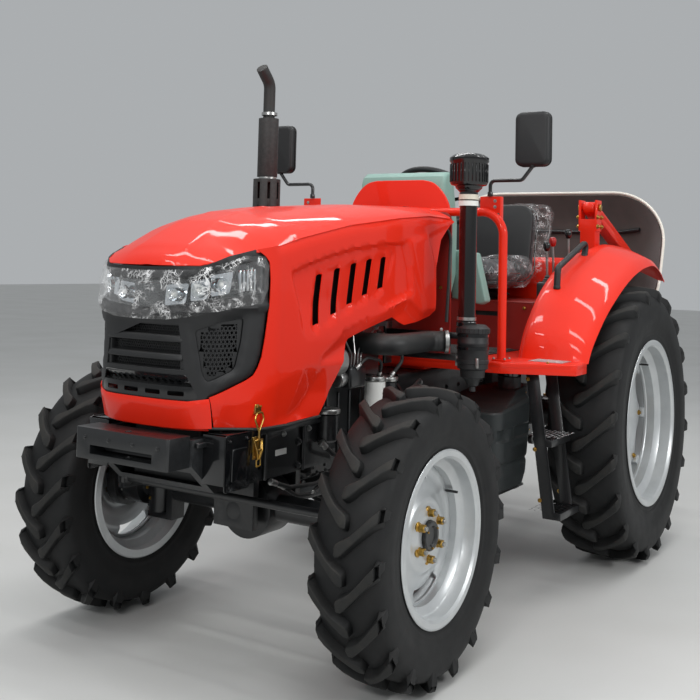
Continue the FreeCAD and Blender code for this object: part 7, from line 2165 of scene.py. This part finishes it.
def buildFront():
    shape = fromNode("front_frame", 0.004)
    cut = bmesh.ops.bisect_plane(shape, geom=shape.verts[:] + shape.edges[:] + shape.faces[:],
                                 clear_outer=True,
                                 plane_co=ahead(*noseCut["through"]), plane_no=noseCut["facing"])["geom_cut"]
    bmesh.ops.bridge_loops(shape, edges=edgesOf(cut))  # nose cut off below
    for way in (1, -1):
        y = way * 0.2005
        addBolts(shape, [(x, y, 0.757) for x in (0.137, -0.015, -0.092)], (0, way, 0), 0.0085, 3)
        addBolts(shape, [(x, y, z) for x in (0.05, 0.30) for z in (0.64, 0.72)], (0, way, 0), 0.011, 4)
        low, high = sorted((y, y + way * 0.012))
        for x in (0.02, 0.24):  # ribs down the casting's side
            block(shape, ahead(x, low, 0.62), ahead(x + 0.012, high, 0.78), 0.004)
        block(shape, ahead(-0.15, low, 0.770), ahead(0.60, high, 0.786), 0.003, 4)
        block(shape, ahead(0.118, y - 0.0015, 0.688), ahead(0.182, y + 0.0015, 0.708), 0.001, 5)
    for x in (0.24, 0.30):  # cooling lines under the radiator
        sweep(shape, [ahead(x, -0.17, 0.800), ahead(x, 0.0, 0.802), ahead(x, 0.17, 0.800)], 0.008, 0.02, 4,
              10)
    hose(shape, [(0.230, 0.226, 0.614), (0.150, 0.240, 0.587), (-0.005, 0.236, 0.572),
                 (-0.135, 0.226, 0.580)], 0.0075)
    hose(shape, [(0.182, 0.224, 0.596), (0.120, 0.250, 0.556), (0.030, 0.246, 0.545),
                 (-0.060, 0.224, 0.560)], 0.006)
    hose(shape, [(0.090, -0.224, 0.60), (0.040, -0.245, 0.56), (-0.050, -0.24, 0.55),
                 (-0.120, -0.222, 0.58)], 0.0075)
    make("frontFrame", shape, "chassis", underFinishes, ["front_frame"])

    rear, head, low, high, out = skirt["box"]
    # folded side panels between the frame and the hood
    for way, name in ((1, "skirtLeft"), (-1, "skirtRight")):
        shape = bmesh.new()
        outline = roundedLoop([(frontX + rear, low), (frontX + head, low), (frontX + head, high),
                               (frontX + rear - 0.05, high), (frontX + rear - 0.05, high - 0.067),
                               (frontX + rear, high - 0.067)], 0.012, 3)  # its tab carries the hood's catch
        inner, outer = span(way, out, out - 0.004)
        plate(shape, outline, inner, outer, "xz", 0.0012)
        near, far = span(way, 0.198, out)
        block(shape, ahead(head - 0.004, near, low + 0.02), ahead(head, far, high - 0.004), 0.001)
        block(shape, ahead(rear, near, low + 0.02), ahead(rear + 0.004, far, high - 0.004), 0.001)
        block(shape, ahead(rear + 0.02, near, high - 0.006), ahead(head - 0.02, far, high - 0.002), 0.001)
        inner, outer = span(way, out, out + 0.006)
        block(shape, ahead(rear + 0.022, inner, low + 0.03), ahead(head - 0.030, outer, high - 0.045), 0.003)
        for x, z in ((rear + 0.02, high - 0.02), (head - 0.02, high - 0.02), (head - 0.02, low + 0.016),
                     (rear + 0.02, low + 0.016)):
            bolt(shape, ahead(x, way * out, z), (0, way, 0), 0.0065)
        make(name, shape, "chassis", [glossBlack], ())

    shape = fromNode("weight_bracket", 0.005)
    addBolts(shape, [(0.704, y, 0.778) for y in (-0.150, -0.05, 0.05, 0.150)], (1, 0, 0), 0.0085, 4)
    make("weightBracket", shape, "chassis", underFinishes[:4] + [satinBlack],
         ["weight_bracket"])

    shape = fromNode("front_axle", 0.005)
    for way in (1, -1):
        for x in (0.052, -0.052):
            addBolts(shape, [(x, way * y, 0.555) for y in (0.16, 0.27, 0.38)], (0, 0, 1), 0.008, 3)
        for dx, dz in circle(0.060, 8):
            bolt(shape, ahead(dx, way * 0.470, 0.472 + dz), (0, way, 0), 0.007, 1, False)
    make("frontAxle", shape, "chassis", underFinishes, ["front_axle"])

    for way, node, body, name in ((1, "knuckle_left", "knuckle_left", "knuckleLeft"),
                                  (-1, "knuckle_right", "knuckle_right", "knuckleRight")):
        shape = fromNode(node, 0.004)
        for dx, dy in circle(0.040, 8):
            bolt(shape, ahead(dx, way * 0.470 + dy, 0.586), (0, 0, 1), 0.0055, 1, False)
        for dx, dz in circle(0.072, 10, 0.5):
            bolt(shape, ahead(dx, way * 0.590, 0.472 + dz), (0, way, 0), 0.0065, 3, False)
        for i in range(5):  # ribbed boot on the kingpin
            z = 0.392 + i * 0.010
            turned(shape, [(z, 0.030), (z + 0.005, 0.040), (z + 0.010, 0.030)], ahead(0, way * 0.470, 0),
                   (0, 0, 1), 2, 24, True)
        make(name, shape, body, underFinishes, [node])

    shape = fromNode("tie_rod", 0.002)
    for way in (1, -1):
        x, y, z = 0.205, way * 0.440, 0.534
        turned(shape, [(-0.022, 0.0), (-0.022, 0.012), (-0.012, 0.018), (0.0, 0.019), (0.010, 0.013),
                       (0.013, 0.0)],
               ahead(x, y, z), (0, 0, 1), 2, 20)
        bolt(shape, ahead(x, y, z + 0.013), (0, 0, 1), 0.0075, 1)
        rod(shape, ahead(x, way * 0.395, z), ahead(x, way * 0.418, z), 0.0135, 1, 6, 0.001)
    make("tieRod", shape, "tie_rod", [satinBlack, zincGold, hoseRubber], ["tie_rod"])


latch = {"x": 0.408, "hookY": 0.2845, "plate": (0.286, 0.2905)}


def buildLatch():  # over-centre catch that holds the hood down, half on the hood and half on the frame
    for way, side in ((1, "Left"), (-1, "Right")):
        x, y = latch["x"], way * latch["hookY"]
        upper = bmesh.new()
        low, high = sorted((y, y + way * 0.008))
        block(upper, ahead(x - 0.016, low, 0.862), ahead(x + 0.016, high, 0.892), 0.002)
        for shift in (-0.008, 0.008):
            bolt(upper, ahead(x + shift, y + way * 0.008, 0.884), (0, way, 0), 0.0045, 0, False)
        loop = [(x - 0.003, 0.812), (x - 0.022, 0.846), (x - 0.014, 0.866), (x + 0.014, 0.866),
                (x + 0.022, 0.846),
                (x + 0.003, 0.812)]
        sweep(upper, [ahead(a, y + way * 0.013, z) for a, z in loop], 0.0030, 0.008, 0, 10)
        rod(upper, ahead(x, y + way * 0.013, 0.815), ahead(x, y + way * 0.013, 0.782), 0.0035, 0, 10, 0.0005)
        make("latchHook" + side, upper, "hood", [zincGold], ())
        lower = bmesh.new()
        low, high = span(way, *latch["plate"])
        block(lower, ahead(x - 0.019, low, 0.722), ahead(x + 0.019, high, 0.792), 0.0015)
        for shift in (-0.013, 0.013):  # cheeks of the lever, drawn in towards its grip
            sweep(lower, [ahead(x + shift * 1.5, way * 0.293, 0.782),
                          ahead(x + shift * 0.9, way * 0.301, 0.748),
                          ahead(x + 0.3 * shift, way * 0.297, 0.722)], 0.0044, 0.02, 0, 10, 4, 0.6)
            bolt(lower, ahead(x + shift, way * 0.2905, 0.730), (0, way, 0), 0.0035, 0, False)
        ring = [(x - 0.010, 0.724), (x - 0.011, 0.702), (x + 0.009, 0.700), (x + 0.010, 0.722)]
        sweep(lower, [ahead(a, way * 0.297, z) for a, z in ring], 0.0026, 0.004, 0, 10)
        rod(lower, ahead(x - 0.021, way * 0.296, 0.781), ahead(x + 0.021, way * 0.296, 0.781), 0.0040, 0, 12,
            0.0005)
        rod(lower, ahead(x - 0.014, way * 0.300, 0.752), ahead(x + 0.014, way * 0.300, 0.752), 0.0030, 0, 12,
            0.0005)
        make("latchLever" + side, lower, "chassis", [zincGold], ())


def buildEngine():
    shape = fromNode("engine", 0.006)
    for way in (1, -1):
        y = way * 0.170
        for i in range(7):  # ribs, core plugs and flange bolts
            x = -0.56 + i * 0.078
            low, high = sorted((y, y + way * 0.010))
            block(shape, ahead(x, low, 0.60), ahead(x + 0.010, high, 0.86), 0.003)
        addBolts(shape, [(-0.575 + i * 0.057, y, z) for i in range(10) for z in (0.585, 0.895)], (0, way, 0),
                 0.0065, 4)
        addBolts(shape, [(-0.52 + i * 0.115, y, 1.085) for i in range(5)], (0, way, 0), 0.008, 3)
    plate(shape, cornered(frontX - 0.575, frontX - 0.085, -0.085, 0.085, 0.03), 1.128, 1.175, "xy", 0.010, 4,
          3)
    for x in (-0.50, -0.33, -0.16):
        bolt(shape, ahead(x, 0.0, 1.175), (0, 0, 1), 0.009, 3)
    rod(shape, ahead(-0.42, 0.045, 1.17), ahead(-0.42, 0.045, 1.195), 0.026, 4, 20, 0.004)
    for i in range(4):  # injectors, pump lines and manifold branches
        x = -0.50 + i * 0.115
        rod(shape, ahead(x, 0.13, 1.10), ahead(x, 0.115, 1.16), 0.009, 3, 12, 0.001)
        sweep(shape, [ahead(x, 0.120, 1.155), ahead(x - 0.01, 0.200, 1.140),
                      ahead(-0.30 + i * 0.022, 0.235, 1.00),
                      ahead(-0.30 + i * 0.022, 0.232, 0.955)], 0.0033, 0.03, 3, 8)
        sweep(shape, [ahead(x, -0.165, 1.045), ahead(x, -0.215, 1.045), ahead(x, -0.235, 1.075)], 0.021,
              0.03, 0, 14)
    rod(shape, ahead(-0.53, -0.238, 1.082), ahead(-0.12, -0.238, 1.082), 0.028, 0, 18, 0.006)
    block(shape, ahead(-0.315, 0.172, 0.880), ahead(-0.205, 0.252, 0.958), 0.010, 4, segments=3)
    rod(shape, ahead(-0.205, 0.212, 0.915), ahead(-0.165, 0.212, 0.915), 0.030, 3, 20, 0.004)
    for x, y, low, high, r, kind in ((-0.430, 0.222, 0.760, 0.890, 0.040, 5),
                                     (-0.530, 0.220, 0.740, 0.880, 0.037, 4),
                                     (-0.110, 0.215, 0.700, 0.800, 0.042, 4)):
        turned(shape, [(low, 0.0), (low, r - 0.012), (low + 0.010, r), (high - 0.004, r), (high, r - 0.006),
                       (high, 0.0)],
               ahead(x, y, 0), (0, 0, 1), kind, 28)
        rod(shape, ahead(x, y, high), ahead(x, y, high + 0.018), r + 0.004, 3, 24, 0.003)
        block(shape, ahead(x - 0.02, 0.165, high - 0.002), ahead(x + 0.02, y, high + 0.022), 0.004, 0)
    turned(shape, [(-0.045, 0.0), (-0.045, 0.046), (-0.035, 0.055), (0.030, 0.055), (0.040, 0.046),
                   (0.040, 0.0)],
           ahead(-0.110, 0.225, 0.985), (1, 0, 0), 3, 28)
    rod(shape, ahead(-0.068, 0.225, 0.985), ahead(-0.048, 0.225, 0.985), 0.030, 4, 24, 0.002)
    rod(shape, ahead(-0.058, 0.0, 0.930), ahead(-0.040, 0.0, 0.930), 0.062, 4, 32, 0.002)
    hose(shape, [(-0.09, 0.15, 1.10), (0.02, 0.17, 1.15), (0.09, 0.155, 1.20)], 0.020, 2, 3, 0.08)
    hose(shape, [(-0.43, 0.24, 0.91), (-0.40, 0.27, 0.97), (-0.30, 0.262, 0.99), (-0.25, 0.25, 0.955)], 0.006)
    hose(shape, [(-0.53, 0.235, 0.90), (-0.58, 0.26, 0.96), (-0.62, 0.22, 1.02), (-0.60, 0.14, 1.06)], 0.007)
    hose(shape, [(-0.35, 0.19, 0.60), (-0.25, 0.245, 0.62), (-0.10, 0.25, 0.66), (-0.06, 0.23, 0.70)], 0.009)
    make("engineBlock", shape, "chassis", underFinishes, ["engine"])

    shape = fromNode("radiator", 0.004)
    for i in range(26):  # upright fins on the core's front
        y = -0.140 + i * 0.0112
        block(shape, ahead(0.2345, y - 0.0015, 0.700), ahead(0.2385, y + 0.0015, 1.210), 0, 1, segments=1)
    for i in range(12):
        z = 0.72 + i * 0.042
        block(shape, ahead(0.2345, -0.150, z), ahead(0.2375, 0.150, z + 0.004), 0, 1, segments=1)
    rod(shape, ahead(0.12, 0.0, 1.27), ahead(0.12, 0.0, 1.292), 0.028, 2, 24, 0.004)
    for way in (1, -1):  # fan shroud rim
        sweep(shape, [ahead(-0.045, way * 0.158, 0.72), ahead(-0.045, way * 0.158, 1.18)], 0.008, 0, 2, 10)
    make("radiatorCore", shape, "chassis", [coreFins, brightSteel, satinBlack],
         ["radiator"])

    shape = fromNode("battery", 0.005)
    for way, kind in ((1, 1), (-1, 2)):
        x, y = 0.36, way * 0.105
        rod(shape, ahead(x, y, 0.829), ahead(x, y, 0.845), 0.009, 3, 16, 0.001)
        block(shape, ahead(x - 0.018, y - 0.014, 0.834), ahead(x + 0.018, y + 0.014, 0.852), 0.004, kind)
        sweep(shape, [ahead(x - 0.016, y, 0.843), ahead(0.30, y * 0.9, 0.86), ahead(0.27, y * 0.8, 0.83)],
              0.0065, 0.03, kind)
    sweep(shape, [ahead(0.41, -0.146, 0.65), ahead(0.41, -0.146, 0.838), ahead(0.41, 0.146, 0.838),
                  ahead(0.41, 0.146, 0.65)],
          0.005, 0.012, 3, 10)
    for i in range(6):
        rod(shape, ahead(0.445, -0.11 + i * 0.044, 0.829), ahead(0.445, -0.11 + i * 0.044, 0.835), 0.010, 4,
            16, 0.001)
    make("batteryBox", shape, "chassis", [blackPlastic, redLens, hoseRubber, brightSteel,
                                                           glossBlack],
         ["battery"])


def buildRear():
    shape = fromNode("gearbox", 0.006)
    for way in (1, -1):
        addBolts(shape, [(-1.02 - i * 0.12, way * 0.172, z) for i in range(5) for z in (0.52, 0.80)],
                 (0, way, 0), 0.009, 4)
    for dy, dz in circle(0.180, 16):
        bolt(shape, ahead(-0.625, dy, 0.690 + dz), (1, 0, 0), 0.008, 3, False)
    hose(shape, [(-0.70, 0.20, 0.62), (-0.78, 0.22, 0.58), (-0.88, 0.20, 0.60), (-0.95, 0.17, 0.66)], 0.008)
    hose(shape, [(-0.66, 0.19, 0.80), (-0.72, 0.23, 0.84), (-0.82, 0.21, 0.86), (-0.90, 0.17, 0.84)], 0.007)
    make("gearboxCase", shape, "chassis", underFinishes, ["gearbox"])
    shape = fromNode("rear_axle", 0.005)
    for way in (1, -1):
        for dx, dz in circle(0.10, 12):
            bolt(shape, ahead(rearX - frontX + dx, way * 0.240, 0.629 + dz), (0, way, 0), 0.009, 1, False)
    addBolts(shape, [(-1.70 - i * 0.075, y, 1.010) for i in range(5) for y in (-0.10, 0.10)], (0, 0, 1),
             0.008, 3)
    addBolts(shape, [(-2.100, y, z) for y in (-0.12, -0.06, 0.06, 0.12) for z in (0.48, 0.88)], (-1, 0, 0),
             0.009, 3)
    make("rearAxleCase", shape, "chassis", underFinishes, ["rear_axle"])
    shape = fromNode("rear_couplings", 0.003)
    make("rearCouplings", shape, "chassis", [satinBlack, zincGold], ["rear_couplings"])
    shape = fromNode("pto_shaft", 0.001)
    for dy, dz in circle(0.0145, 6):  # splines
        spot = ahead(0, dy, 0.560 + dz)
        rod(shape, spot + Vector((-2.183, 0, 0)), spot + Vector((-2.125, 0, 0)), 0.0035, 0, 8, 0.0005)
    make("powerShaft", shape, "chassis", [brightSteel], ["pto_shaft"])
    for node, body, name, pins in (("lift_arms", "lift_arms", "liftArms", ((-2.300, 0.876),)),
                                   ("lower_links", "lower_links", "lowerLinks",
                                    ((-2.740, 0.310), (-2.294, 0.402))),
                                   ("lift_rods", "lift_rods", "liftRods", ((-2.294, 0.620),))):
        shape = fromNode(node, 0.003)
        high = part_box(node)[1]
        for x, z in pins:
            for way in (1, -1):
                if name == "liftRods":
                    rod(shape, ahead(x, way * 0.190, z - 0.045), ahead(x, way * 0.190, z + 0.045), 0.017, 1,
                        8, 0.002)
                else:
                    y = way * (high.y if name == "lowerLinks" else 0.205)
                    bolt(shape, ahead(x, y - way * 0.004, z), (0, way, 0), 0.010, 1)
        make(name, shape, body, [satinBlack, zincGold], [node])


def buildSeal():  # rubber edge behind the hood and a lip below its sides
    shape = bmesh.new()
    route = [(-0.870, 0.300, 1.10), (-0.884, 0.302, 1.30), (-0.930, 0.285, 1.47), (-0.928, 0.20, 1.545),
             (-0.928, 0.0, 1.572)]
    for way in (1, -1):
        sweep(shape, [ahead(x - 0.004, way * y, z) for x, y, z in route], 0.007, 0.10, 0, 8)
        # below the sides
        low = [wrap(around(x), z - 0.003, -0.006) for x, z in side["lower"][10:] + ((0.575, 0.828),)]
        sweep(shape, [Vector((p.x, p.y * way, p.z)) for p in low], 0.005, 0.05, 0, 8)
    make("hoodSeal", shape, "hood", [hoseRubber], ())


buildFront()
buildLatch()
buildEngine()
buildRear()
buildSeal()
print("under parts done")


# packing film still stretched over the lamps
film = {
    "outline": ((0.0, 1.150), (0.100, 1.152), (0.200, 1.166), (0.320, 1.192), (0.428, 1.204), (0.450, 1.252),
                (0.452, 1.322), (0.436, 1.352), (0.360, 1.352), (0.270, 1.322), (0.180, 1.306), (0.0, 1.300)),
    "lift": 0.011, "fold": 0.008, "cell": 0.0065,
}


def filmRelief(places):
    edge = nearestEdge(places, folded(film["outline"]))
    out = []
    for (a, z), deep in zip(places, edge):
        spot = Vector((a * 15, z * 24, 0.3))
        ridge = noise.ridged_multi_fractal(spot, 0.9, 2.1, 4, 1.0, 2.0)
        slant = noise.ridged_multi_fractal(Vector((a * 9 + z * 22, z * 6 - a * 4, 1.7)), 0.9, 2.2, 3, 1.0,
                                           2.0)
        hold = min(1.0, max(0.0, deep / 0.02))
        out.append(film["lift"] * (0.45 + 0.55 * hold) + film["fold"] * (ridge + slant - 2.4) * 0.5
                   * (0.4 + 0.6 * hold))
    return np.array(out)


def buildLampFilm():
    loop = folded(film["outline"])
    shape = pressed(loop, filmRelief, (), (), film["cell"], 0.0007)
    make("lampFilm", shape, "hood", [clearFilm], (), 18)


buildLampFilm()
print("film done")


# remaining frame nodes take their slot's finish
slotFinish = {
    "hood_red": hoodPaint, "dark_red": shadedRed, "frame_black": satinBlack, "cast_dark": castDark,
    "wheel_silver": wheelSilver, "tread_rubber": tyreRubber, "black_plastic": blackPlastic,
    "tank_plastic": tankPlastic, "sage_plastic": sagePlastic, "seat_cover": seatVinyl,
    "canopy_shell": canopyCream,
    "lamp_lens": chrome, "lamp_red": redLens, "bright_steel": brightSteel, "exhaust_black": heatBlack,
    "soft_rubber": hoseRubber, "core_aluminium": coreFins,
}
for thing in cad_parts.values():
    for slot in thing.material_slots:
        name = slot.material.name.split(".")[0] if slot.material else ""
        slot.material = slotFinish.get(name, satinBlack)


# floor, lights and camera
studio = {"floor": 30.0, "worldStrength": 0.5, "strips": (-4.2, -2.7, -1.2, 0.3, 1.8, 3.3), "overhead": 22.0,
          "front": 90.0,
          "side": 112.0}


def buildFloor():
    shape = bmesh.new()
    bmesh.ops.create_grid(shape, x_segments=2, y_segments=2, size=studio["floor"])
    floor = addObject("floor", asMesh(shape, "floor"))
    material, tree, surface = newMaterial("pale floor")
    surface["Roughness"].default_value = 0.5
    cloud = ramp(tree, noiseAt(tree, objectSpace(tree), 0.8, 5.0), 0.3, 0.7)
    tree.links.new(blendColours(tree, cloud, linear("cfcfcd"), linear("c7c7c4")), surface["Base Color"])
    floor.data.materials.append(material)


def buildWorld():
    world = bpy.data.worlds.new("studio")
    bpy.context.scene.world = world
    world.use_nodes = True
    tree = world.node_tree
    back = tree.nodes["Background"]
    back.inputs["Color"].default_value = linear("e9edf0")
    back.inputs["Strength"].default_value = studio["worldStrength"]


def areaLamp(name, spot, target, width, height, power, colour="ffffff"):
    lamp = bpy.data.lights.new(name, "AREA")
    lamp.shape, lamp.size, lamp.size_y = "RECTANGLE", width, height
    lamp.energy, lamp.color = power, linear(colour)[:3]
    turn = (Vector(target) - Vector(spot)).to_track_quat("-Z", "Y").to_matrix()
    addObject(name, lamp).matrix_world = Matrix.Translation(spot) @ turn.to_4x4()


view = {"spot": (3.067, 2.256, 1.353), "turn": (-146.627, 3.897, 1.541), "lens": 53.75, "sensor": 36.0,
        "shift": (0.0410, -0.2337), "end": 200}


def buildCamera():
    yaw, pitch, roll = (math.radians(angle) for angle in view["turn"])
    forward = Vector((math.cos(pitch) * math.cos(yaw), math.cos(pitch) * math.sin(yaw), math.sin(pitch)))
    right = forward.cross(Vector((0, 0, 1))).normalized()
    up = right.cross(forward)
    across = right * math.cos(roll) + up * math.sin(roll)
    upward = up * math.cos(roll) - right * math.sin(roll)
    data = bpy.data.cameras.new("camera")
    data.lens, data.sensor_width, data.clip_end = view["lens"], view["sensor"], view["end"]
    data.shift_x, data.shift_y = view["shift"]
    camera = addObject("camera", data)
    turn = Matrix((across, upward, -forward)).transposed()
    camera.matrix_world = Matrix.Translation(ahead(*view["spot"])) @ turn.to_4x4()
    bpy.context.scene.camera = camera


buildFloor()
buildWorld()
for number, spot in enumerate(studio["strips"]):
    for side in (-1.7, 1.7):
        high = Vector((frontX + spot, side, 5.0))
        areaLamp("strip%d" % number, high, high - Vector((0, 0, 1)), 0.22, 1.9, studio["overhead"])
areaLamp("front", (frontX + 5.0, 1.4, 3.4), (frontX - 0.5, 0.2, 0.8), 3.2, 0.5, studio["front"])
areaLamp("side", (frontX - 0.5, 6.0, 3.2), (frontX - 0.8, 0.3, 0.9), 3.4, 0.5, studio["side"])
buildCamera()
bpy.context.scene.view_settings.view_transform = "Standard"
